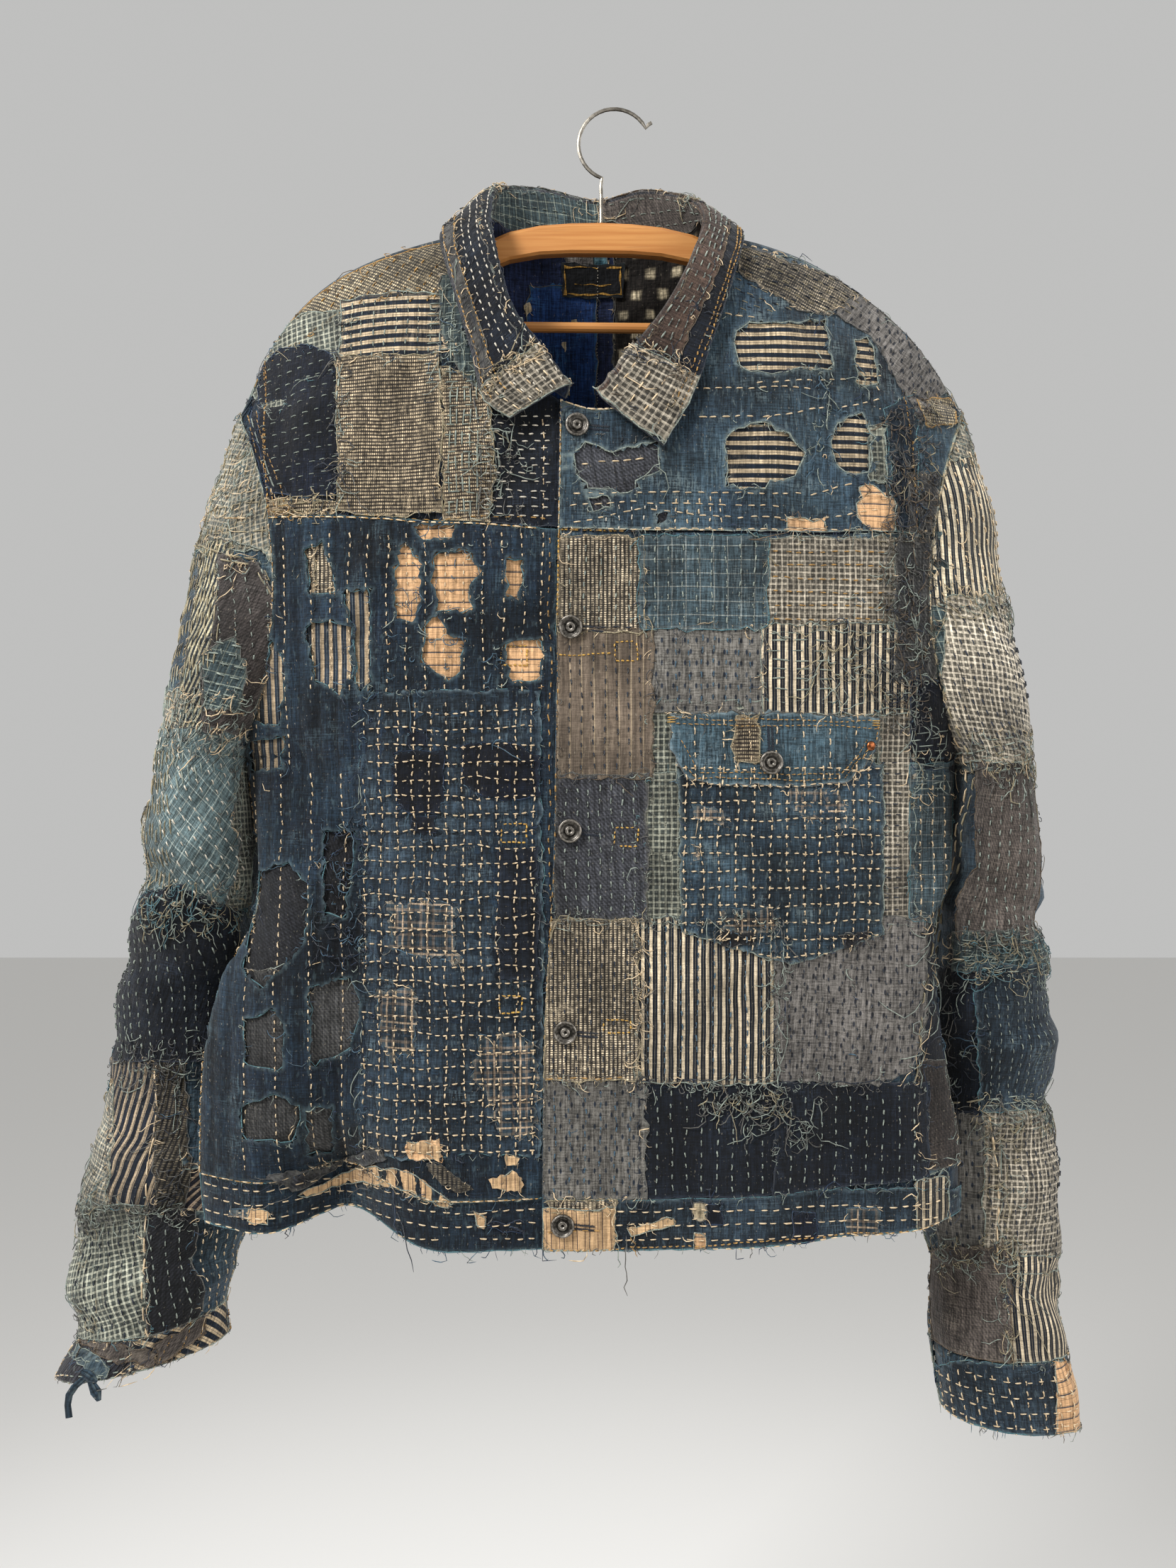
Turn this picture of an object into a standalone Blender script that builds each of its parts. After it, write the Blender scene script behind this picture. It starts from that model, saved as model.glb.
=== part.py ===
"""A patched boro work jacket hanging on its wooden hanger.

The origin is inside the top of the hanger's hook, +Z is up and -Y is the front.
Sides are the wearer's: RIGHT is at -X and LEFT is at +X. Lengths are in metres.
Every cloth panel is a grid of points on one garment form, made into a thin wall.
"""

from math import cos, pi, radians, sin

import bmesh
import bpy
import numpy as np
from mathutils import Matrix, Vector

RIGHT, LEFT = -1, 1
CENTRE_X = -0.010  # the hook's shaft and the garment's middle
CLOTH = 0.0018
LINING_CLOTH = 0.0010
COLLAR_CLOTH = 0.0024
SEAM_INSET = 0.0002  # each panel's edge stands back this far from the seam line
LAYER_GAP = 0.0007  # between a piece and the one it lies on
LAP_SINK = 0.0030  # how far the right front dips to pass under the left one

# The armhole is a tall oval that bows in towards the neck.
ARMHOLE_MID = -0.364
ARMHOLE_HALF_HEIGHT = 0.131
ARMHOLE_HALF_DEPTH = 0.062
ARMHOLE_D = 0.271
ARMHOLE_LEAN = 0.003
ARMHOLE_BOW = 0.035
ARMPIT = ARMHOLE_MID - ARMHOLE_HALF_HEIGHT
SHOULDER_POINT = ARMHOLE_MID + ARMHOLE_HALF_HEIGHT
SHOULDER_D = ARMHOLE_D + ARMHOLE_LEAN
ARMPIT_D = ARMHOLE_D - ARMHOLE_LEAN

NECK_D = 0.095
NECK_FRONT_Z = -0.250
SHOULDER_SEAM = 0.20  # how far forward of the ridge, of the way to the yoke seam
BACK_NECK = 0.44  # how far behind the ridge the neck's middle lies
BAND_HEIGHT = 0.037
BUTTON_R = 0.0085
BUTTON_HEIGHT = 0.0034

HOOK_WIRE_R = 0.0015
HOOK_ARC_R = 0.0273
WOOD_THICK = 0.012
WOOD_HEIGHT = 0.021
WOOD_REACH = 0.218
WOOD_END_DROP = 0.003  # the arms' ends dip from the cloth
WOOD_NECK_DROP = 0.0075  # and so do the arms under the collar
WOOD_GAP = 0.0008  # under the shoulder's ridge, so that the bar's corners clear the cloth
LOBE_D = 0.190  # where the arms deepen to hold the trouser bar
BAR_R = 0.004
TIE_R = 0.0022
TIE_COLUMN = 5  # of the cuff's columns, on its front near the outer edge
BAR_Z = -0.166
HANGER_TILT = -0.010  # rise per metre towards +X


def table(columns, *rows):
    """Named columns of numbers, with one row for each place, in rising order of the first."""
    return dict(zip(columns.split(), np.array(rows, float).T))


def read(rows, column, at):
    """A column's value at places given in the table's first column."""
    first = next(iter(rows))
    return np.interp(at, rows[first], rows[column])


# Distances from the centre plane to the side seams, and depths of the body's sections.
BODY = table(
    "z right left side_y front_y back_y",
    (-0.860, 0.292, 0.266, -0.030, -0.078, 0.068),
    (-0.790, 0.297, 0.265, -0.030, -0.080, 0.072),
    (-0.730, 0.294, 0.2555, -0.030, -0.083, 0.074),
    (-0.690, 0.288, 0.250, -0.030, -0.085, 0.075),
    (-0.660, 0.280, 0.247, -0.030, -0.086, 0.076),
    (-0.620, 0.258, 0.246, -0.028, -0.087, 0.077),
    (-0.587, 0.2535, 0.258, -0.022, -0.088, 0.078),
    (-0.550, 0.258, 0.2625, -0.014, -0.088, 0.079),
    (-0.515, 0.2635, 0.2655, -0.005, -0.088, 0.080),
    (ARMPIT, ARMPIT_D, ARMPIT_D, 0.000, -0.088, 0.080),
    (-0.340, ARMPIT_D, ARMPIT_D, 0.000, -0.087, 0.080),
)
# The line along the top of the shoulders, by distance from the centre plane.
RIDGE = table(
    "d right left",
    (0.000, -0.050, -0.050),
    (0.050, -0.070, -0.070),
    (0.090, -0.093, -0.096),
    (0.120, -0.100, -0.104),
    (0.158, -0.111, -0.118),
    (0.195, -0.127, -0.142),
    (0.223, -0.147, -0.164),
    (0.250, -0.180, -0.194),
    (0.262, -0.206, -0.212),
    (SHOULDER_D, SHOULDER_POINT, SHOULDER_POINT),
)
# Seam and hem heights by signed distance from the centre plane.
LEVELS = table(
    "d front_yoke back_yoke front_hem back_hem",
    (-0.290, -0.322, -0.322, -0.838, -0.838),
    (-0.240, -0.322, -0.322, -0.838, -0.836),
    (-0.180, -0.324, -0.318, -0.829, -0.834),
    (-0.110, -0.329, -0.312, -0.846, -0.833),
    (0.000, -0.336, -0.310, -0.846, -0.833),
    (0.110, -0.337, -0.312, -0.845, -0.833),
    (0.240, -0.335, -0.335, -0.836, -0.832),
    (0.290, -0.335, -0.335, -0.830, -0.830),
)
# Each sleeve below its top: edges by distance from the centre plane, half its depth, the
# middle's place front to back, and how steeply its rings slope.
SLEEVES = {
    RIGHT: table(
        "z outer inner half_depth mid_y slope",
        (-0.962, 0.4255, 0.2935, 0.043, 0.030, -0.24),
        (-0.934, 0.4130, 0.2965, 0.043, 0.032, -0.22),
        (-0.891, 0.4158, 0.2850, 0.044, 0.036, -0.14),
        (-0.849, 0.4112, 0.2780, 0.045, 0.040, -0.05),
        (-0.776, 0.3915, 0.2720, 0.047, 0.042, 0.00),
        (-0.696, 0.3790, 0.2690, 0.051, 0.040, 0.00),
        (-0.660, 0.3700, 0.2660, 0.053, 0.036, 0.00),
        (-0.620, 0.3610, 0.2630, 0.057, 0.020, 0.00),
        (-0.587, 0.3520, 0.2590, 0.061, 0.008, 0.00),
        (-0.550, 0.3440, 0.2630, 0.066, 0.002, 0.00),
        (ARMPIT, 0.3330, 0.2680, 0.070, 0.000, 0.00),
        (-0.440, 0.3255, 0.2680, 0.067, 0.000, 0.00),
        (-0.377, 0.3130, 0.2680, 0.062, 0.000, 0.00),
        (-0.324, 0.3020, 0.2680, 0.062, 0.000, 0.00),
        (-0.277, 0.2860, 0.2680, 0.062, 0.000, 0.00),
        (SHOULDER_POINT, 0.2745, 0.2680, 0.062, 0.000, 0.00),
    ),
    LEFT: table(
        "z outer inner half_depth mid_y slope",
        (-1.004, 0.3680, 0.2680, 0.043, 0.022, -0.08),
        (-0.952, 0.3627, 0.2610, 0.043, 0.026, -0.06),
        (-0.910, 0.3610, 0.2610, 0.044, 0.031, -0.02),
        (-0.870, 0.3590, 0.2570, 0.045, 0.036, 0.00),
        (-0.820, 0.3575, 0.2520, 0.047, 0.041, 0.00),
        (-0.760, 0.3523, 0.2500, 0.049, 0.038, 0.00),
        (-0.713, 0.3515, 0.2520, 0.051, 0.033, 0.00),
        (-0.680, 0.3460, 0.2550, 0.053, 0.027, 0.00),
        (-0.652, 0.3400, 0.2575, 0.055, 0.019, 0.00),
        (-0.597, 0.3310, 0.2630, 0.060, 0.006, 0.00),
        (-0.550, 0.3270, 0.2670, 0.066, 0.002, 0.00),
        (ARMPIT, 0.3220, 0.2680, 0.070, 0.000, 0.00),
        (-0.437, 0.3160, 0.2680, 0.067, 0.000, 0.00),
        (-0.377, 0.3050, 0.2680, 0.062, 0.000, 0.00),
        (-0.313, 0.2935, 0.2680, 0.062, 0.000, 0.00),
        (-0.258, 0.2800, 0.2680, 0.062, 0.000, 0.00),
        (SHOULDER_POINT, 0.2745, 0.2680, 0.062, 0.000, 0.00),
    ),
}
CUFF_TOP = {RIGHT: -0.934, LEFT: -0.952}
CUFF_END = {RIGHT: -0.962, LEFT: -1.004}
# How far each front reaches past the centre plane towards the other side, by height.
LAPS = table(
    "z right left",
    (-0.860, -0.012, 0.043),
    (-0.710, -0.012, 0.042),
    (-0.550, -0.012, 0.034),
    (-0.400, -0.011, 0.032),
    (-0.250, -0.010, 0.030),
)
# The largest folds: each is a soft ridge (positive rise) or trough along a line from
# (x0, z0) to (x1, z1), seen from the front or from behind.
FOLDS = {
    "front": table(
        "x0 z0 x1 z1 width rise",
        (-0.190, -0.900, -0.205, -0.800, 0.034, -0.046),
        (-0.250, -0.860, -0.235, -0.640, 0.030, 0.010),
        (-0.200, -0.740, -0.170, -0.560, 0.030, -0.007),
        (-0.120, -0.860, -0.105, -0.600, 0.035, 0.006),
        (0.215, -0.860, 0.200, -0.620, 0.026, 0.007),
        (0.160, -0.840, 0.150, -0.640, 0.026, -0.006),
        (0.235, -0.560, 0.180, -0.640, 0.020, -0.007),
        (-0.245, -0.470, -0.180, -0.560, 0.022, -0.007),
        (-0.215, -0.180, -0.150, -0.330, 0.026, -0.006),
        (0.195, -0.190, 0.140, -0.330, 0.026, -0.006),
    ),
    "back": table(
        "x0 z0 x1 z1 width rise",
        (-0.190, -0.860, -0.160, -0.560, 0.034, -0.012),
        (-0.080, -0.860, -0.075, -0.500, 0.036, 0.009),
        (0.060, -0.860, 0.050, -0.540, 0.034, -0.010),
        (0.170, -0.860, 0.150, -0.520, 0.034, 0.008),
        (-0.210, -0.380, -0.110, -0.560, 0.030, -0.008),
        (0.200, -0.380, 0.100, -0.540, 0.030, -0.008),
    ),
}
# Creases that run around a sleeve, by height at its front middle, with their lean.
SLEEVE_FOLDS = {
    RIGHT: table(
        "z lean width rise",
        (-0.880, -0.20, 0.012, -0.005),
        (-0.815, 0.30, 0.016, 0.004),
        (-0.735, -0.30, 0.014, -0.006),
        (-0.655, 0.35, 0.018, 0.005),
        (-0.590, -0.40, 0.016, -0.006),
    ),
    LEFT: table(
        "z lean width rise",
        (-0.900, 0.20, 0.012, -0.005),
        (-0.830, -0.25, 0.016, 0.004),
        (-0.745, 0.30, 0.014, -0.006),
        (-0.670, -0.35, 0.018, 0.005),
        (-0.600, 0.30, 0.015, -0.006),
    ),
}
# The collar's three long lines, from the right front end around the back of the neck to the
# left one: the seam at the neck, the roll at the top and the outer edge.
COLLAR = table(
    "k neck_x neck_y neck_z roll_x roll_y roll_z edge_x edge_y edge_z",
    (-1.00, -0.036, -0.0840, -0.2425, -0.036, -0.092, -0.236, -0.075, -0.0895, -0.2580),
    (-0.85, -0.062, -0.0790, -0.2220, -0.052, -0.090, -0.213, -0.094, -0.0875, -0.2430),
    (-0.65, -0.087, -0.0690, -0.1830, -0.076, -0.082, -0.177, -0.104, -0.0805, -0.2050),
    (-0.45, -0.098, -0.0560, -0.1430, -0.089, -0.062, -0.128, -0.117, -0.0680, -0.1600),
    (-0.30, -0.101, -0.0280, -0.1070, -0.096, -0.026, -0.085, -0.130, -0.0350, -0.1100),
    (-0.24, -0.094, 0.0000, -0.0880, -0.096, 0.000, -0.062, -0.131, -0.0050, -0.0955),
    (-0.18, -0.077, 0.0240, -0.0890, -0.083, 0.028, -0.046, -0.117, 0.0250, -0.0945),
    (-0.10, -0.049, 0.0413, -0.0940, -0.058, 0.049, -0.040, -0.083, 0.0580, -0.1110),
    (0.00, -0.010, 0.0468, -0.0910, -0.014, 0.056, -0.048, -0.010, 0.0720, -0.1180),
    (0.10, 0.029, 0.0413, -0.0940, 0.024, 0.051, -0.041, 0.054, 0.0600, -0.1110),
    (0.18, 0.057, 0.0240, -0.0900, 0.050, 0.032, -0.051, 0.084, 0.0300, -0.0990),
    (0.24, 0.074, 0.0000, -0.0895, 0.067, 0.002, -0.071, 0.096, -0.0040, -0.0950),
    (0.30, 0.0805, -0.0280, -0.1080, 0.068, -0.026, -0.091, 0.094, -0.0400, -0.1140),
    (0.45, 0.078, -0.0560, -0.1430, 0.058, -0.060, -0.128, 0.085, -0.0660, -0.1480),
    (0.65, 0.067, -0.0690, -0.1830, 0.036, -0.082, -0.176, 0.071, -0.0790, -0.1910),
    (0.85, 0.042, -0.0790, -0.2220, 0.010, -0.091, -0.212, 0.056, -0.0875, -0.2350),
    (1.00, 0.012, -0.0850, -0.2425, -0.013, -0.095, -0.242, 0.033, -0.0925, -0.2780),
)
COLLAR_STATIONS = 25
ROLL_R = 0.0035
BUTTONS = table(
    "z x",
    (-0.8275, -0.038),
    (-0.6900, -0.036),
    (-0.5480, -0.033),
    (-0.4040, -0.032),
    (-0.2620, -0.028),
)
PATCH_PUFF = 0.0005  # how far the sashiko patch stands off its front
POCKET_PUFF = 0.0010  # how far the pocket stands off its front
FLAP_BUTTON = (0.108, -0.500)
# Pieces laid on the fronts: the places of their edges.
PLACKET_EDGE = 0.04  # of the way from the front's edge to its next column
PLACKET = dict(inner_x=0.019, top=-0.342, bottom=-0.803)
SASHIKO = dict(left=-0.179, right=-0.060, top=-0.4515, bottom=-0.777)
WELT = dict(left=-0.086, right=-0.062, top=-0.5595, bottom=-0.6515)
POCKET = dict(left=0.043, right=0.187, top=-0.497, corner=-0.6205, point=-0.642)
FLAP = dict(left=0.038, right=0.184, top=-0.4655, bottom=-0.5145, chamfer=0.026, corner_rise=0.4)
RIVET = (0.180, -0.4875)
RIVET_R = 0.0035
LABEL = dict(left=-0.041, right=0.009, top=-0.099, bottom=-0.123)
LINING_ROWS = 9

COLOURS = {
    "indigo_denim": ((0.018, 0.040, 0.085), 0.9),
    "faded_denim": ((0.075, 0.155, 0.220), 0.9),
    "black_denim": ((0.012, 0.015, 0.026), 0.9),
    "grey_twill": ((0.095, 0.090, 0.085), 0.9),
    "tweed": ((0.230, 0.180, 0.110), 0.95),
    "blue_lining": ((0.012, 0.040, 0.170), 0.85),
    "label_black": ((0.010, 0.010, 0.012), 0.7),
    "pewter": ((0.250, 0.245, 0.235), 0.45),
    "copper": ((0.550, 0.230, 0.110), 0.4),
    "beech": ((0.560, 0.290, 0.110), 0.45),
    "nickel": ((0.600, 0.590, 0.570), 0.3),
}
METALS = ("pewter", "copper", "nickel")


def clear_scene():
    for old in list(bpy.data.objects):
        bpy.data.objects.remove(old)


def material(name):
    colour, roughness = COLOURS[name]
    made = bpy.data.materials.get(name)
    if made is None:
        made = bpy.data.materials.new(name)
        made.use_nodes = True
        shader = made.node_tree.nodes["Principled BSDF"]
        shader.inputs["Base Color"].default_value = (*colour, 1.0)
        shader.inputs["Roughness"].default_value = roughness
        shader.inputs["Metallic"].default_value = float(name in METALS)
    return made


def finish(name, mesh, finish_name, smooth=40):
    """Adds a named mesh to the jacket's collection."""
    made = bpy.data.objects.new(name, mesh)
    mesh.materials.append(material(finish_name))
    mesh.shade_smooth()
    mesh.set_sharp_from_angle(angle=radians(smooth))
    jacket.objects.link(made)
    return made


def closed_mesh(name, vertices, faces):
    """A mesh of the given faces, welded and facing outwards."""
    shape = bmesh.new()
    points = [shape.verts.new(v) for v in vertices]
    for face in faces:
        shape.faces.new([points[i] for i in face])
    bmesh.ops.recalc_face_normals(shape, faces=shape.faces)
    if shape.calc_volume(signed=True) < 0:
        bmesh.ops.reverse_faces(shape, faces=shape.faces)
    mesh = bpy.data.meshes.new(name)
    shape.to_mesh(mesh)
    shape.free()
    return mesh


# ---- The garment's form -------------------------------------------------------------


def name_of(side):
    return "right" if side == RIGHT else "left"


def armhole_height(z):
    """Where a height lies on the armhole, from -1 at the armpit to 1 at the shoulder."""
    return np.clip((z - ARMHOLE_MID) / ARMHOLE_HALF_HEIGHT, -1, 1)


def armhole_depth(z):
    """How far the armhole reaches forward and back at a height."""
    return ARMHOLE_HALF_DEPTH * np.sqrt(1 - armhole_height(z) ** 2)


def half_width(side, z):
    """From the centre plane to the side seam, or to the armhole above the armpit."""
    up = armhole_height(z)
    armhole = ARMHOLE_D + ARMHOLE_LEAN * up - ARMHOLE_BOW * (1 - up**2)
    return np.where(z > ARMPIT, armhole, read(BODY, name_of(side), z))


def level(column, side, u):
    """A seam's or hem's height at a share u of the way to the side."""
    reach = 0.240 if "yoke" in column else 0.290
    return read(LEVELS, column, side * u * reach)


def ridge(side, u):
    return read(RIDGE, name_of(side), np.abs(u) * SHOULDER_D)


def fold_rise(face, x, z):
    """How far the folds push the cloth out at places seen from the front or back."""
    total = np.zeros(np.broadcast(x, z).shape)
    rows = FOLDS[face]
    for x0, z0, x1, z1, width, rise in zip(*rows.values()):
        along = ((x - x0) * (x1 - x0) + (z - z0) * (z1 - z0)) / ((x1 - x0) ** 2 + (z1 - z0) ** 2)
        along = np.clip(along, 0, 1)
        away = np.hypot(x - x0 - along * (x1 - x0), z - z0 - along * (z1 - z0))
        total += rise * np.exp(-((away / width) ** 2))
    return total


def form_point(face, side, u, z, over=None):
    """A point of the body's form.

    u is the share of the way from the centre plane to the side, z the height. Above the
    yoke seam, over gives the place instead: 1 at the seam and 0 at the shoulder ridge.
    """
    u, z = np.broadcast_arrays(np.asarray(u, float), np.asarray(z, float))
    seam = level(face + "_yoke", side, u)
    top = ridge(side, u)
    squash = 1.0 if face == "front" else 2 / 3
    if over is None:
        rise = np.clip((z - seam) / (top - seam), 0, 1)
        over = np.arccos(rise ** (1 / squash)) / (pi / 2)
    else:
        z = seam + (top - seam) * np.cos(over * pi / 2) ** squash
    low = np.minimum(z, seam)
    armhole_share = armhole_depth(low) / ARMHOLE_HALF_DEPTH
    outward = -1 if face == "front" else 1
    edge_y = np.where(low > ARMPIT, outward * armhole_depth(low), read(BODY, "side_y", low))
    middle_y = read(BODY, face + "_y", low)
    power = 2.8 if face == "front" else 2.0 + 0.6 * armhole_share
    bulge = np.clip(1 - np.abs(u) ** power, 0, 1) ** (1 / (2 - 0.8 * armhole_share))
    section_y = edge_y + (middle_y - edge_y) * bulge
    dome = np.sin(over * pi / 2)
    at_seam = np.maximum(armhole_depth(seam), 1e-6)
    armhole = np.where(z > seam, armhole_depth(z) / at_seam, 1)
    share = np.abs(u) ** 6
    y = section_y * np.where(z > seam, dome * (1 - share) + armhole * share, 1)
    x = CENTRE_X + side * u * half_width(side, z)
    calm = np.clip((1 - np.abs(u)) / 0.12, 0, 1) * np.clip(over / 0.5, 0, 1)
    y = y + outward * calm * fold_rise(face, x, z)
    return np.stack([x, y, z], axis=-1)


def sleeve_rise(side, around, z):
    """The sleeve's creases, which fade at the seams."""
    total = np.zeros(np.broadcast(around, z).shape)
    rows = SLEEVE_FOLDS[side]
    for height, lean, width, rise in zip(*rows.values()):
        away = z - height - lean * 0.06 * np.cos(around)
        total += rise * np.exp(-((away / width) ** 2)) * (0.65 + 0.35 * np.sin(around))
    return total


def sleeve_point(side, share, z_front, z_back):
    """A point of a sleeve's ring.

    share runs from 0 at the front of the armhole, or at the underarm seam, over the
    sleeve's outer edge at 0.5 to 1 at the back of the armhole, or at the seam again.
    """
    share = np.asarray(share, float)
    front = share <= 0.5
    z = np.where(front, z_front, z_back) + 0.0 * share
    half = np.abs(2 * share - 1)  # 1 at the seams and 0 at the outer edge
    outer = read(SLEEVES[side], "outer", z)
    depth = read(SLEEVES[side], "half_depth", z)
    mid_y = read(SLEEVES[side], "mid_y", z)
    slope = read(SLEEVES[side], "slope", z)
    above = z > ARMPIT
    inner = np.where(above, half_width(side, z), read(SLEEVES[side], "inner", z))
    upper = z > ARMHOLE_MID
    depth = np.where(upper, np.maximum(armhole_depth(z), 1e-5), depth)
    ratio = np.clip(armhole_depth(z) / depth, 0, 1)
    start = np.where(above, np.where(upper, pi / 2, np.arcsin(ratio)), 0.0)
    turn = start + (pi - start) * (1 - half)
    half_w = (outer - inner) / (1 + np.cos(start))
    centre = outer - half_w
    puff = np.where(above, 0.0, sleeve_rise(side, turn, z))
    d = centre - (half_w + puff) * np.cos(turn)
    y = mid_y + np.where(front, -1, 1) * (depth + puff) * np.sin(turn)
    z = z + slope * (d - centre)
    return np.stack([CENTRE_X + side * d, y, z], axis=-1)


# ---- Panels: grids of points that share their seams ----------------------------------

NECK_U = NECK_D / SHOULDER_D
OUTER_COLUMNS = np.linspace(NECK_U, 1, 7)
NECK_ANGLES = np.linspace(-pi / 2, pi / 2, 9)
FRONT_COLUMNS = {  # shares of the way from the front edge to the neck's column
    RIGHT: np.array([0.0, 0.16, 0.42, 0.72, 1.0]),
    LEFT: np.array([0.0, 0.25, 0.47, 0.72, 1.0]),
}
LOWER_ROWS = np.linspace(0, 1, 10)
UPPER_ROWS = (1 - np.cos(np.linspace(0, 1, 6) * 1.35)) / (1 - cos(1.35))
FRONT_YOKE_OVER = np.linspace(1, SHOULDER_SEAM, 7)
WRAP_OVER = np.array([SHOULDER_SEAM, SHOULDER_SEAM / 2])
BACK_YOKE_OVER = np.linspace(0, 1, 9)
SLEEVE_COLUMNS = 15
SLEEVE_LOWER_ROWS = 10


def grid_normals(points):
    """Unit normals of a grid of points."""
    down = np.gradient(points, axis=0)
    across = np.gradient(points, axis=1)
    normals = np.cross(across, down)
    return normals / np.linalg.norm(normals, axis=2, keepdims=True)


class Panel:
    """A grid of points on the garment's outer face, with normals that point outwards."""

    def __init__(self, points, outwards=None):
        self.points = points
        self.normals = grid_normals(points)
        middle = points.reshape(-1, 3).mean(0) if outwards is None else outwards
        facing = ((points - middle) * self.normals).sum()
        if facing < 0:
            self.normals = -self.normals


def share_normals(panels):
    """Gives panels that meet the same normals along their seam, so their walls are mitred."""
    sums = {}
    for panel in panels:
        for spot, normal in zip(np.round(panel.points, 5).reshape(-1, 3), panel.normals.reshape(-1, 3)):
            sums.setdefault(tuple(spot), np.zeros(3))
            sums[tuple(spot)] += normal
    for panel in panels:
        shared = [sums[tuple(spot)] for spot in np.round(panel.points, 5).reshape(-1, 3)]
        shared = np.array(shared).reshape(panel.points.shape)
        # Under the arm the body and the sleeve face each other, and the seam faces down.
        away = np.abs(panel.points[..., 0] - CENTRE_X)
        underarm = (np.abs(panel.points[..., 2] - ARMPIT) < 1e-6) & (np.abs(away - ARMPIT_D) < 1e-6)
        shared[underarm] = (0, 0, -1)
        panel.normals = shared / np.linalg.norm(shared, axis=2, keepdims=True)


def set_back(points):
    """Moves the grid's border in from the seam lines."""
    points = points.copy()
    for axis in (0, 1):
        for edge, inner in ((0, 1), (-1, -2)):
            border = np.take(points, edge, axis=axis)
            step = np.take(points, inner, axis=axis) - border
            step *= SEAM_INSET / np.linalg.norm(step, axis=1, keepdims=True)
            place = [slice(None)] * 3
            place[axis] = edge
            points[tuple(place)] = border + step
    return points


def wall(name, points, normals, finish_name, thickness=CLOTH, lift=0.0):
    """A closed wall whose outer face lies lift outside the grid's points."""
    places = [tuple(place) for place in np.round(points, 5).reshape(-1, 3)]
    points = set_back(points)
    outer = points + normals * lift
    inner = points + normals * (lift - thickness)
    rows, columns = points.shape[:2]
    count = rows * columns
    vertices = np.concatenate([outer.reshape(-1, 3), inner.reshape(-1, 3)])
    at = np.arange(count).reshape(rows, columns)
    faces = []
    for r in range(rows - 1):
        for c in range(columns - 1):
            near, far = at[r, c], at[r + 1, c + 1]
            for half in ([near, at[r, c + 1], far], [near, far, at[r + 1, c]]):
                faces.append(half)
                faces.append([i + count for i in reversed(half)])
    border = list(at[0, :]) + list(at[1:, -1]) + list(at[-1, -2::-1]) + list(at[-2:0:-1, 0])
    for here, there in zip(border, border[1:] + border[:1]):
        # Walls that meet split their edges the same way, from the seam's lower place outside.
        if places[here] < places[there]:
            halves = [here, there, there + count], [here, there + count, here + count]
        else:
            halves = [here, there, here + count], [there, there + count, here + count]
        faces.extend(halves)
    return finish(name, closed_mesh(name, vertices, faces), finish_name)


def front_u(side, z):
    """The front's columns, as shares of the half width, at heights z of one row."""
    edge = -read(LAPS, name_of(side), z) / half_width(side, z)
    if side == RIGHT:
        edge = -edge
    shares = FRONT_COLUMNS[side][:-1]
    inner = edge[: len(shares)] + shares * (NECK_U - edge[: len(shares)])
    return np.concatenate([inner, OUTER_COLUMNS])


def front_row(side, height_of):
    """One row of a front: height_of gives the heights for the columns' u."""
    count = len(FRONT_COLUMNS[side]) - 1 + len(OUTER_COLUMNS)
    z = np.full(count, -0.5)
    for _ in range(6):
        u = front_u(side, z)
        z = height_of(u)
    points = form_point("front", side, u, z)
    if side == RIGHT:
        lap = np.clip((points[:, 0] + 0.085) / 0.030, 0, 1)
        points[:, 1] += LAP_SINK * lap * lap * (3 - 2 * lap)
    return points


def neck_z(side, u):
    """The front neckline's height, or the shoulder seam's outside the neck."""
    seam = form_point("front", side, u, 0.0, over=np.full(np.shape(u), SHOULDER_SEAM))[..., 2]
    corner = form_point("front", side, NECK_U, 0.0, over=SHOULDER_SEAM)[..., 2]
    inside = np.sqrt(np.clip(1 - (u / NECK_U) ** 2, 0, 1))
    return np.where(np.abs(u) < NECK_U - 1e-9, corner - (corner - NECK_FRONT_Z) * inside, seam)


def band_top(column, side, u):
    return level(column, side, u) + BAND_HEIGHT


def body_heights(face, side):
    """A height function for each row of the body, from the hem band to the yoke seam."""
    rows = []
    for share in LOWER_ROWS[:-1]:
        rows.append(lambda u, s=share: _mix(band_top(face + "_hem", side, u), ARMPIT, s))
    for share in UPPER_ROWS:
        rows.append(lambda u, s=share: _mix(ARMPIT, level(face + "_yoke", side, u), s))
    return rows


def _mix(low, high, share):
    return low + (high - low) * share


def front_panels(side):
    hem = [lambda u, s=s: _mix(level("front_hem", side, u), band_top("front_hem", side, u), s)
           for s in (0.0, 0.5, 1.0)]
    band = Panel(np.array([front_row(side, h) for h in hem]))
    body = Panel(np.array([front_row(side, h) for h in body_heights("front", side)]))
    yoke_rows = []
    for over in FRONT_YOKE_OVER:
        rise = (np.cos(over * pi / 2) - cos(pi / 2)) / cos(SHOULDER_SEAM * pi / 2)
        yoke_rows.append(
            front_row(side, lambda u, s=rise: _mix(level("front_yoke", side, u), neck_z(side, u), s))
        )
    return band, body, Panel(np.array(yoke_rows))


def back_columns():
    """The back's columns across both sides: a side and its share u for each."""
    neck = [(RIGHT if a < 0 else LEFT, abs(NECK_U * sin(a))) for a in NECK_ANGLES[1:-1]]
    right = [(RIGHT, u) for u in OUTER_COLUMNS[::-1]]
    return right + neck + [(LEFT, u) for u in OUTER_COLUMNS]


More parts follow.
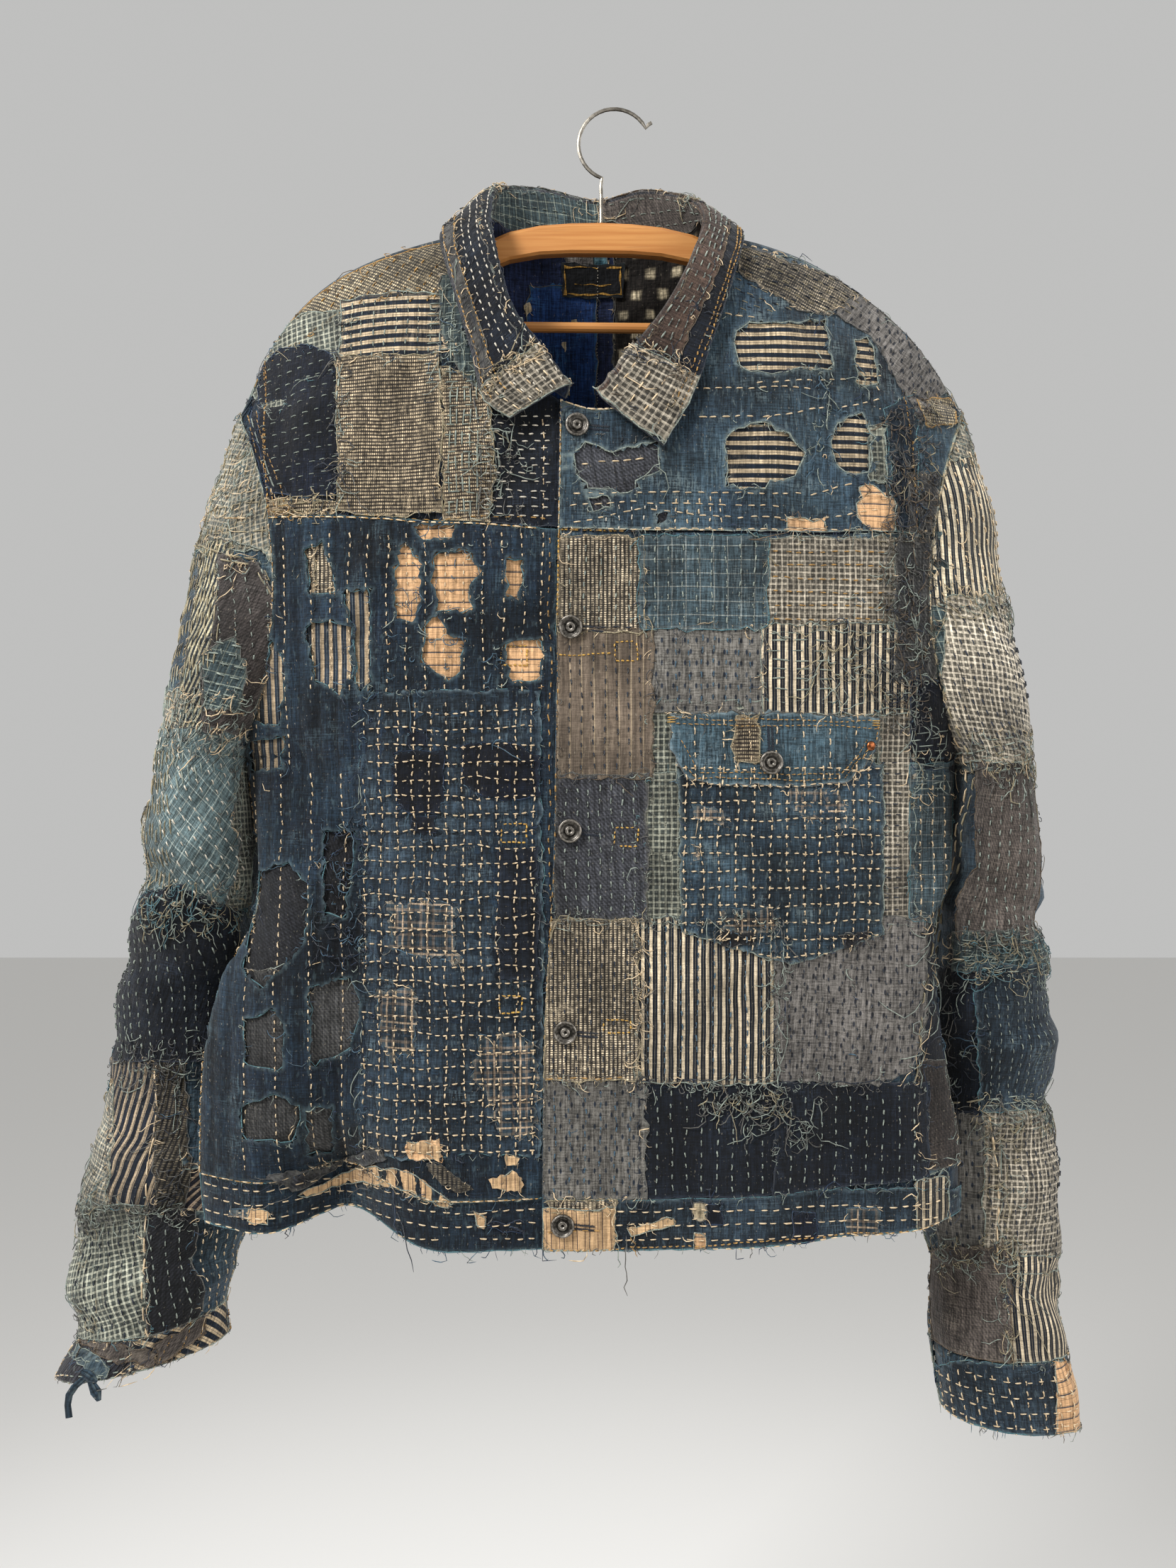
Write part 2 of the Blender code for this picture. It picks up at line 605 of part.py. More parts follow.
def back_panels():
    columns = back_columns()
    start = len(OUTER_COLUMNS) - 1
    band, body, yoke = [], [], []
    for number, (side, u) in enumerate(columns):
        low, high = level("back_hem", side, u), band_top("back_hem", side, u)
        band.append([form_point("back", side, u, _mix(low, high, s)) for s in (0.0, 0.5, 1.0)])
        body.append([form_point("back", side, u, h(u)) for h in body_heights("back", side)])
        turn = np.clip(number - start, 0, len(NECK_ANGLES) - 1)
        inside = cos(NECK_ANGLES[turn]) if 0 < number - start < len(NECK_ANGLES) - 1 else 0.0
        first = -SHOULDER_SEAM + (BACK_NECK + SHOULDER_SEAM) * inside
        wrap = list(-WRAP_OVER) + list(BACK_YOKE_OVER)
        if inside:
            wrap = np.linspace(first, 1, len(wrap))
        points = []
        for over in wrap:
            face = "front" if over < 0 else "back"
            points.append(form_point(face, side, u, 0.0, over=np.array(abs(over))))
        yoke.append(points)
    panels = [Panel(np.swapaxes(np.array(p), 0, 1)) for p in (band, body, yoke)]
    return panels


def sleeve_panel(side, front_edge, back_edge, top):
    """A sleeve from its armhole to its cuff, open along the underarm seam.

    front_edge and back_edge are the armhole's points, from the top down to the armpit, and
    top is the shoulder point between them.
    """
    shares = np.linspace(0, 1, SLEEVE_COLUMNS)
    rows = []
    first = np.array([front_edge[0], top, back_edge[0]])
    rows.append(np.stack([np.interp(shares, (0, 0.5, 1), first[:, i]) for i in range(3)], axis=-1))
    for front, back in zip(front_edge[1:], back_edge[1:]):
        row = sleeve_point(side, shares, front[2], back[2])
        row[0] = front
        row[-1] = back
        rows.append(row)
    lower = np.linspace(ARMPIT, CUFF_TOP[side], SLEEVE_LOWER_ROWS + 1)[1:]
    for z in lower:
        rows.append(sleeve_point(side, shares, z, z))
    cuff = [sleeve_point(side, shares, z, z) for z in np.linspace(CUFF_TOP[side], CUFF_END[side], 3)]
    return Panel(np.array(rows)), Panel(np.array(cuff))


def jacket_panels():
    """Every main panel by name, with seam points in common."""
    panels = {}
    back_band, back, back_yoke = back_panels()
    panels.update(hem_band_back=back_band, back_panel=back, back_yoke=back_yoke)
    for side in (RIGHT, LEFT):
        word = name_of(side)
        band, body, yoke = front_panels(side)
        column = 0 if side == RIGHT else -1
        wrap = back_yoke.points[:, column]
        ridge_row = len(WRAP_OVER)
        front_edge = np.concatenate(
            [wrap[ridge_row - 1 : ridge_row], yoke.points[::-1, -1], body.points[-2 : -len(UPPER_ROWS) - 1 : -1, -1]]
        )
        back_edge = np.concatenate(
            [wrap[ridge_row + 1 :], back.points[-2 : -len(UPPER_ROWS) - 1 : -1, column]]
        )
        sleeve, cuff = sleeve_panel(side, front_edge, back_edge, wrap[ridge_row])
        panels[f"hem_band_front_{word}"] = band
        panels[f"front_{word}"] = body
        panels[f"front_yoke_{word}"] = yoke
        panels[f"sleeve_{word}"] = sleeve
        panels[f"cuff_{word}"] = cuff
    share_normals(panels.values())
    for side in (RIGHT, LEFT):
        top = panels[f"sleeve_{name_of(side)}"].normals[0]
        ends = top[[0, SLEEVE_COLUMNS // 2, -1]]
        for i in range(3):
            top[:, i] = np.interp(np.linspace(0, 2, SLEEVE_COLUMNS), range(3), ends[:, i])
    return panels


PANEL_FINISH = {
    "front_right": "indigo_denim",
    "front_left": "faded_denim",
    "back_panel": "indigo_denim",
    "front_yoke_right": "black_denim",
    "front_yoke_left": "faded_denim",
    "back_yoke": "indigo_denim",
    "sleeve_right": "grey_twill",
    "sleeve_left": "grey_twill",
    "cuff_right": "black_denim",
    "cuff_left": "indigo_denim",
    "hem_band_front_right": "indigo_denim",
    "hem_band_front_left": "indigo_denim",
    "hem_band_back": "indigo_denim",
}


# ---- Pieces laid on the panels --------------------------------------------------------


def at_index(grid, row, column):
    """A grid's value at fractional rows and columns, on the panel's own triangles."""
    r = np.clip(np.floor(row).astype(int), 0, grid.shape[0] - 2)
    c = np.clip(np.floor(column).astype(int), 0, grid.shape[1] - 2)
    fr, fc = (row - r)[..., None], (column - c)[..., None]
    near, far = grid[r, c], grid[r + 1, c + 1]
    beside, above = grid[r, c + 1], grid[r + 1, c]
    one = near + fc * (beside - near) + fr * (far - beside)
    other = near + fr * (above - near) + fc * (far - above)
    return np.where(fc >= fr, one, other)


def locate(panel, x, z):
    """Fractional rows and columns of the panel's points seen at x and z."""
    rows, columns = panel.points.shape[:2]
    row = np.full(x.shape, rows / 2)
    column = np.full(x.shape, columns / 2)
    for _ in range(12):
        for place in np.ndindex(x.shape):
            across = at_index(panel.points, np.full(columns, row[place]), np.arange(columns * 1.0))
            order = np.argsort(across[:, 0])
            column[place] = np.interp(x[place], across[order, 0], order)
            down = at_index(panel.points, np.arange(rows * 1.0), np.full(rows, column[place]))
            order = np.argsort(down[:, 2])
            row[place] = np.interp(z[place], down[order, 2], order)
    return row, column


def laid_on(name, panel, row, column, finish_name, layer=1, thickness=CLOTH, puff=0.0):
    """A wall over places of a panel, as the layer-th piece on it, or inside it."""
    points = at_index(panel.points, row, column)
    normals = at_index(panel.normals, row, column)
    normals /= np.linalg.norm(normals, axis=2, keepdims=True)
    if layer > 0:
        lift = layer * (LAYER_GAP + CLOTH) + puff
    else:
        lift = -CLOTH - LAYER_GAP + (layer + 1) * (LAYER_GAP + LINING_CLOTH)
    wall(name, points, normals, finish_name, thickness=thickness, lift=lift)


def between(low, high):
    """The two ends with every whole number that lies well between them."""
    low, high = min(low, high), max(low, high)
    inner = [i for i in range(int(np.ceil(low)), int(high) + 1) if low + 0.1 < i < high - 0.1]
    return np.array([low, *inner, high])


def places_on(panel, left, right, top, bottom):
    """The panel's own rows and columns between straight edges."""
    middle_x, middle_z = (left + right) / 2, (top + bottom) / 2
    x = np.array([left, right, middle_x, middle_x])
    z = np.array([middle_z, middle_z, top, bottom])
    row, column = locate(panel, x, z)
    return np.meshgrid(between(row[2], row[3]), between(column[0], column[1]), indexing="ij")


def build_front_layers(panels):
    right, left = panels["front_right"], panels["front_left"]
    p = PLACKET
    row, column = places_on(left, CENTRE_X, p["inner_x"], p["top"], p["bottom"])
    column[:, 0] = PLACKET_EDGE
    laid_on("placket_left", left, row, column, "tweed")
    laid_on("sashiko_patch", right, *places_on(right, **SASHIKO), "indigo_denim", puff=PATCH_PUFF)
    laid_on("welt_strip", right, *places_on(right, **WELT), "black_denim", layer=2, puff=PATCH_PUFF)
    p = POCKET
    row, column = places_on(left, p["left"], p["right"], p["top"], p["corner"])
    row = row[::-1]
    x = at_index(left.points, row[-1], column[-1])[:, 0]
    down = 1 - np.abs(2 * (x - p["left"]) / (p["right"] - p["left"]) - 1)
    row[-1] = locate(left, x, p["corner"] + (p["point"] - p["corner"]) * down)[0]
    laid_on("chest_pocket", left, row, column, "indigo_denim", puff=POCKET_PUFF)
    f = FLAP
    row, column = places_on(left, f["left"], f["right"], f["top"], f["bottom"])
    inset = locate(left, np.array([f["left"] + f["chamfer"], f["right"] - f["chamfer"]]),
                   np.array([f["top"], f["top"]]))[1]
    columns = np.sort(np.concatenate([column.mean(0), inset]))
    row = np.repeat(row[::-1, :1], len(columns), axis=1)
    row[-1, [0, -1]] += (row[0, 0] - row[-1, 0]) * f["corner_rise"]
    columns = np.broadcast_to(columns, row.shape)
    laid_on("pocket_flap", left, row, columns, "indigo_denim", layer=2, puff=POCKET_PUFF)


def build_lining(panels):
    """The two inner pieces and the woven label seen through the neck."""
    yoke = panels["back_yoke"]
    first = len(OUTER_COLUMNS)
    middle = first + len(NECK_ANGLES) // 2 - 1
    last = first + len(NECK_ANGLES) - 3
    lift = -CLOTH - LAYER_GAP
    for name, a, b in (("lining_right", first, middle), ("lining_left", middle, last)):
        area = slice(0, LINING_ROWS), slice(a, b + 1)
        wall(name, yoke.points[area], yoke.normals[area], "blue_lining", LINING_CLOTH, lift)
    places = places_on(yoke, **LABEL)
    laid_on("neck_label", yoke, *places, "label_black", layer=-2, thickness=LINING_CLOTH)


# ---- Collar ---------------------------------------------------------------------------


def smooth_read(rows, column, at):
    """A column read along a smooth curve through the table's places."""
    first = next(iter(rows))
    places, values = rows[first], rows[column]
    slopes = np.gradient(values, places)
    i = np.clip(np.searchsorted(places, at) - 1, 0, len(places) - 2)
    width = places[i + 1] - places[i]
    t = (at - places[i]) / width
    start = (1 + 2 * t) * (1 - t) ** 2 * values[i] + t * (1 - t) ** 2 * width * slopes[i]
    end = t * t * (3 - 2 * t) * values[i + 1] + t * t * (t - 1) * width * slopes[i + 1]
    return start + end


def collar_line(line, k):
    return np.stack([smooth_read(COLLAR, f"{line}_{axis}", k) for axis in "xyz"], axis=-1)


def build_collar():
    """One folded piece: up from the neck seam, over the roll and down to its outer edge."""
    places = COLLAR["k"]
    k = np.interp(np.linspace(0, 1, COLLAR_STATIONS), np.linspace(0, 1, len(places)), places)
    neck, roll, edge = (collar_line(line, k) for line in ("neck", "roll", "edge"))
    out = edge - neck
    out /= np.linalg.norm(out, axis=1, keepdims=True)
    rows = [
        neck,
        (neck + roll) / 2 - out * ROLL_R * 0.3,
        roll * 0.85 + neck * 0.15 - out * ROLL_R,
        roll,
        roll * 0.88 + edge * 0.12 + out * ROLL_R,
        roll * 0.5 + edge * 0.5 + out * ROLL_R * 0.3,
        edge,
    ]
    points = np.array(rows)
    collar = Panel(points)
    if collar.normals[3, COLLAR_STATIONS // 2][2] < 0:
        collar.normals = -collar.normals
    wall("collar", points, collar.normals, "grey_twill", thickness=COLLAR_CLOTH)


# ---- Buttons, rivet and tie -----------------------------------------------------------


def turned(name, profile, finish_name, place, axis, steps=16):
    """A solid turned from a profile of radii and heights, standing on place along axis."""
    mesh = bpy.data.meshes.new(name)
    points = [(r, 0.0, h) for r, h in profile]
    mesh.from_pydata(points, [(i, i + 1) for i in range(len(points) - 1)], [])
    made = finish(name, mesh, finish_name)
    screw = made.modifiers.new("turn", "SCREW")
    screw.steps = screw.render_steps = steps
    screw.use_merge_vertices = True
    screw.merge_threshold = 0.00001
    screw.use_smooth_shade = True
    made.location = place
    made.rotation_euler = Vector(axis).to_track_quat("Z", "Y").to_euler()
    return made


def panel_place(panel, x, z, lift):
    """A place lift outside a panel, and the panel's normal there."""
    row, column = locate(panel, np.array([x]), np.array([z]))
    normal = at_index(panel.normals, row, column)[0]
    normal /= np.linalg.norm(normal)
    return at_index(panel.points, row, column)[0] + normal * lift, normal


def build_buttons(panels):
    h, r = BUTTON_HEIGHT, BUTTON_R
    profile = [(0, 0.55 * h), (0.3 * r, 0.55 * h), (0.45 * r, 0.8 * h), (0.8 * r, h)]
    profile += [(r, 0.75 * h), (r, 0.3 * h), (0.7 * r, 0), (0, 0)]
    layer = LAYER_GAP + CLOTH
    for number, (z, x) in enumerate(zip(BUTTONS["z"], BUTTONS["x"])):
        if z < PLACKET["bottom"]:
            panel, lift = panels["hem_band_front_left"], LAYER_GAP
        elif z > PLACKET["top"]:
            panel, lift = panels["front_yoke_left"], LAYER_GAP
        else:
            panel, lift = panels["front_left"], layer + LAYER_GAP
        turned(f"button_{number + 1}", profile, "pewter", *panel_place(panel, x, z, lift))
    lift = 2 * layer + POCKET_PUFF + LAYER_GAP
    x, z = FLAP_BUTTON
    turned("button_flap", profile, "pewter", *panel_place(panels["front_left"], x, z, lift))
    dome = [(0, 0.0014), (RIVET_R * 0.7, 0.0011), (RIVET_R, 0.0004), (RIVET_R, 0), (0, 0)]
    x, z = RIVET
    turned("rivet", dome, "copper", *panel_place(panels["front_left"], x, z, lift), steps=12)


def tube(name, places, radius, finish_name, resolution=2):
    """A round bar along places, closed at its ends."""
    line = bpy.data.curves.new(name, "CURVE")
    line.dimensions = "3D"
    line.bevel_depth = radius
    line.bevel_resolution = resolution
    line.use_fill_caps = True
    spline = line.splines.new("POLY")
    spline.points.add(len(places) - 1)
    for point, place in zip(spline.points, places):
        point.co = (*place, 1.0)
    line.materials.append(material(finish_name))
    made = bpy.data.objects.new(name, line)
    jacket.objects.link(made)
    return made


# ---- Hanger ---------------------------------------------------------------------------


def wood_top(x):
    """The top of the wooden bar, just under the cloth where the cloth rests on it."""
    side = RIGHT if x < CENTRE_X else LEFT
    d = abs(x - CENTRE_X)
    rest = np.interp(d, OUTER_COLUMNS * SHOULDER_D, ridge(side, OUTER_COLUMNS)) - CLOTH - WOOD_GAP
    middle = -0.0865 + HANGER_TILT * (x - CENTRE_X)
    share = np.clip(d / NECK_D, 0, 1) ** 2
    drop = WOOD_END_DROP * (d / WOOD_REACH) ** 4
    drop += WOOD_NECK_DROP * np.exp(-(((d - NECK_D) / 0.020) ** 2))
    return float(middle + (rest - middle) * share - drop)


def build_wood():
    """The arms: one shaped bar, deeper near its ends, where the trouser bar is held."""
    rests = OUTER_COLUMNS[OUTER_COLUMNS * SHOULDER_D < LOBE_D - 0.01] * SHOULDER_D
    inner = np.concatenate([[-LOBE_D], -rests[::-1], np.linspace(-0.07, 0.07, 7), rests, [LOBE_D]])
    step = 0.0006
    lobe = [(-WOOD_REACH, 0.6), (-WOOD_REACH + 0.006, 1.0), (-LOBE_D - step, 1.0)]
    stations = [(d, share) for d, share in lobe]
    stations += [(d, 0.0) for d in inner]
    stations += [(-d, share) for d, share in reversed(lobe)]
    half = WOOD_THICK / 2
    bevel = half * 0.6
    vertices = []
    for d, share in stations:
        x = CENTRE_X + d
        top = wood_top(x)
        height = WOOD_HEIGHT + 0.003 - 0.006 * abs(d) / WOOD_REACH
        deep = BAR_Z + HANGER_TILT * d - BAR_R - 0.007
        bottom = top - height
        bottom += (min(bottom, deep) - bottom) * share
        for y, z in (
            (-half + bevel, top),
            (half - bevel, top),
            (half, top - bevel),
            (half, bottom + bevel * 0.5),
            (half - bevel * 0.5, bottom),
            (-half + bevel * 0.5, bottom),
            (-half, bottom + bevel * 0.5),
            (-half, top - bevel),
        ):
            vertices.append((x, y, z))
    ring = 8
    faces = [tuple(range(ring)), tuple(range(len(vertices) - ring, len(vertices)))]
    for station in range(len(stations) - 1):
        for i in range(ring):
            j = (i + 1) % ring
            a, b = station * ring, (station + 1) * ring
            faces.append((a + i, a + j, b + j, b + i))
    finish("hanger_wood", closed_mesh("hanger_wood", vertices, faces), "beech")


def build_cuff_tie(panels):
    """A knotted strip of cloth that hangs from the right cuff."""
    cuff = panels["cuff_right"]
    rim = cuff.points[-1, TIE_COLUMN] * 0.4 + cuff.points[-2, TIE_COLUMN] * 0.6
    out = cuff.normals[-1, TIE_COLUMN]
    knot = rim + out * (TIE_R + 2.5 * LAYER_GAP)
    steps = [(0.0, 0.0, 0.006), (0.0, 0.0, 0.0), (0.0005, 0.0, -0.009), (-0.002, 0.0, -0.020)]
    steps += [(-0.006, -0.001, -0.032), (-0.012, -0.001, -0.042)]
    tube("cuff_tie", [tuple(knot + np.array(step)) for step in steps], TIE_R, "faded_denim")


def build_hanger():
    build_wood()
    reach = LOBE_D - LAYER_GAP
    ends = [(CENTRE_X + d, 0.0, BAR_Z + HANGER_TILT * d) for d in (-reach, reach)]
    tube("hanger_bar", ends, BAR_R, "beech", resolution=4)
    centre = Vector((0.0, 0.0, HOOK_WIRE_R - HOOK_ARC_R))
    start, stop = radians(250), radians(28)
    arc = []
    for i in range(24):
        turn = start + (stop - start) * i / 23
        arc.append(centre + Vector((cos(turn), 0, sin(turn))) * HOOK_ARC_R)
    foot = wood_top(CENTRE_X) + LAYER_GAP
    shaft = [(CENTRE_X, 0, foot), (CENTRE_X, 0, -0.066), (CENTRE_X - 0.0002, 0, -0.058)]
    tip = [(0.0262, 0, -0.0105), (0.0285, 0, -0.0090)]
    tube("hanger_hook", shaft + [tuple(p) for p in arc] + tip, HOOK_WIRE_R, "nickel")


# ---- Build --------------------------------------------------------------------------

clear_scene()
jacket = bpy.data.collections.new("boro_jacket")
bpy.context.scene.collection.children.link(jacket)
form = jacket_panels()
for panel_name, panel in form.items():
    wall(panel_name, panel.points, panel.normals, PANEL_FINISH[panel_name])
build_front_layers(form)
build_lining(form)
build_collar()
build_buttons(form)
build_cuff_tie(form)
build_hanger()
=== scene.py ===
"""The looks of the patched boro jacket and its hanger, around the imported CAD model.

Lengths are in metres, and patch outlines are in millimetres, as they are seen from the front
on the plane that the fronts lie in. Sides are the wearer's: RIGHT is at -X.
"""

from collections import defaultdict
from math import cos, pi, radians, sin, tau

import bpy
import numpy as np
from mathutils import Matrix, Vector
from mathutils.geometry import delaunay_2d_cdt


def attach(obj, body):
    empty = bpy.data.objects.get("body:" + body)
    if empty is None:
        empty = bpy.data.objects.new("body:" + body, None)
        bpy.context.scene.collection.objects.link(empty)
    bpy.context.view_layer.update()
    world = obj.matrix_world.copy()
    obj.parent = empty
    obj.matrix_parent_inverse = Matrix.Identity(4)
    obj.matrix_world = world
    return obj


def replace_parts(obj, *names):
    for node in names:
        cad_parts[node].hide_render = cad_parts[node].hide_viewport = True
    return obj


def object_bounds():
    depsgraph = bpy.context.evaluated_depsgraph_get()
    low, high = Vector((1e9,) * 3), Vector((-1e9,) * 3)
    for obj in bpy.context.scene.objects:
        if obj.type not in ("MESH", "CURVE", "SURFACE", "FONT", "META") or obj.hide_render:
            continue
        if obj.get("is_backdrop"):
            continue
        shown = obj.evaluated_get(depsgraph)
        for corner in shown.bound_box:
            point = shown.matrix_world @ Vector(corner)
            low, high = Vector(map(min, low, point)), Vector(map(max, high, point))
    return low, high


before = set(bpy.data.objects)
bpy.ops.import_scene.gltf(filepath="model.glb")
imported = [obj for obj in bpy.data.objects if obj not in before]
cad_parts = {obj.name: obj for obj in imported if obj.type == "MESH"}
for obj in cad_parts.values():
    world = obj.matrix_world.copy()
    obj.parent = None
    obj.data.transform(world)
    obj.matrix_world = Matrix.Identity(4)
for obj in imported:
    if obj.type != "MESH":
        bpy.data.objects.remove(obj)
cad_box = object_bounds()
rng = np.random.default_rng(11)

RIGHT, LEFT = -1, 1
CENTRE_X = -0.010
EYE = np.array([-0.020, -1.085, -0.515])  # where the camera stands
FRONT_Y = -0.085  # the plane that the outlines are given on
MM = 0.001
LAYER = 0.0008  # from one layer of cloth to the next
CLOTH = 0.0016  # how thick the base panels are

ARMHOLE_MID, ARMHOLE_HALF_HEIGHT, ARMHOLE_HALF_DEPTH = -0.364, 0.131, 0.062
ARMHOLE_D, ARMHOLE_LEAN, ARMHOLE_BOW = 0.271, 0.003, 0.035
ARMPIT = ARMHOLE_MID - ARMHOLE_HALF_HEIGHT
SHOULDER_POINT = ARMHOLE_MID + ARMHOLE_HALF_HEIGHT
SHOULDER_D = ARMHOLE_D + ARMHOLE_LEAN
ARMPIT_D = ARMHOLE_D - ARMHOLE_LEAN
NECK_D = 0.095
NECK_U = NECK_D / SHOULDER_D
NECK_FRONT_Z = -0.250
SHOULDER_SEAM = 0.20
BACK_NECK = 0.44
BAND_HEIGHT = 0.037
LAP_SINK = 0.0030
YOKE_DROP = 0.24  # the back yoke's length from the ridge to its seam
YOKE_REACH, HEM_REACH = 0.240, 0.290  # how far out the seams in LEVELS reach
SEAM_MARGIN = 0.0006  # what lies on a panel ends this far inside its seams
HEM_MARGIN = 0.0004
SIDE_SHARE = 0.997  # and at this share of the way to the side seam


def table(columns, *rows):
    """Named columns of numbers, in rising order of the first."""
    return dict(zip(columns.split(), np.array(rows, float).T))


def read(rows, column, at):
    """A column's value along a smooth curve that never overshoots the table's own values."""
    places, values = rows[next(iter(rows))], rows[column]
    at = np.clip(at, places[0], places[-1])
    secant = np.diff(values) / np.diff(places)
    slope = np.zeros(len(values))
    product = secant[1:] * secant[:-1]
    both = np.where(product > 0, secant[1:] + secant[:-1], 1)
    slope[1:-1] = np.where(product > 0, 2 * product / both, 0)
    slope[0], slope[-1] = secant[0], secant[-1]
    i = np.clip(np.searchsorted(places, at) - 1, 0, len(places) - 2)
    width = places[i + 1] - places[i]
    t = (at - places[i]) / width
    start = (1 + 2 * t) * (1 - t) ** 2 * values[i] + t * (1 - t) ** 2 * width * slope[i]
    end = t * t * (3 - 2 * t) * values[i + 1] + t * t * (t - 1) * width * slope[i + 1]
    return start + end

BODY = table(
    "z right left side_y front_y back_y",
    (-0.860, 0.292, 0.266, -0.030, -0.078, 0.068),
    (-0.790, 0.297, 0.265, -0.030, -0.080, 0.072),
    (-0.730, 0.294, 0.2555, -0.030, -0.083, 0.074),
    (-0.690, 0.288, 0.250, -0.030, -0.085, 0.075),
    (-0.660, 0.280, 0.247, -0.030, -0.086, 0.076),
    (-0.620, 0.258, 0.246, -0.028, -0.087, 0.077),
    (-0.587, 0.2535, 0.258, -0.022, -0.088, 0.078),
    (-0.550, 0.258, 0.2625, -0.014, -0.088, 0.079),
    (-0.515, 0.2635, 0.2655, -0.005, -0.088, 0.080),
    (ARMPIT, ARMPIT_D, ARMPIT_D, 0.000, -0.088, 0.080),
    (-0.340, ARMPIT_D, ARMPIT_D, 0.000, -0.087, 0.080),
)
RIDGE = table(
    "d right left",
    (0.000, -0.050, -0.050),
    (0.050, -0.070, -0.070),
    (0.090, -0.093, -0.096),
    (0.120, -0.100, -0.104),
    (0.158, -0.111, -0.118),
    (0.195, -0.127, -0.142),
    (0.223, -0.147, -0.164),
    (0.250, -0.180, -0.194),
    (0.262, -0.206, -0.212),
    (SHOULDER_D, SHOULDER_POINT, SHOULDER_POINT),
)
LEVELS = table(
    "d front_yoke back_yoke front_hem back_hem",
    (-0.290, -0.322, -0.322, -0.838, -0.838),
    (-0.240, -0.322, -0.322, -0.838, -0.836),
    (-0.180, -0.324, -0.318, -0.829, -0.834),
    (-0.110, -0.329, -0.312, -0.846, -0.833),
    (0.000, -0.336, -0.310, -0.846, -0.833),
    (0.110, -0.337, -0.312, -0.845, -0.833),
    (0.240, -0.335, -0.335, -0.836, -0.832),
    (0.290, -0.335, -0.335, -0.830, -0.830),
)
SLEEVES = {
    RIGHT: table(
        "z outer inner half_depth mid_y slope",
        (-0.962, 0.4255, 0.2935, 0.043, 0.030, -0.24),
        (-0.934, 0.4130, 0.2965, 0.043, 0.032, -0.22),
        (-0.891, 0.4158, 0.2850, 0.044, 0.036, -0.14),
        (-0.849, 0.4112, 0.2780, 0.045, 0.040, -0.05),
        (-0.776, 0.3915, 0.2720, 0.047, 0.042, 0.00),
        (-0.696, 0.3790, 0.2690, 0.051, 0.040, 0.00),
        (-0.660, 0.3700, 0.2660, 0.053, 0.036, 0.00),
        (-0.620, 0.3610, 0.2630, 0.057, 0.020, 0.00),
        (-0.587, 0.3520, 0.2590, 0.061, 0.008, 0.00),
        (-0.550, 0.3440, 0.2630, 0.066, 0.002, 0.00),
        (ARMPIT, 0.3330, 0.2680, 0.070, 0.000, 0.00),
        (-0.440, 0.3255, 0.2680, 0.067, 0.000, 0.00),
        (-0.377, 0.3130, 0.2680, 0.062, 0.000, 0.00),
        (-0.324, 0.3020, 0.2680, 0.062, 0.000, 0.00),
        (-0.277, 0.2860, 0.2680, 0.062, 0.000, 0.00),
        (SHOULDER_POINT, 0.2745, 0.2680, 0.062, 0.000, 0.00),
    ),
    LEFT: table(
        "z outer inner half_depth mid_y slope",
        (-1.004, 0.3680, 0.2680, 0.043, 0.022, -0.08),
        (-0.952, 0.3627, 0.2610, 0.043, 0.026, -0.06),
        (-0.910, 0.3610, 0.2610, 0.044, 0.031, -0.02),
        (-0.870, 0.3590, 0.2570, 0.045, 0.036, 0.00),
        (-0.820, 0.3575, 0.2520, 0.047, 0.041, 0.00),
        (-0.760, 0.3523, 0.2500, 0.049, 0.038, 0.00),
        (-0.713, 0.3515, 0.2520, 0.051, 0.033, 0.00),
        (-0.680, 0.3460, 0.2550, 0.053, 0.027, 0.00),
        (-0.652, 0.3400, 0.2575, 0.055, 0.019, 0.00),
        (-0.597, 0.3310, 0.2630, 0.060, 0.006, 0.00),
        (-0.550, 0.3270, 0.2670, 0.066, 0.002, 0.00),
        (ARMPIT, 0.3220, 0.2680, 0.070, 0.000, 0.00),
        (-0.437, 0.3160, 0.2680, 0.067, 0.000, 0.00),
        (-0.377, 0.3050, 0.2680, 0.062, 0.000, 0.00),
        (-0.313, 0.2935, 0.2680, 0.062, 0.000, 0.00),
        (-0.258, 0.2800, 0.2680, 0.062, 0.000, 0.00),
        (SHOULDER_POINT, 0.2745, 0.2680, 0.062, 0.000, 0.00),
    ),
}
CUFF_TOP = {RIGHT: -0.934, LEFT: -0.952}
CUFF_END = {RIGHT: -0.962, LEFT: -1.004}
LAPS = table(
    "z right left",
    (-0.860, -0.012, 0.043),
    (-0.710, -0.012, 0.042),
    (-0.550, -0.012, 0.034),
    (-0.400, -0.011, 0.032),
    (-0.250, -0.010, 0.030),
)
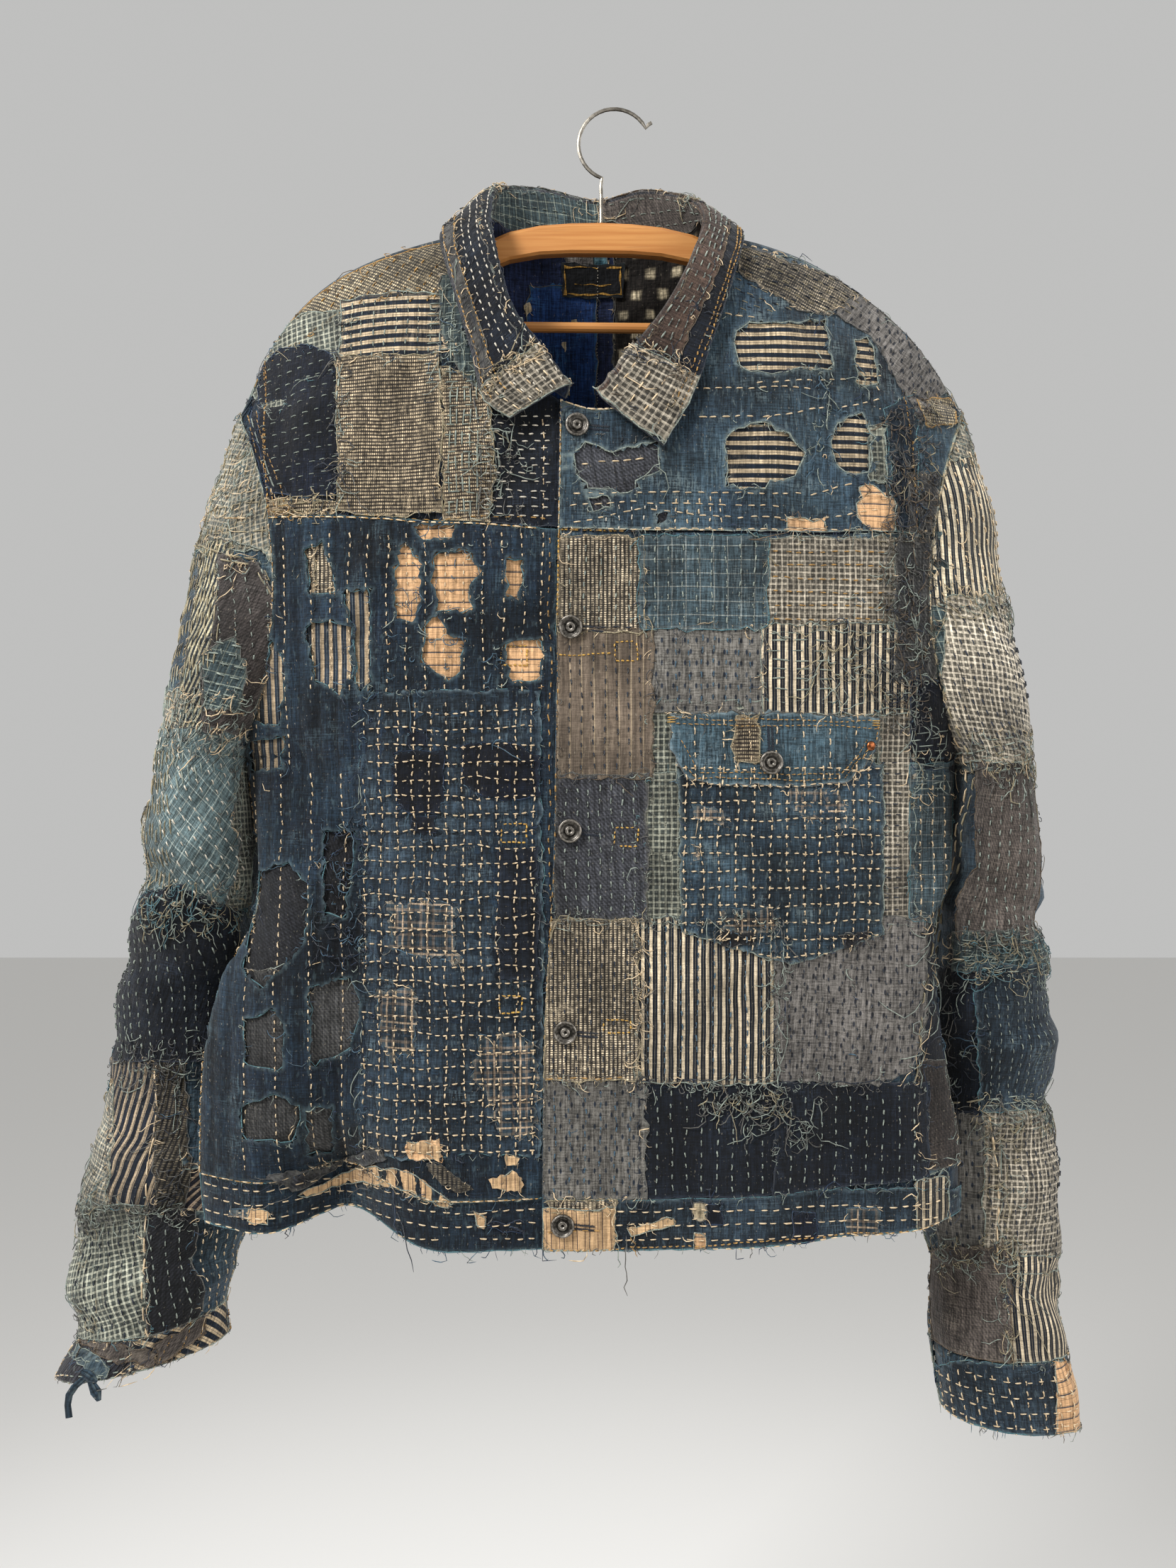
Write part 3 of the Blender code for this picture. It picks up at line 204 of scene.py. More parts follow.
FOLDS = {
    "front": table(
        "x0 z0 x1 z1 width rise",
        (-0.190, -0.900, -0.205, -0.800, 0.034, -0.046),
        (-0.250, -0.860, -0.235, -0.640, 0.030, 0.010),
        (-0.200, -0.740, -0.170, -0.560, 0.030, -0.007),
        (-0.120, -0.860, -0.105, -0.600, 0.035, 0.006),
        (0.215, -0.860, 0.200, -0.620, 0.026, 0.007),
        (0.160, -0.840, 0.150, -0.640, 0.026, -0.006),
        (0.235, -0.560, 0.180, -0.640, 0.020, -0.007),
        (-0.245, -0.470, -0.180, -0.560, 0.022, -0.007),
        (-0.215, -0.180, -0.150, -0.330, 0.026, -0.006),
        (0.195, -0.190, 0.140, -0.330, 0.026, -0.006),
    ),
    "back": table(
        "x0 z0 x1 z1 width rise",
        (-0.190, -0.860, -0.160, -0.560, 0.034, -0.012),
        (-0.080, -0.860, -0.075, -0.500, 0.036, 0.009),
        (0.060, -0.860, 0.050, -0.540, 0.034, -0.010),
        (0.170, -0.860, 0.150, -0.520, 0.034, 0.008),
        (-0.210, -0.380, -0.110, -0.560, 0.030, -0.008),
        (0.200, -0.380, 0.100, -0.540, 0.030, -0.008),
    ),
}
SLEEVE_FOLDS = {
    RIGHT: table(
        "z lean width rise",
        (-0.880, -0.20, 0.012, -0.005),
        (-0.815, 0.30, 0.016, 0.004),
        (-0.735, -0.30, 0.014, -0.006),
        (-0.655, 0.35, 0.018, 0.005),
        (-0.590, -0.40, 0.016, -0.006),
    ),
    LEFT: table(
        "z lean width rise",
        (-0.900, 0.20, 0.012, -0.005),
        (-0.830, -0.25, 0.016, 0.004),
        (-0.745, 0.30, 0.014, -0.006),
        (-0.670, -0.35, 0.018, 0.005),
        (-0.600, 0.30, 0.015, -0.006),
    ),
}
COLLAR = table(
    "k neck_x neck_y neck_z roll_x roll_y roll_z edge_x edge_y edge_z",
    (-1.00, -0.036, -0.0840, -0.2425, -0.036, -0.092, -0.236, -0.075, -0.0895, -0.2580),
    (-0.85, -0.062, -0.0790, -0.2220, -0.052, -0.090, -0.213, -0.094, -0.0875, -0.2430),
    (-0.65, -0.087, -0.0690, -0.1830, -0.076, -0.082, -0.177, -0.104, -0.0805, -0.2050),
    (-0.45, -0.098, -0.0560, -0.1430, -0.089, -0.062, -0.128, -0.117, -0.0680, -0.1600),
    (-0.30, -0.101, -0.0280, -0.1070, -0.096, -0.026, -0.085, -0.130, -0.0350, -0.1100),
    (-0.24, -0.094, 0.0000, -0.0880, -0.096, 0.000, -0.062, -0.131, -0.0050, -0.0955),
    (-0.18, -0.077, 0.0240, -0.0890, -0.083, 0.028, -0.046, -0.117, 0.0250, -0.0945),
    (-0.10, -0.049, 0.0413, -0.0940, -0.058, 0.049, -0.040, -0.083, 0.0580, -0.1110),
    (0.00, -0.010, 0.0468, -0.0910, -0.014, 0.056, -0.048, -0.010, 0.0720, -0.1180),
    (0.10, 0.029, 0.0413, -0.0940, 0.024, 0.051, -0.041, 0.054, 0.0600, -0.1110),
    (0.18, 0.057, 0.0240, -0.0900, 0.050, 0.032, -0.051, 0.084, 0.0300, -0.0990),
    (0.24, 0.074, 0.0000, -0.0895, 0.067, 0.002, -0.071, 0.096, -0.0040, -0.0950),
    (0.30, 0.0805, -0.0280, -0.1080, 0.068, -0.026, -0.091, 0.094, -0.0400, -0.1140),
    (0.45, 0.078, -0.0560, -0.1430, 0.058, -0.060, -0.128, 0.085, -0.0660, -0.1480),
    (0.65, 0.067, -0.0690, -0.1830, 0.036, -0.082, -0.176, 0.071, -0.0790, -0.1910),
    (0.85, 0.042, -0.0790, -0.2220, 0.010, -0.091, -0.212, 0.056, -0.0875, -0.2350),
    (1.00, 0.012, -0.0850, -0.2425, -0.013, -0.095, -0.242, 0.033, -0.0925, -0.2780),
)
ROLL_R = 0.0035
BUTTONS = table(
    "z x",
    (-0.8275, -0.038),
    (-0.6900, -0.036),
    (-0.5480, -0.033),
    (-0.4040, -0.032),
    (-0.2620, -0.028),
)


# ---- The garment's form, as in the CAD but smooth and with its small folds --------------


def name_of(side):
    return "right" if side == RIGHT else "left"


def unit(vectors, least=1e-9):
    """The vectors at length one."""
    return vectors / np.maximum(np.linalg.norm(vectors, axis=-1, keepdims=True), least)


def bow(share):
    """A half circle's height at a share of its reach from the middle."""
    return np.sqrt(np.clip(1 - share**2, 0, 1))


def armhole_height(z):
    return np.clip((z - ARMHOLE_MID) / ARMHOLE_HALF_HEIGHT, -1, 1)


def armhole_depth(z):
    return ARMHOLE_HALF_DEPTH * np.sqrt(1 - armhole_height(z) ** 2)


def half_width(side, z):
    up = armhole_height(z)
    armhole = ARMHOLE_D + ARMHOLE_LEAN * up - ARMHOLE_BOW * (1 - up**2)
    return np.where(z > ARMPIT, armhole, read(BODY, name_of(side), z))


def share_out(side, x, z):
    """How far out a place is: 0 in the middle, 1 at the side seam."""
    return side * (x - CENTRE_X) / half_width(side, z)


def place_out(side, u, z):
    return CENTRE_X + side * u * half_width(side, z)


def level(column, side, u):
    reach = YOKE_REACH if "yoke" in column else HEM_REACH
    return read(LEVELS, column, side * u * reach)


def ridge(side, u):
    return read(RIDGE, name_of(side), np.abs(u) * SHOULDER_D)


def ridges(rows, a, b):
    """The sum of soft ridges along lines in a surface's own coordinates."""
    total = np.zeros(np.broadcast(a, b).shape)
    for a0, b0, a1, b1, width, rise in zip(*rows.values()):
        along = ((a - a0) * (a1 - a0) + (b - b0) * (b1 - b0)) / ((a1 - a0) ** 2 + (b1 - b0) ** 2)
        along = np.clip(along, 0, 1)
        away = (a - a0 - along * (a1 - a0)) ** 2 + (b - b0 - along * (b1 - b0)) ** 2
        total += rise * np.exp(-away / width**2)
    return total


def small_folds(count, a_range, b_range, lean, rise):
    """Seeded small wrinkles that mostly run one way, lean in degrees."""
    a, b = rng.uniform(*a_range, count), rng.uniform(*b_range, count)
    length = rng.uniform(0.03, 0.11, count)
    turn = radians(lean) + rng.normal(0, 0.45, count)
    rises = rise * rng.uniform(0.5, 1.6, count) * rng.choice([-1, 1], count)
    widths = rng.uniform(0.009, 0.017, count)
    rows = a, b, a + length * np.cos(turn), b + length * np.sin(turn), widths, rises
    return dict(zip(("a0", "b0", "a1", "b1", "width", "rise"), rows))


SMALL = {
    "front": small_folds(120, (-0.27, 0.25), (-0.84, -0.12), 80, 0.0018),
    "back": small_folds(120, (-0.27, 0.25), (-0.84, -0.12), 75, 0.0018),
    RIGHT: small_folds(90, (-0.18, 0.12), (-0.95, -0.28), 10, 0.0024),
    LEFT: small_folds(90, (-0.18, 0.12), (-0.98, -0.28), -10, 0.0024),
}


def form_point(face, side, u, z, over=None):
    """A point of the body's form: the CAD's own rule, with the small folds added."""
    u, z = np.broadcast_arrays(np.asarray(u, float), np.asarray(z, float))
    seam = level(face + "_yoke", side, u)
    top = ridge(side, u)
    squash = 1.0 if face == "front" else 2 / 3
    if over is None:
        rise = np.clip((z - seam) / (top - seam), 0, 1)
        over = np.arccos(rise ** (1 / squash)) / (pi / 2)
    else:
        z = seam + (top - seam) * np.cos(over * pi / 2) ** squash
    low = np.minimum(z, seam)
    armhole_share = armhole_depth(low) / ARMHOLE_HALF_DEPTH
    outward = -1 if face == "front" else 1
    edge_y = np.where(low > ARMPIT, outward * armhole_depth(low), read(BODY, "side_y", low))
    middle_y = read(BODY, face + "_y", low)
    power = 2.8 if face == "front" else 2.0 + 0.6 * armhole_share
    bulge = np.clip(1 - np.abs(u) ** power, 0, 1) ** (1 / (2 - 0.8 * armhole_share))
    section_y = edge_y + (middle_y - edge_y) * bulge
    dome = np.sin(over * pi / 2)
    at_seam = np.maximum(armhole_depth(seam), 1e-6)
    armhole = np.where(z > seam, armhole_depth(z) / at_seam, 1)
    share = np.abs(u) ** 6
    y = section_y * np.where(z > seam, dome * (1 - share) + armhole * share, 1)
    x = place_out(side, u, z)
    calm = np.clip((1 - np.abs(u)) / 0.12, 0, 1) * np.clip(over / 0.5, 0, 1)
    folds = ridges(FOLDS[face], x, z) + ridges(SMALL[face], x, z)
    return np.stack([x, y + outward * calm * folds, z], axis=-1)


def sleeve_numbers(side, z):
    rows = SLEEVES[side]
    outer, depth, mid_y, slope = (read(rows, c, z) for c in ("outer", "half_depth", "mid_y", "slope"))
    above, upper = z > ARMPIT, z > ARMHOLE_MID
    inner = np.where(above, half_width(side, z), read(rows, "inner", z))
    depth = np.where(upper, np.maximum(armhole_depth(z), 1e-5), depth)
    start = np.where(upper, pi / 2, np.arcsin(np.clip(armhole_depth(z) / depth, 0, 1)))
    start = np.where(above, start, 0.0)
    half_w = (outer - inner) / (1 + np.cos(start))
    return half_w, outer - half_w, depth, mid_y, slope, start


def sleeve_point(side, share, z):
    """A point of a sleeve's ring: share 0 and 1 meet under the arm, 0.5 is the outer edge."""
    half_w, centre, depth, mid_y, slope, start = sleeve_numbers(side, z)
    half = np.abs(2 * share - 1)
    turn = start + (pi - start) * (1 - half)
    rows = SLEEVE_FOLDS[side]
    puff = ridges(SMALL[side], (share - 0.5) * ring_length(side, z), z)
    puff = puff * np.clip((1 - half) * 12, 0, 1)
    for height, lean, width, rise in zip(*rows.values()):
        away = z - height - lean * 0.06 * np.cos(turn)
        puff = puff + rise * np.exp(-((away / width) ** 2)) * (0.65 + 0.35 * np.sin(turn))
    high = np.clip((z - ARMPIT + 0.04) / 0.04, 0, 1)
    puff = puff * (1 - high * (1 - 0.5 * np.clip((1 - half) * 4, 0, 1)))
    d = centre - (half_w + puff) * np.cos(turn)
    y = mid_y + np.where(share <= 0.5, -1, 1) * (depth + puff) * np.sin(turn)
    return np.stack([CENTRE_X + side * d, y, z + slope * (d - centre)], axis=-1)


def ring_length(side, z):
    return np.interp(z, *RINGS[side])


def measure_rings(side):
    heights = np.linspace(-1.01, SHOULDER_POINT - 0.004, 80)
    half_w, _, depth, _, _, start = sleeve_numbers(side, heights)
    turns = np.linspace(0, 1, 60)[:, None] * (pi - start) + start
    steps = np.hypot(np.diff(half_w * np.cos(turns), axis=0), np.diff(depth * np.sin(turns), axis=0))
    return heights, 2 * steps.sum(0)


RINGS = {side: measure_rings(side) for side in (RIGHT, LEFT)}
BODY_PANELS = ("front_right", "front_left", "back_panel")


def unit_grid(width, height, pitch):
    """Shares of a width and a height, on a grid of about this pitch."""
    counts = int(width / pitch) + 1, int(height / pitch) + 1
    return np.meshgrid(*(np.linspace(0, 1, count) for count in counts))


class Face:
    """A cloth surface with flat coordinates in metres, which patches and stitches lie on."""

    outward = 1

    def __init__(self, name, side=0):
        self.name, self.side = name, side
        self.stack = []  # what lies on it: lift, outline, holes and quilting of each layer

    def normal(self, a, b):
        e = 0.0006
        along = self.at(a + e, b) - self.at(a - e, b)
        up = self.at(a, b + e) - self.at(a, b - e)
        return unit(np.cross(along, up) * self.outward, 1e-12)

    def clip(self, a, b, slack=0.0):
        """Places brought inside the face's borders."""
        return a, b

    def under(self, places):
        """The flat coordinates of places that are seen at x and z on the front plane."""
        x, z = places.T
        y = np.full(len(places), FRONT_Y)
        for _ in range(8):
            reach = (y - EYE[1]) / (FRONT_Y - EYE[1])
            a, b = self.flat(EYE[0] + (x - EYE[0]) * reach, EYE[2] + (z - EYE[2]) * reach)
            y = self.at(a, b)[..., 1]
        return np.column_stack([a, b])

    def flat(self, x, z):
        return x, z

    def quilting_at(self, a, b):
        """The quilting of the topmost quilted layer at a place."""
        found = (0.0, 0.0, 0.0)
        for _, outline, _, quilting in self.stack:
            if quilting[0] and within(np.array([a]), np.array([b]), outline)[0]:
                found = quilting
        return found

    def lift_at(self, a, b):
        """How far the topmost layer stands off the surface at places."""
        top = np.zeros(np.shape(a))
        for lift, outline, holes, quilting in self.stack:
            inside = within_cloth(a, b, outline, holes)
            top = np.where(inside, np.maximum(top, lift + quilted(a, b, *quilting)), top)
        return top


class Front(Face):
    """A front, with its yoke, by x and z."""

    def at(self, x, z):
        p = form_point("front", self.side, share_out(self.side, x, z), z)
        if self.side == RIGHT:  # it sinks under the left front's lap
            lap = np.clip((p[..., 0] + 0.085) / 0.030, 0, 1)
            p[..., 1] += LAP_SINK * lap * lap * (3 - 2 * lap)
        return p

    def flat(self, x, z):
        u = np.clip(share_out(self.side, x, z), -0.3, 0.999)
        return place_out(self.side, u, z), z

    def edge(self, z):
        """How far out from the middle the front's own edge is. The left one is past it."""
        return -self.side * read(LAPS, name_of(self.side), z)

    def clip(self, x, z, slack=0.0):
        inner = (self.edge(z) + 0.0008) / half_width(self.side, z)
        u = np.clip(share_out(self.side, x, z), inner, SIDE_SHARE)
        low, high = self.limits(u)
        return place_out(self.side, u, z), np.clip(z, low - slack, high + slack)

    def cover(self, pitch):
        share, rise = unit_grid(0.27, 0.5 if self.name in BODY_PANELS else 0.23, pitch)
        z = np.full(share.shape, -0.5)
        for _ in range(8):
            inner = self.edge(z) / half_width(self.side, z)
            u = inner + (1 - inner) * share
            low, high = self.limits(u)
            z = low + (high - low) * rise
        return place_out(self.side, u, z), z

    def limits(self, u):
        seam = level("front_yoke", self.side, u)
        hem = level("front_hem", self.side, u)
        if "yoke" in self.name:
            return seam + SEAM_MARGIN, neck_z(self.side, u) - SEAM_MARGIN
        if "band" in self.name:
            return hem + HEM_MARGIN, hem + BAND_HEIGHT - SEAM_MARGIN
        return hem + BAND_HEIGHT, seam - SEAM_MARGIN


class Back(Face):
    """The back, by x and z below its yoke seam."""

    outward = -1

    def at(self, x, z):
        right, left = (form_point("back", side, share_out(side, x, z), z) for side in (RIGHT, LEFT))
        return np.where((x < CENTRE_X)[..., None], right, left)

    def reach(self, side, z):
        return np.where(side == RIGHT, half_width(RIGHT, z), half_width(LEFT, z))

    def seams(self, side, u):
        """The heights of the panel's lower and upper seams."""
        hem = level("back_hem", side, u)
        if "band" in self.name:
            return hem, hem + BAND_HEIGHT
        return hem + BAND_HEIGHT, level("back_yoke", side, u)

    def clip(self, x, z, slack=0.0):
        for side in (RIGHT, LEFT):
            x = np.where(share_out(side, x, z) > SIDE_SHARE, place_out(side, SIDE_SHARE, z), x)
        side = np.where(x < CENTRE_X, RIGHT, LEFT)
        low, high = self.seams(side, side * (x - CENTRE_X) / self.reach(side, z))
        if "band" in self.name:
            low = low + HEM_MARGIN
        return x, np.clip(z, low - slack, high - SEAM_MARGIN + slack)

    def cover(self, pitch):
        share, rise = unit_grid(0.56, 0.5 if self.name in BODY_PANELS else 0.04, pitch)
        share = share * 2 - 1
        side, u = np.where(share < 0, RIGHT, LEFT), np.abs(share)
        low, high = self.seams(side, u)
        z = low + (high - low) * rise
        return CENTRE_X + side * u * self.reach(side, z), z


class BackYoke(Face):
    """The back yoke by signed distance from the middle and by length from the ridge, + forwards."""

    outward = -1

    def at(self, d, run):
        over = -run / YOKE_DROP
        points = []
        for side in (RIGHT, LEFT):
            u = np.clip(side * d / SHOULDER_D, -0.2, 1)
            back = form_point("back", side, u, 0.0, over=np.clip(over, 0, 1))
            front = form_point("front", side, u, 0.0, over=np.clip(-over, 0, 1))
            points.append(np.where((over < 0)[..., None], front, back))
        return np.where((d < 0)[..., None], points[0], points[1])

    def front_edge(self, d):
        """Where the yoke ends in front, along the shoulder seam and round the neck."""
        return YOKE_DROP * (SHOULDER_SEAM - (BACK_NECK + SHOULDER_SEAM) * bow(d / NECK_D))

    def clip(self, d, run, slack=0.0):
        d = np.clip(d, -SHOULDER_D * SIDE_SHARE, SHOULDER_D * SIDE_SHARE)
        return d, np.clip(run, -YOKE_DROP + SEAM_MARGIN, self.front_edge(d) - SEAM_MARGIN)

    def cover(self, pitch):
        share, rise = unit_grid(0.56, 0.29, pitch)
        d = (share * 2 - 1) * SHOULDER_D
        first = self.front_edge(d)
        return d, first + (-YOKE_DROP - first) * rise


class Sleeve(Face):
    """A sleeve by signed distance from its outer edge, - on its front, and by height."""

    def __init__(self, name, side):
        super().__init__(name, side)
        self.outward = side

    def at(self, a, z):
        share = np.clip(0.5 + a / ring_length(self.side, z), 0, 1)
        return sleeve_point(self.side, share, z)

    def flat(self, x, z):
        d = self.side * (x - CENTRE_X)
        height = z
        for _ in range(4):
            half_w, centre, _, _, slope, start = sleeve_numbers(self.side, height)
            height = z - slope * (np.clip(d, centre - half_w, centre + half_w) - centre)
        turn = np.arccos(np.clip((centre - d) / half_w, -1, 1))
        share = 0.5 * np.clip((turn - start) / (pi - start), 0, 1)
        return (share - 0.5) * ring_length(self.side, height), height

    def ends(self):
        if "cuff" in self.name:
            return CUFF_END[self.side], CUFF_TOP[self.side]
        return CUFF_TOP[self.side], SHOULDER_POINT - 0.0008

    def cover(self, pitch):
        low, top = self.ends()
        share, rise = unit_grid(0.26, top - low, pitch)
        z = low + (top - low) * rise
        return (share - 0.5) * 0.999 * ring_length(self.side, z), z

    def clip(self, a, z, slack=0.0):
        low, top = self.ends()
        highest = np.minimum(top - SEAM_MARGIN + slack, SHOULDER_POINT - 0.0008)
        z = np.clip(z, low + SEAM_MARGIN - slack, highest)
        half = ring_length(self.side, z) / 2 - SEAM_MARGIN
        return np.clip(a, -half, half), z


def collar_line(line, k):
    return np.stack([read(COLLAR, f"{line}_{axis}", k) for axis in "xyz"], axis=-1)


def measure_roll():
    k = np.linspace(-1, 1, 201)
    steps = np.linalg.norm(np.diff(collar_line("roll", k), axis=0), axis=1)
    along = np.concatenate([[0], np.cumsum(steps)])
    return along - along[100], k


ROLL_PLACES = measure_roll()
COLLAR_STAND, COLLAR_FALL = 0.045, 0.045  # flat widths each side of the roll
ROLL_ARC = ROLL_R * pi / 2


class Collar(Face):
    """The collar, by length along its roll and across it: - towards the neck, + towards the edge."""

    def at(self, a, b):
        k = np.interp(a, *ROLL_PLACES)
        neck, roll, edge = (collar_line(line, k) for line in ("neck", "roll", "edge"))
        out = unit(edge - neck)
        width = np.where(b < 0, COLLAR_STAND, COLLAR_FALL)
        turn = np.clip(np.abs(b) / ROLL_ARC, 0, 1) * pi / 2
        past = np.clip(np.abs(b) - ROLL_ARC, 0, None) * (width - ROLL_R) / (width - ROLL_ARC)
        share = ((ROLL_R * (1 - np.cos(turn)) + past) / width)[..., None]
        end = np.where((b < 0)[..., None], neck, edge)
        away = (np.sign(b) * ROLL_R * np.sin(turn))[..., None] * (1 - share**1.5)
        wave = 0.0012 * np.sin(a * 60 + 1.0)[..., None] * share * (1 - share) * 4
        return roll + (end - roll) * share + out * (away + wave)

    def clip(self, a, b, slack=0.0):
        low, high = ROLL_PLACES[0][0], ROLL_PLACES[0][-1]
        return np.clip(a, low, high), np.clip(b, -COLLAR_STAND, COLLAR_FALL)

    def cover(self, pitch):
        low, high = ROLL_PLACES[0][0], ROLL_PLACES[0][-1]
        across = np.concatenate([np.linspace(-COLLAR_STAND, -ROLL_ARC, 9),
                                 np.linspace(-ROLL_ARC, ROLL_ARC, 9)[1:-1],
                                 np.linspace(ROLL_ARC, COLLAR_FALL, 9)])
        return np.meshgrid(np.linspace(low, high, int((high - low) / pitch) + 1), across)


def neck_z(side, u):
    seam = form_point("front", side, u, 0.0, over=np.full(np.shape(u), SHOULDER_SEAM))[..., 2]
    corner = form_point("front", side, NECK_U, 0.0, over=SHOULDER_SEAM)[..., 2]
    neck = corner - (corner - NECK_FRONT_Z) * bow(u / NECK_U)
    return np.where(np.abs(u) < NECK_U - 1e-9, neck, seam)


# ---- Meshes ------------------------------------------------------------------------------

LEAST_PATCH = 0.002  # what is narrower isn't laid
QUILT_PITCH = 0.0036  # the mesh's pitch on cloth that swells between its stitches
HOLE_ROUGH, HOLE_LIP, HOLE_RISE = 0.0009, 0.0009, 0.0007
UNEVEN = 0.00025
RIM_RADIUS = 0.00042
SHORT_ENDS, LONG_ENDS = 0.64, 0.16  # shares of a cut edge's loose ends


def within(a, b, outline):
    """True where a place lies inside a closed outline."""
    inside = np.zeros(np.shape(a), bool)
    low, high = outline.min(0), outline.max(0)
    near = (a >= low[0]) & (a <= high[0]) & (b >= low[1]) & (b <= high[1])
    if not near.any():
        return inside
    pa, pb = np.asarray(a)[near], np.asarray(b)[near]
    hit = np.zeros(pa.shape, bool)
    for (x0, y0), (x1, y1) in zip(outline, np.roll(outline, -1, axis=0)):
        if y0 != y1:
            crosses = ((y0 > pb) != (y1 > pb)) & (pa < (x1 - x0) * (pb - y0) / (y1 - y0) + x0)
            hit ^= crosses
    inside[near] = hit
    return inside


def within_cloth(a, b, outline, holes):
    """True where a place lies inside an outline but in none of its holes."""
    inside = within(a, b, outline)
    for hole in holes:
        inside &= ~within(a, b, hole)
    return inside


def border_distance(points, loops, batch=4000):
    """From each point to the nearest segment of the closed loops."""
    best = np.full(len(points), 1.0)
    for loop in loops:
        start, end = loop, np.roll(loop, -1, axis=0)
        step = end - start
        size = np.maximum((step**2).sum(1), 1e-14)
        for i in range(0, len(points), batch):
            part = points[i : i + batch]
            t = ((part[:, None] - start) * step).sum(2) / size
            away = part[:, None] - start - np.clip(t, 0, 1)[..., None] * step
            nearest = np.hypot(*away.transpose(2, 0, 1)).min(1)
            best[i : i + batch] = np.minimum(best[i : i + batch], nearest)
    return best


class Heap:
    """Gathers faces for one object."""

    def __init__(self):
        self.points, self.faces, self.uv = [], [], []
        self.edge = []  # each point's distance from a cut edge
        self.swell = []  # and how high it stands, from 0 to 1: between rows of stitches, where it sets painted shade and light on quilted cloth, or up a turned part
        self.kind = []  # each face's material, by its place in materials
        self.count = 0
        self.materials = []

    def slot(self, material):
        if material not in self.materials:
            self.materials.append(material)
        return self.materials.index(material)

    def add(self, points, faces, material, uv=None, edge=None, swell=None):
        self.join(np.asarray(faces) + self.count, material)
        self.points.append(points)
        self.uv.append(points[:, [0, 2]] if uv is None else uv)
        self.edge.append(np.full(len(points), 0.02) if edge is None else edge)
        self.swell.append(np.full(len(points), 0.6) if swell is None else swell)
        self.count += len(points)

    def join(self, faces, material):
        """More faces between points that are there already."""
        self.faces.append(np.asarray(faces))
        self.kind.append(np.full(len(faces), self.slot(material)))

    def build(self, name):
        points = np.concatenate(self.points)
        corners = np.concatenate([f.reshape(-1) for f in self.faces])
        sizes = np.concatenate([np.full(len(f), f.shape[1]) for f in self.faces])
        starts = np.concatenate([[0], np.cumsum(sizes)[:-1]])
        mesh = bpy.data.meshes.new(name)
        mesh.vertices.add(len(points))
        mesh.vertices.foreach_set("co", points.astype(np.float32).reshape(-1))
        mesh.loops.add(len(corners))
        mesh.loops.foreach_set("vertex_index", corners.astype(np.int32))
        mesh.polygons.add(len(sizes))
        mesh.polygons.foreach_set("loop_start", starts.astype(np.int32))
        mesh.polygons.foreach_set("material_index", np.concatenate(self.kind).astype(np.int32))
        mesh.polygons.foreach_set("use_smooth", np.full(len(sizes), True))
        mesh.update(calc_edges=True)
        uv = mesh.uv_layers.new(name="Cloth")
        places = np.concatenate(self.uv)[corners]
        uv.data.foreach_set("uv", places.astype(np.float32).reshape(-1))
        for label, values in (("edge", self.edge), ("swell", self.swell)):
            layer = mesh.attributes.new(label, "FLOAT", "POINT")
            layer.data.foreach_set("value", np.concatenate(values).astype(np.float32))
        mesh.validate()
        made = bpy.data.objects.new(name, mesh)
        bpy.context.scene.collection.objects.link(made)
        for material in self.materials:
            mesh.materials.append(FABRICS[material])
        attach(made, "root")
        return made


def grid_faces(rows, columns, start=0):
    at = np.arange(rows * columns).reshape(rows, columns) + start
    quads = np.stack([at[:-1, :-1], at[:-1, 1:], at[1:, 1:], at[1:, :-1]], axis=-1)
    return quads.reshape(-1, 4)


def oriented(points, faces, outside):
    """The same faces, turned so that they look along outside, given for each point."""
    p = points[faces]
    normal = np.cross(p[:, 1] - p[:, 0], p[:, 2] - p[:, 0])
    facing = (normal * outside[faces[:, 0]]).sum()
    return faces if facing > 0 else faces[:, ::-1]


def base_sheet(face, material, pitch=0.008):
    """A closed wall of cloth over the whole of a face. Returns its object."""
    a, b = face.cover(pitch)
    rows, columns = a.shape
    flat = a.reshape(-1), b.reshape(-1)
    outer, normals = face.at(*flat), face.normal(*flat)
    inner = outer - normals * CLOTH
    faces = oriented(outer, grid_faces(rows, columns), normals)
    count = rows * columns
    uv = np.column_stack(flat)
    heap = Heap()
    heap.add(np.concatenate([outer, inner]), faces, material, uv=np.concatenate([uv, uv]))
    heap.join(faces[:, ::-1] + count, "inner_cloth")
    at = np.arange(count).reshape(rows, columns)
    border = np.concatenate([at[0, :], at[1:, -1], at[-1, -2::-1], at[-2:0:-1, 0]])
    after = np.roll(border, -1)
    rim = np.stack([border, after, after + count, border + count], axis=-1)
    middle = outer.mean(0)
    p = np.concatenate([outer, inner])[rim]
    out = (np.cross(p[:, 1] - p[:, 0], p[:, 3] - p[:, 0]) * (p[:, 0] - middle)).sum()
    heap.join(rim if out > 0 else rim[:, ::-1], material)
    return heap.build(face.name + "_cloth")


def outline_of(text):
    """Four numbers are a rectangle: left, right, top, bottom. More are x,z pairs."""
    n = np.array(text.replace(",", " ").split(), float) * MM
    if len(n) == 4:
        left, right, top, bottom = n
        return np.array([(left, top), (right, top), (right, bottom), (left, bottom)])
    return n.reshape(-1, 2)


def dense(outline, step=0.01):
    """The closed outline in short steps."""
    out = []
    for start, end in zip(outline, np.roll(outline, -1, axis=0)):
        count = max(1, int(np.ceil(np.hypot(*(end - start)) / step)))
        out.append(start + (end - start) * np.linspace(0, 1, count, endpoint=False)[:, None])
    return np.concatenate(out)


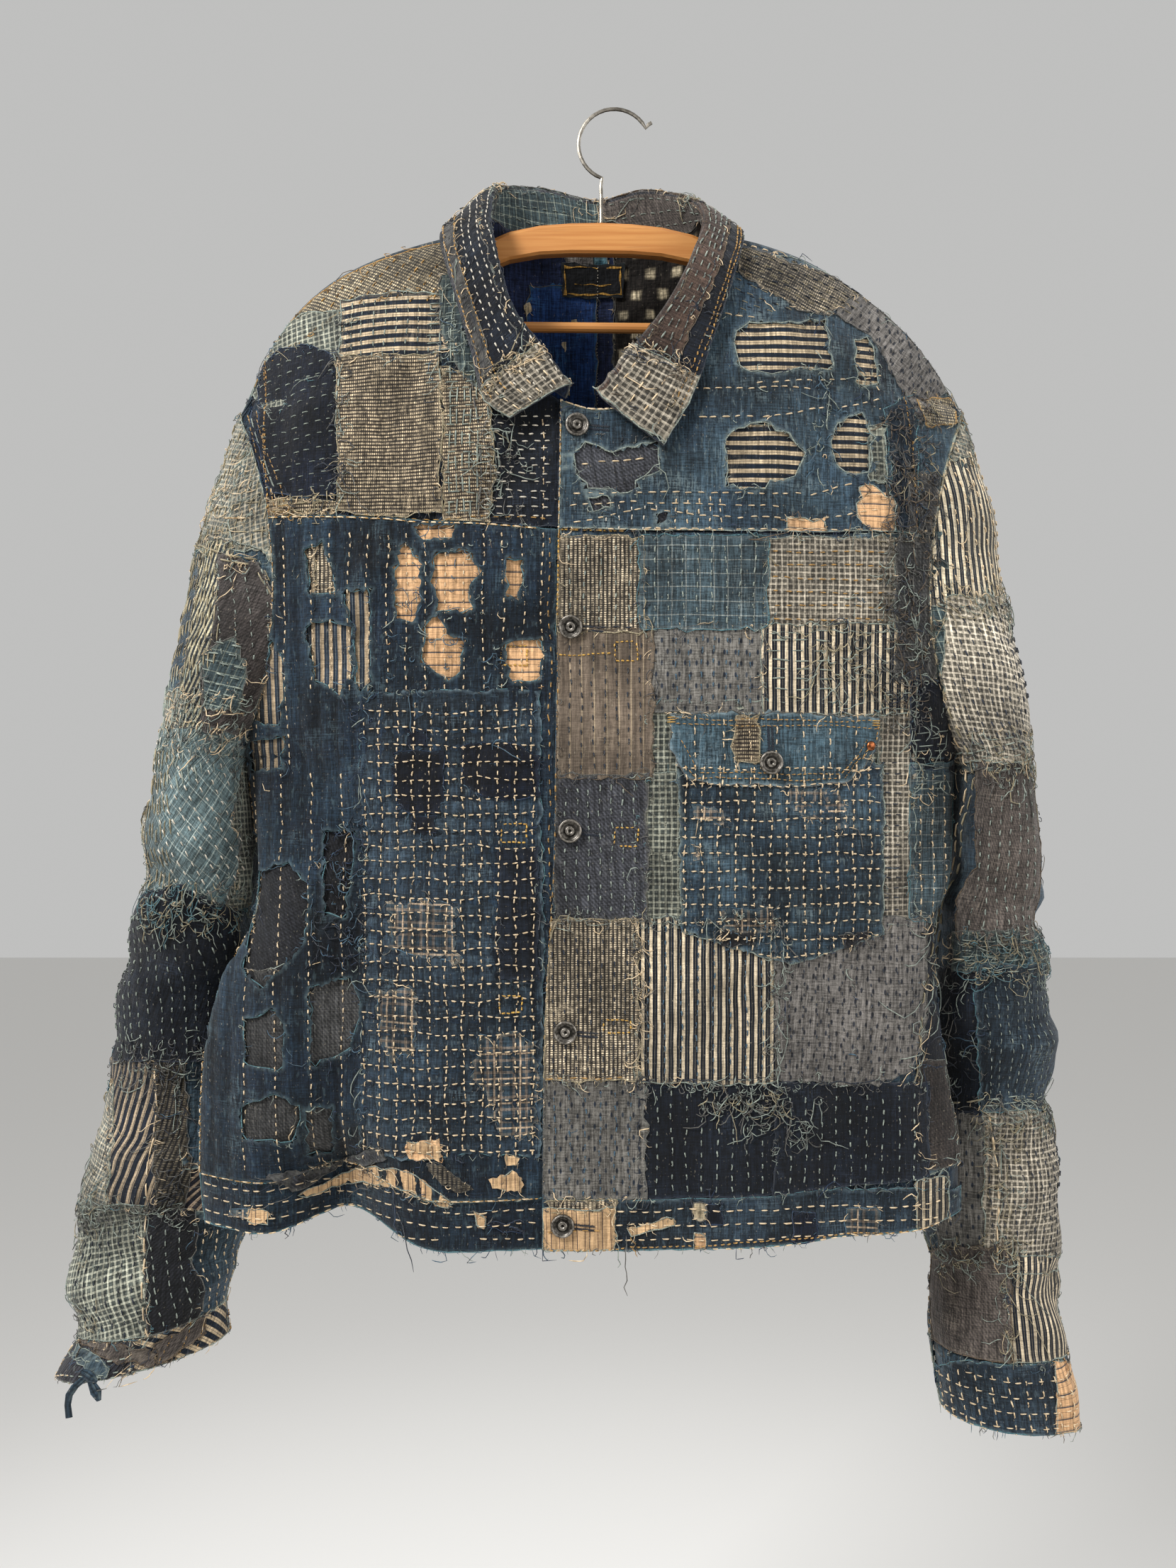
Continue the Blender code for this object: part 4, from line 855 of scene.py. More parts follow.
def ragged(outline, rough, step=0.0032, wander=0.0012):
    """The outline in short steps, with the small unevenness of cut and worn cloth."""
    line = dense(outline, step)
    ahead = np.roll(line, -1, axis=0) - np.roll(line, 1, axis=0)
    side = unit(np.column_stack([-ahead[:, 1], ahead[:, 0]]))
    travel = np.cumsum(np.hypot(*ahead.T)) / 2
    phases = rng.uniform(0, tau, 3)
    slow = sum(np.sin(travel * tau / w + p) for w, p in zip((0.05, 0.023, 0.013), phases)) / 3
    return line + side * (slow * wander + rng.normal(0, rough, len(line)))[:, None]


def ripple(a, b, seed, size=0.03):
    """Smooth unevenness from -1 to 1."""
    own = np.random.default_rng(seed)
    total = 0.0
    for _ in range(5):
        turn, phase = own.uniform(0, tau, 2)
        k = tau / (size * own.uniform(0.7, 1.6))
        total = total + np.sin((a * cos(turn) + b * sin(turn)) * k + phase)
    return total / 5


def fill(outline, holes, pitch):
    """Points and triangles that fill an outline but not its holes."""
    loops = [outline, *holes]
    low, high = outline.min(0), outline.max(0)
    a, b = np.meshgrid(np.arange(low[0], high[0], pitch), np.arange(low[1], high[1], pitch * 0.87))
    a[::2] += pitch / 2
    inner = np.column_stack([a.ravel(), b.ravel()])
    inner = inner[within_cloth(*inner.T, outline, holes)]
    if len(inner):
        inner = inner[border_distance(inner, loops) > pitch * 0.45]
    points = np.concatenate([*loops, inner])
    edges, first = [], 0
    for loop in loops:
        index = np.arange(len(loop)) + first
        edges += list(zip(index.tolist(), np.roll(index, -1).tolist()))
        first += len(loop)
    found = delaunay_2d_cdt([Vector(p) for p in points], edges, [], 0, 1e-7)
    flat = np.array([tuple(v) for v in found[0]])
    faces = np.array([f for f in found[2] if len(f) == 3])
    return flat, faces[within_cloth(*flat[faces].mean(1).T, outline, holes)]


def open_edges(faces):
    """The directed edges that only one triangle has."""
    pairs = np.concatenate([faces[:, [0, 1]], faces[:, [1, 2]], faces[:, [2, 0]]])
    found = np.unique(np.sort(pairs, axis=1), axis=0, return_inverse=True, return_counts=True)
    _, index, count = found
    return pairs[count[index.reshape(-1)] == 1]


def turned(flat, angle):
    """Places turned by an angle in degrees."""
    c, s = cos(radians(angle)), sin(radians(angle))
    return np.column_stack([flat[:, 0] * c + flat[:, 1] * s, -flat[:, 0] * s + flat[:, 1] * c])


def lay_outline(face, outline, seen, rough):
    """An uneven outline on a face, from flat places or from places seen from the front."""
    line = dense(outline)
    if seen:
        line = face.under(line)
    return np.column_stack(face.clip(*ragged(line, rough).T))


def patch(heap, face, fabric, outline, layer=1.0, angle=0.0, holes=(), seen=True, puff=0.0,
          pitch=0.0062, rough=0.0007, thick=0.0011, curl=0.0005, quilt=0.0, across=0.0,
          along=0.0, fray_share=1.0):
    """Lays one piece of cloth on a face and frays its edges.

    It lies so many layers up. Puff raises its middle, curl its edges, and quilt is its swell
    between rows of stitches that are as far apart as across and along say.
    """
    border = lay_outline(face, outline, seen, rough)
    if np.ptp(border, axis=0).min() < LEAST_PATCH:
        return  # it all lies past the face's edge
    gaps = [lay_outline(face, hole, seen, max(rough, HOLE_ROUGH)) for hole in holes]
    if not quilt:
        quilt, across, along = face.quilting_at(*border.mean(0))
    flat, faces = fill(border, gaps, QUILT_PITCH if quilt else pitch)
    away = border_distance(flat, [border, *gaps])
    lift = layer * LAYER + puff * (1 - np.exp(-away / 0.02))
    lift = lift + quilted(*flat.T, quilt, across, along)
    if gaps:
        lift = lift + HOLE_LIP * np.exp(-border_distance(flat, gaps) / 0.003)
    seed = int(rng.integers(1 << 30))
    lift = lift + curl * np.exp(-away / 0.004) * ripple(*flat.T, seed, 0.012)
    lift = lift + UNEVEN * ripple(*flat.T, seed + 1, 0.02)
    points, normals = face.at(*flat.T), face.normal(*flat.T)
    top = points + normals * lift[:, None]
    faces = oriented(top, faces, normals)
    uv = turned(flat, angle) + rng.uniform(0, 1, 2)
    # How high the cloth swells between its rows, which its fabric paints as shade and light.
    swell = quilted(*flat.T, 1.0, across, along) if quilt else None
    heap.add(top, faces, fabric, uv=uv, edge=away, swell=swell)
    add_skirt(heap, fabric, top, normals, open_edges(faces), uv, thick)
    face.stack.append((layer * LAYER + puff * 0.8, border, gaps, (quilt, across, along)))
    rim, colours, per_metre, length = EDGES.get(fabric, PLAIN_EDGE)
    per_metre = per_metre * fray_share
    for loop in [border, *gaps]:
        raised = layer * LAYER + (0 if loop is border else HOLE_RISE)
        if per_metre:
            rolled_edge(heap, face, loop, raised, "thread_" + rim)
        frayed = face, loop, loop is border, raised, colours
        fray(*frayed, per_metre * SHORT_ENDS, length)
        fray(*frayed, per_metre * LONG_ENDS, length * 3.0, steps=6, curl=1.0, radius=0.00036,
             stand=0.0016)


def add_skirt(heap, fabric, top, normals, rim, uv, thick):
    """The thickness of a patch, hung from its open edges."""
    used, index = np.unique(rim, return_inverse=True)
    index = index.reshape(rim.shape)
    low = top[used] - normals[used] * thick
    first, second = index.T
    skirt = np.column_stack([second, first, first + len(used), second + len(used)])
    heap.add(np.concatenate([top[used], low]), skirt, fabric,
             uv=np.concatenate([uv[used], uv[used] + 0.001]), edge=np.zeros(2 * len(used)))


def rolled_edge(heap, face, loop, lift, material):
    """The frayed, rolled rim of a cut edge."""
    line = loop[::2]
    count = len(line)
    if count < 6:
        return
    a, b = face.clip(*line.T)
    points, normals = face.at(a, b), face.normal(a, b)
    radius = RIM_RADIUS * rng.uniform(0.5, 1.7, count)
    ahead = unit(np.roll(points, -1, axis=0) - np.roll(points, 1, axis=0))
    across = np.cross(ahead, normals)
    middle = points + normals * (lift + rng.uniform(0, 0.0003, count))[:, None]
    middle += across * rng.normal(0, 0.0003, count)[:, None]
    rings = middle[:, None] + ring_of(across, normals, THREAD_SIDES) * radius[:, None, None]
    faces = ring_faces(count + 1, THREAD_SIDES) % (count * THREAD_SIDES)
    place = np.repeat(np.cumsum(np.full(count, 0.005)), THREAD_SIDES)
    around = np.arange(THREAD_SIDES) * tau / THREAD_SIDES * 0.001
    uv = np.column_stack([place, np.tile(around, count)])
    heap.add(rings.reshape(-1, 3), faces, material, uv=uv)


def quilted(a, b, rise, across, along):
    """How cloth swells between rows of stitches at these distances. Zero means no rows."""
    if not rise:
        return 0.0
    swell = 1.0
    for place, pitch in ((a, across), (b, along)):
        if pitch:
            swell = swell * np.abs(np.sin(pi * place / pitch)) ** 0.7
    return rise * swell


# ---- Threads: frayed ends and stitches -----------------------------------------------------

THREAD_SIDES = 3
STITCH, GAP = 0.0048, 0.0036  # the usual running stitch
SAG = 0.25  # how far a loose thread falls, as a share of its length
THREADS = defaultdict(list)  # by face name: paths, radii and colour
SEWN = defaultdict(list)  # by face: the stitches' two ends, colour and radius


def ring_of(side, other, sides):
    """Directions around a line, from two that are square to it."""
    turns = np.arange(sides)[:, None] * tau / sides
    return side[..., None, :] * np.cos(turns) + other[..., None, :] * np.sin(turns)


def ring_faces(count, sides):
    """The quads between rings of points."""
    at = np.arange(count * sides).reshape(count, sides)
    after = np.roll(at, -1, axis=1)
    return np.stack([at[:-1], after[:-1], after[1:], at[1:]], axis=-1).reshape(-1, 4)


def tubes(heap, paths, radius, material):
    """Thin round threads along paths, given as an array of threads by points by xyz."""
    count, steps = paths.shape[:2]
    ahead = unit(np.gradient(paths, axis=1))
    across = unit(np.cross(ahead, np.array([0.31, 0.22, 0.92])))
    ring = ring_of(across, np.cross(ahead, across), THREAD_SIDES)
    taper = np.ones(steps)
    taper[[0, -1]] = 0.4
    radii = radius[:, None] * taper
    points = paths[:, :, None] + ring * radii[..., None, None]
    starts = np.arange(count) * steps * THREAD_SIDES
    faces = (ring_faces(steps, THREAD_SIDES) + starts[:, None, None]).reshape(-1, 4)
    along = np.repeat(np.arange(steps) * 0.001, THREAD_SIDES)
    offset = np.repeat(rng.uniform(0, 1, count), steps * THREAD_SIDES)
    uv = np.column_stack([np.tile(along, count), offset])
    heap.add(points.reshape(-1, 3), faces[:, ::-1], material, uv=uv)


def fray(face, loop, outer, lift, colours, per_metre, length, steps=3, **how):
    """Loose thread ends along an edge, away from the cloth."""
    step = np.roll(loop, -1, axis=0) - loop
    size = np.hypot(*step.T)
    total = size.sum()
    number = int(total * per_metre)
    if number == 0:
        return
    place = np.sort(rng.uniform(0, total, number))
    ends = np.cumsum(size)
    i = np.searchsorted(ends, place).clip(0, len(loop) - 1)
    t = (place - (ends[i] - size[i])) / np.maximum(size[i], 1e-9)
    start = loop[i] + step[i] * t[:, None]
    area = 0.5 * (loop[:, 0] * np.roll(loop[:, 1], -1) - np.roll(loop[:, 0], -1) * loop[:, 1]).sum()
    away = np.column_stack([step[i, 1], -step[i, 0]]) / np.maximum(size[i], 1e-9)[:, None]
    away *= np.sign(area) * (1 if outer else -1)
    heading = np.arctan2(away[:, 1], away[:, 0]) + rng.normal(0, 0.55, number)
    reach = length * rng.lognormal(-0.1, 0.5, number)
    lay_threads(face, start, heading, reach, lift, colours, steps, start_back=0.0012, **how)


def lay_threads(face, start, heading, reach, lift, colours, steps, start_back=0.0, curl=0.5,
                radius=0.00027, stand=0.0006):
    """Threads that lie on a face, bend at random and sag."""
    number = len(start)
    here = start - np.column_stack([np.cos(heading), np.sin(heading)]) * start_back
    bend = rng.normal(0, curl, (number, 1)) + rng.normal(0, curl * 0.6, (number, steps))
    flat = [here]
    for s in range(1, steps):
        heading = heading + bend[:, s]
        move = np.column_stack([np.cos(heading), np.sin(heading)]) * (reach / (steps - 1))[:, None]
        move[:, 1] -= SAG * reach / (steps - 1)
        here = here + move
        flat.append(here)
    flat = np.stack(flat, axis=1)
    a, b = flat[..., 0].reshape(-1), flat[..., 1].reshape(-1)
    a, b = face.clip(a, b, slack=0.007)
    points, normals = face.at(a, b), face.normal(a, b)
    loose = rng.uniform(0.2, 1.6, (number, 1)) * stand * np.sin(np.linspace(0, pi, steps))[None] + 0.0003
    height = (lift + loose).reshape(-1)
    paths = (points + normals * height[:, None]).reshape(number, steps, 3)
    names = colours.split()
    pick = rng.integers(0, len(names), number)
    for n, name in enumerate(names):
        chosen = paths[pick == n]
        if len(chosen):
            radii = radius * rng.uniform(0.7, 1.3, len(chosen))
            THREADS[face.name].append((chosen, radii, name))


def run_stitches(face, start, end, colour="cream", stitch=STITCH, gap=GAP, wobble=0.0006,
                 radius=0.00060, inside=None, outside=(), steady=False):
    """One row of running stitch between two flat places."""
    start, end = np.asarray(start, float), np.asarray(end, float)
    total = np.hypot(*(end - start))
    if total < stitch:
        return
    pitch = stitch + gap
    count = int(total / pitch)
    begins = 0.0 if steady else rng.uniform(0.1, 0.5)
    first = (np.arange(count) + begins) * pitch + rng.normal(0, 0.12, count) * gap
    last = first + stitch * rng.uniform(0.75, 1.15, count)
    way = (end - start) / total
    side = np.array([-way[1], way[0]])
    phase = rng.uniform(0, tau, 2)

    def at(s):
        drift = np.sin(s * tau / 0.09 + phase[0]) + 0.6 * np.sin(s * tau / 0.041 + phase[1])
        across = drift * wobble + rng.normal(0, 0.0002, len(s))
        return start + way * s[:, None] + side * across[:, None]

    begin, finish = at(first), at(last)
    middle = ((begin + finish) / 2).T
    keep = np.ones(count, bool) if inside is None else within(*middle, inside)
    for hole in outside:
        keep &= ~within(*middle, hole)
    if keep.any():
        SEWN[face].append((begin[keep], finish[keep], colour, radius))


def hatch(face, outline, angle, pitch, colour="cream", outside=(), margin=0.003, aligned=0,
          stitch=STITCH, gap=GAP, **how):
    """Parallel rows of stitches at an angle in degrees. Aligned rows cross at mid-stitch."""
    way = np.array([cos(radians(angle)), sin(radians(angle))])
    side = np.array([-way[1], way[0]])
    s, t = outline @ way, outline @ side
    if aligned:
        places = np.arange(np.ceil(t.min() / pitch), t.max() / pitch) * pitch
        first = np.floor(s.min() / (stitch + gap)) * (stitch + gap) - stitch / 2
    else:
        room = t.max() - t.min() - 2 * margin
        count = max(1, int(room / pitch + 0.5))
        places = (np.arange(count) + 0.5) / count * room + t.min() + margin
        first = s.min()
    for place in places:
        start, end = way * first + side * place, way * s.max() + side * place
        run_stitches(face, start, end, colour, stitch=stitch, gap=gap, inside=outline,
                     outside=outside, steady=bool(aligned), **how)


def build_stitches():
    """Sews the rows on each face, over all that lies on it. Returns the objects by face name."""
    shares = np.array([0.0, 0.22, 0.78, 1.0])
    rise = np.array([-1.1, 0.9, 0.9, -1.1])  # in radii, so that both ends go into the cloth
    made = {}
    for face, runs in SEWN.items():
        heap = Heap()
        for begin, finish, colour, radius in runs:
            flat = begin[:, None] + (finish - begin)[:, None] * shares[:, None]
            a, b = face.clip(flat[..., 0].reshape(-1), flat[..., 1].reshape(-1))
            lift = face.lift_at(a, b).reshape(len(begin), -1)
            lift = lift.max(1, keepdims=True) + rise * radius
            points, normals = face.at(a, b), face.normal(a, b)
            paths = (points + normals * lift.reshape(-1, 1)).reshape(len(begin), -1, 3)
            width = radius * rng.uniform(0.8, 1.2, len(begin))
            tubes(heap, paths, width, "thread_" + colour)
        made[face.name] = heap.build(face.name + "_stitches")
    return made


def build_threads():
    """Builds the loose threads. Returns the objects by face name."""
    made = {}
    for name, groups in THREADS.items():
        heap = Heap()
        for paths, radius, colour in groups:
            tubes(heap, paths, radius, "thread_" + colour)
        made[name] = heap.build(name + "_threads")
    return made


# ---- Fabrics -------------------------------------------------------------------------------


def colour(code):
    """A colour as the screen shows it, given as six hex digits, in linear light."""
    parts = [int(code[i : i + 2], 16) / 255 for i in (0, 2, 4)]
    return [p / 12.92 if p <= 0.04045 else ((p + 0.055) / 1.055) ** 2.4 for p in parts] + [1.0]


class Nodes:
    """A short way to write shader nodes. Numbers may stand wherever a socket may."""

    def __init__(self, name, roughness=0.92, sheen=0.10):
        self.material = bpy.data.materials.new(name)
        self.material.use_nodes = True
        self.tree = self.material.node_tree
        self.tree.nodes.clear()
        self.shader = self.node("ShaderNodeBsdfPrincipled")
        self.shader.inputs["Roughness"].default_value = roughness
        self.shader.inputs["Sheen Weight"].default_value = sheen
        self.shader.inputs["Sheen Roughness"].default_value = 0.5
        self.shader.inputs["Specular IOR Level"].default_value = 0.25
        out = self.node("ShaderNodeOutputMaterial")
        self.tree.links.new(self.shader.outputs[0], out.inputs["Surface"])
        self.u, self.v = self.split(self.node("ShaderNodeUVMap", uv_map="Cloth").outputs[0])

    def node(self, kind, **settings):
        made = self.tree.nodes.new(kind)
        for key, value in settings.items():
            setattr(made, key, value)
        return made

    def put(self, socket, value):
        if isinstance(value, bpy.types.NodeSocket):
            self.tree.links.new(value, socket)
        elif isinstance(value, str):
            socket.default_value = colour(value)
        else:
            socket.default_value = value

    def split(self, vector):
        made = self.node("ShaderNodeSeparateXYZ")
        self.put(made.inputs[0], vector)
        return made.outputs[0], made.outputs[1]

    def vector(self, x, y, z=0.0):
        made = self.node("ShaderNodeCombineXYZ")
        for socket, value in zip(made.inputs, (x, y, z)):
            self.put(socket, value)
        return made.outputs[0]

    def math(self, operation, a, b=0.0, c=0.0):
        made = self.node("ShaderNodeMath", operation=operation)
        for socket, value in zip(made.inputs, (a, b, c)):
            self.put(socket, value)
        return made.outputs[0]

    def add(self, a, b):
        return self.math("ADD", a, b)

    def times(self, a, b):
        return self.math("MULTIPLY", a, b)

    def step(self, value, low, high, start=0.0, end=1.0):
        """value from low to high, mapped smoothly to start to end."""
        made = self.node("ShaderNodeMapRange", interpolation_type="SMOOTHSTEP")
        for socket, part in zip(made.inputs, (value, low, high, start, end)):
            self.put(socket, part)
        return made.outputs[0]

    def mix(self, share, a, b):
        made = self.node("ShaderNodeMix", data_type="RGBA")
        for key, value in ((0, share), (6, a), (7, b)):
            self.put(made.inputs[key], value)
        return made.outputs[2]

    def darken(self, col, share):
        made = self.node("ShaderNodeMix", data_type="RGBA", blend_type="MULTIPLY")
        self.put(made.inputs[0], 1.0)
        self.put(made.inputs[6], col)
        grey = self.node("ShaderNodeCombineColor")
        for socket in grey.inputs:
            self.put(socket, share)
        self.put(made.inputs[7], grey.outputs[0])
        return made.outputs[2]

    def noise(self, scale, detail=2.0, u_scale=1.0, v_scale=1.0, offset=0.0):
        where = self.vector(self.times(self.u, u_scale), self.times(self.v, v_scale), offset)
        made = self.node("ShaderNodeTexNoise", noise_dimensions="3D")
        self.put(made.inputs["Vector"], where)
        self.put(made.inputs["Scale"], scale)
        self.put(made.inputs["Detail"], detail)
        return made.outputs["Fac"]

    def bend(self, coordinate, amount=0.0006, scale=40.0, offset=0.0):
        """A coordinate that wanders, so that stripes aren't ruler-straight."""
        drift = self.add(self.noise(scale, offset=offset), -0.5)
        return self.add(coordinate, self.times(drift, 2 * amount))

    def band(self, coordinate, period, share, soft=0.15, start=0.0):
        """1 inside regular stripes that take up a share of the period."""
        place = self.math("FRACT", self.add(self.math("DIVIDE", coordinate, period), start))
        away = self.math("ABSOLUTE", self.add(place, -0.5))
        half = share / 2
        return self.step(away, half - soft * half, half + soft * half, 1.0, 0.0)

    def yarn(self, warp=900.0):
        """Fine yarns both ways, so many a metre."""
        up = self.noise(1.0, 1.0, warp, warp * 0.10, 1.0)
        across = self.noise(1.0, 1.0, warp * 0.10, warp, 2.0)
        fine = self.noise(1.0, 1.0, warp * 0.9, warp * 0.9, 3.0)
        crossed = self.add(self.times(across, 0.35), self.times(fine, 0.2))
        return self.add(self.times(up, 0.45), crossed)

    def worn_share(self, yarn):
        """Where cloth is worn: along its cut edges, and in rubbed places."""
        away = self.node("ShaderNodeAttribute", attribute_name="edge").outputs["Fac"]
        ragged = self.step(self.noise(220.0, 3.0, offset=6.0), 0.35, 0.65, 0.2, 1.0)
        at_edge = self.times(self.step(away, 0.0, 0.0030, 1.0, 0.0), ragged)
        places = self.step(self.noise(38.0, 4.0, offset=7.0), 0.52, 0.72)
        rubbed = self.times(places, self.step(yarn, 0.45, 0.6))
        return self.math("MAXIMUM", at_edge, self.times(rubbed, 0.8))

    def weave(self, col, contrast=0.6, slub=0.32, fade="8f9ea0", wear=0.35, patchy=0.48,
              fuzz=0.03, flecks=0.0):
        """Finishes a fabric: yarn, uneven dye, worn edges, relief, and painted shade and light by how high
        quilted cloth swells.
        """
        yarn = self.yarn()
        shade = self.step(yarn, 0.36, 0.64, 1 - contrast, 1 + contrast * 0.75)
        long_yarn = self.noise(1.0, 1.0, 420.0, 14.0, 4.0)
        shade = self.times(shade, self.step(long_yarn, 0.3, 0.7, 1 - slub, 1 + slub))
        large = self.noise(13.0, 4.0, offset=5.0)
        shade = self.times(shade, self.step(large, 0.3, 0.7, 1 - patchy, 1 + patchy * 0.6))
        col = self.darken(col, shade)
        col = self.mix(self.times(self.worn_share(yarn), wear), col, fade)
        if flecks:
            broken = self.step(self.noise(1.0, 2.0, 420.0, 120.0, 14.0), 0.58, 0.70)
            col = self.mix(self.times(broken, flecks), col, fade)
        lint = self.step(self.noise(1.0, 2.0, 700.0, 330.0, 8.0), 0.67, 0.72)
        col = self.mix(self.times(lint, fuzz * 6), col, "c9bfa8")
        # Painted shade and light: darker where the cloth dips to its rows of stitches, lighter where it
        # swells between them; partly wear on the ridges, partly painted shading of the quilting's relief.
        swell = self.node("ShaderNodeAttribute", attribute_name="swell").outputs["Fac"]
        col = self.darken(col, self.step(swell, 0.0, 1.0, 0.62, 1.2))
        self.put(self.shader.inputs["Base Color"], col)
        relief = self.node("ShaderNodeBump")
        self.put(relief.inputs["Strength"], 0.8)
        self.put(relief.inputs["Distance"], 0.0014)
        folds = self.times(self.noise(62.0, 3.0, offset=9.0), 3.2)
        crumple = self.add(folds, self.noise(1.0, 2.0, 190.0, 150.0, 9.5))
        height = self.add(self.times(yarn, 0.8), crumple)
        self.put(relief.inputs["Height"], height)
        self.tree.links.new(relief.outputs[0], self.shader.inputs["Normal"])
        return self.material


def plain(name, base, other, **finish):
    """One dye that wanders between two tones."""
    n = Nodes(name)
    col = n.mix(n.step(n.noise(22.0, 4.0, offset=11.0), 0.38, 0.66), base, other)
    return n.weave(col, **finish)


def striped(name, ground, line, period, share, way="v", second=None, **finish):
    """Stripes along the cloth's length (v) or across it (h), with an optional second kind."""
    n = Nodes(name)
    coordinate = n.bend(n.u if way == "v" else n.v)
    col = n.mix(n.band(coordinate, period, share), ground, line)
    if second:
        tint, period2, share2, start = second
        col = n.mix(n.band(coordinate, period2, share2, start=start), col, tint)
    return n.weave(col, **finish)


def checked(name, ground, line, period, share, second=None, strength=0.6, **finish):
    """Crossed lines, with an optional second kind. Strength is how full one line's tint is."""
    n = Nodes(name)
    u, v = n.bend(n.u), n.bend(n.v, offset=3.0)
    both = n.add(n.band(u, period, share), n.band(v, period, share))
    col = n.mix(n.times(both, strength), ground, line)
    if second:
        tint, period2, share2 = second
        both = n.math("MAXIMUM", n.band(u, period2, share2), n.band(v, period2, share2))
        col = n.mix(both, col, tint)
    return n.weave(col, **finish)


def gingham(name, light, dark, period, **finish):
    """Even checks: light, middle and dark squares."""
    n = Nodes(name)
    u, v = n.bend(n.u, 0.0008), n.bend(n.v, 0.0008, offset=3.0)
    both = n.times(n.add(n.band(u, period, 0.5), n.band(v, period, 0.5)), 0.5)
    return n.weave(n.mix(both, light, dark), **finish)


def speckled(name, dark, light, period, grain, way="v"):
    """Ribs of light dots on a dark ground."""
    n = Nodes(name)
    across, along = (n.u, n.v) if way == "v" else (n.v, n.u)
    ribs = n.band(n.bend(across, 0.0004), period, 0.52, 0.5)
    dots = n.band(n.bend(along, 0.0006, 200.0), grain, 0.62, 0.6)
    broken = n.step(n.noise(1.0, 2.0, 300.0, 300.0, 13.0), 0.32, 0.6, 0.25, 1.0)
    return n.weave(n.mix(n.times(n.times(ribs, dots), broken), dark, light), fade=light, wear=0.3)


def dotted(name, ground, dot, period, size, **finish):
    """Staggered small dots."""
    n = Nodes(name)
    row = n.math("FLOOR", n.math("DIVIDE", n.v, period))
    u = n.add(n.u, n.times(n.math("MODULO", row, 2.0), period / 2))
    du = n.add(n.math("FRACT", n.math("DIVIDE", u, period)), -0.5)
    dv = n.add(n.math("FRACT", n.math("DIVIDE", n.v, period)), -0.5)
    away = n.math("SQRT", n.add(n.times(n.times(du, du), 2.5), n.times(n.times(dv, dv), 0.5)))
    col = n.mix(n.step(away, size * 0.7, size * 1.3, 1.0, 0.0), ground, dot)
    return n.weave(col, **finish)


def kasuri(name, ground, mark, wide, high, **finish):
    """Short blurred marks, staggered in rows."""
    n = Nodes(name)
    row = n.math("FLOOR", n.math("DIVIDE", n.v, high))
    u = n.add(n.bend(n.u, 0.002, 90.0), n.times(n.math("MODULO", row, 2.0), wide / 2))
    v = n.bend(n.v, 0.0015, 110.0, 4.0)
    across = n.band(u, wide, 0.34, 0.5)
    up = n.band(v, high, 0.42, 0.5)
    streak = n.step(n.noise(1.0, 1.0, 900.0, 60.0, 12.0), 0.35, 0.55, 0.35, 1.0)
    col = n.mix(n.times(n.times(across, up), streak), ground, mark)
    return n.weave(col, **finish)


def twill(name, ground, line, **finish):
    """Fine slanting ribs."""
    n = Nodes(name)
    slant = n.bend(n.add(n.u, n.times(n.v, 0.8)), 0.0003, 120.0)
    col = n.mix(n.times(n.band(slant, 0.0028, 0.45, 0.6), 0.6), ground, line)
    return n.weave(col, **finish)


def thread(name, base, dark):
    n = Nodes("thread_" + name, roughness=0.75, sheen=0.15)
    tone = n.noise(1.0, 2.0, 900.0, 7.0)
    col = n.mix(n.step(tone, 0.35, 0.65), base, dark)
    n.put(n.shader.inputs["Base Color"], col)
    return n.material


def metal(name, base, dark, roughness=0.35, scale=400.0, metallic=1.0, grime=False):
    n = Nodes(name, roughness=roughness, sheen=0.0)
    where = n.node("ShaderNodeTexCoord").outputs["Object"]
    spots = n.node("ShaderNodeTexNoise")
    n.put(spots.inputs["Vector"], where)
    n.put(spots.inputs["Scale"], scale)
    n.put(spots.inputs["Detail"], 4.0)
    col = n.mix(n.step(spots.outputs["Fac"], 0.35, 0.7), base, dark)
    # Darker where the part stands low and lighter at its top, by its share of its height.
    if grime:
        raised = n.node("ShaderNodeAttribute", attribute_name="swell").outputs["Fac"]
        col = n.darken(col, n.step(raised, 0.30, 0.85, 0.12, 1.15))
    n.put(n.shader.inputs["Base Color"], col)
    n.put(n.shader.inputs["Metallic"], metallic)
    n.put(n.shader.inputs["Specular IOR Level"], 0.5)
    return n.material


WORN = dict(patchy=0.65, flecks=0.28)
CRISP = dict(contrast=0.4, wear=0.25, patchy=0.3)

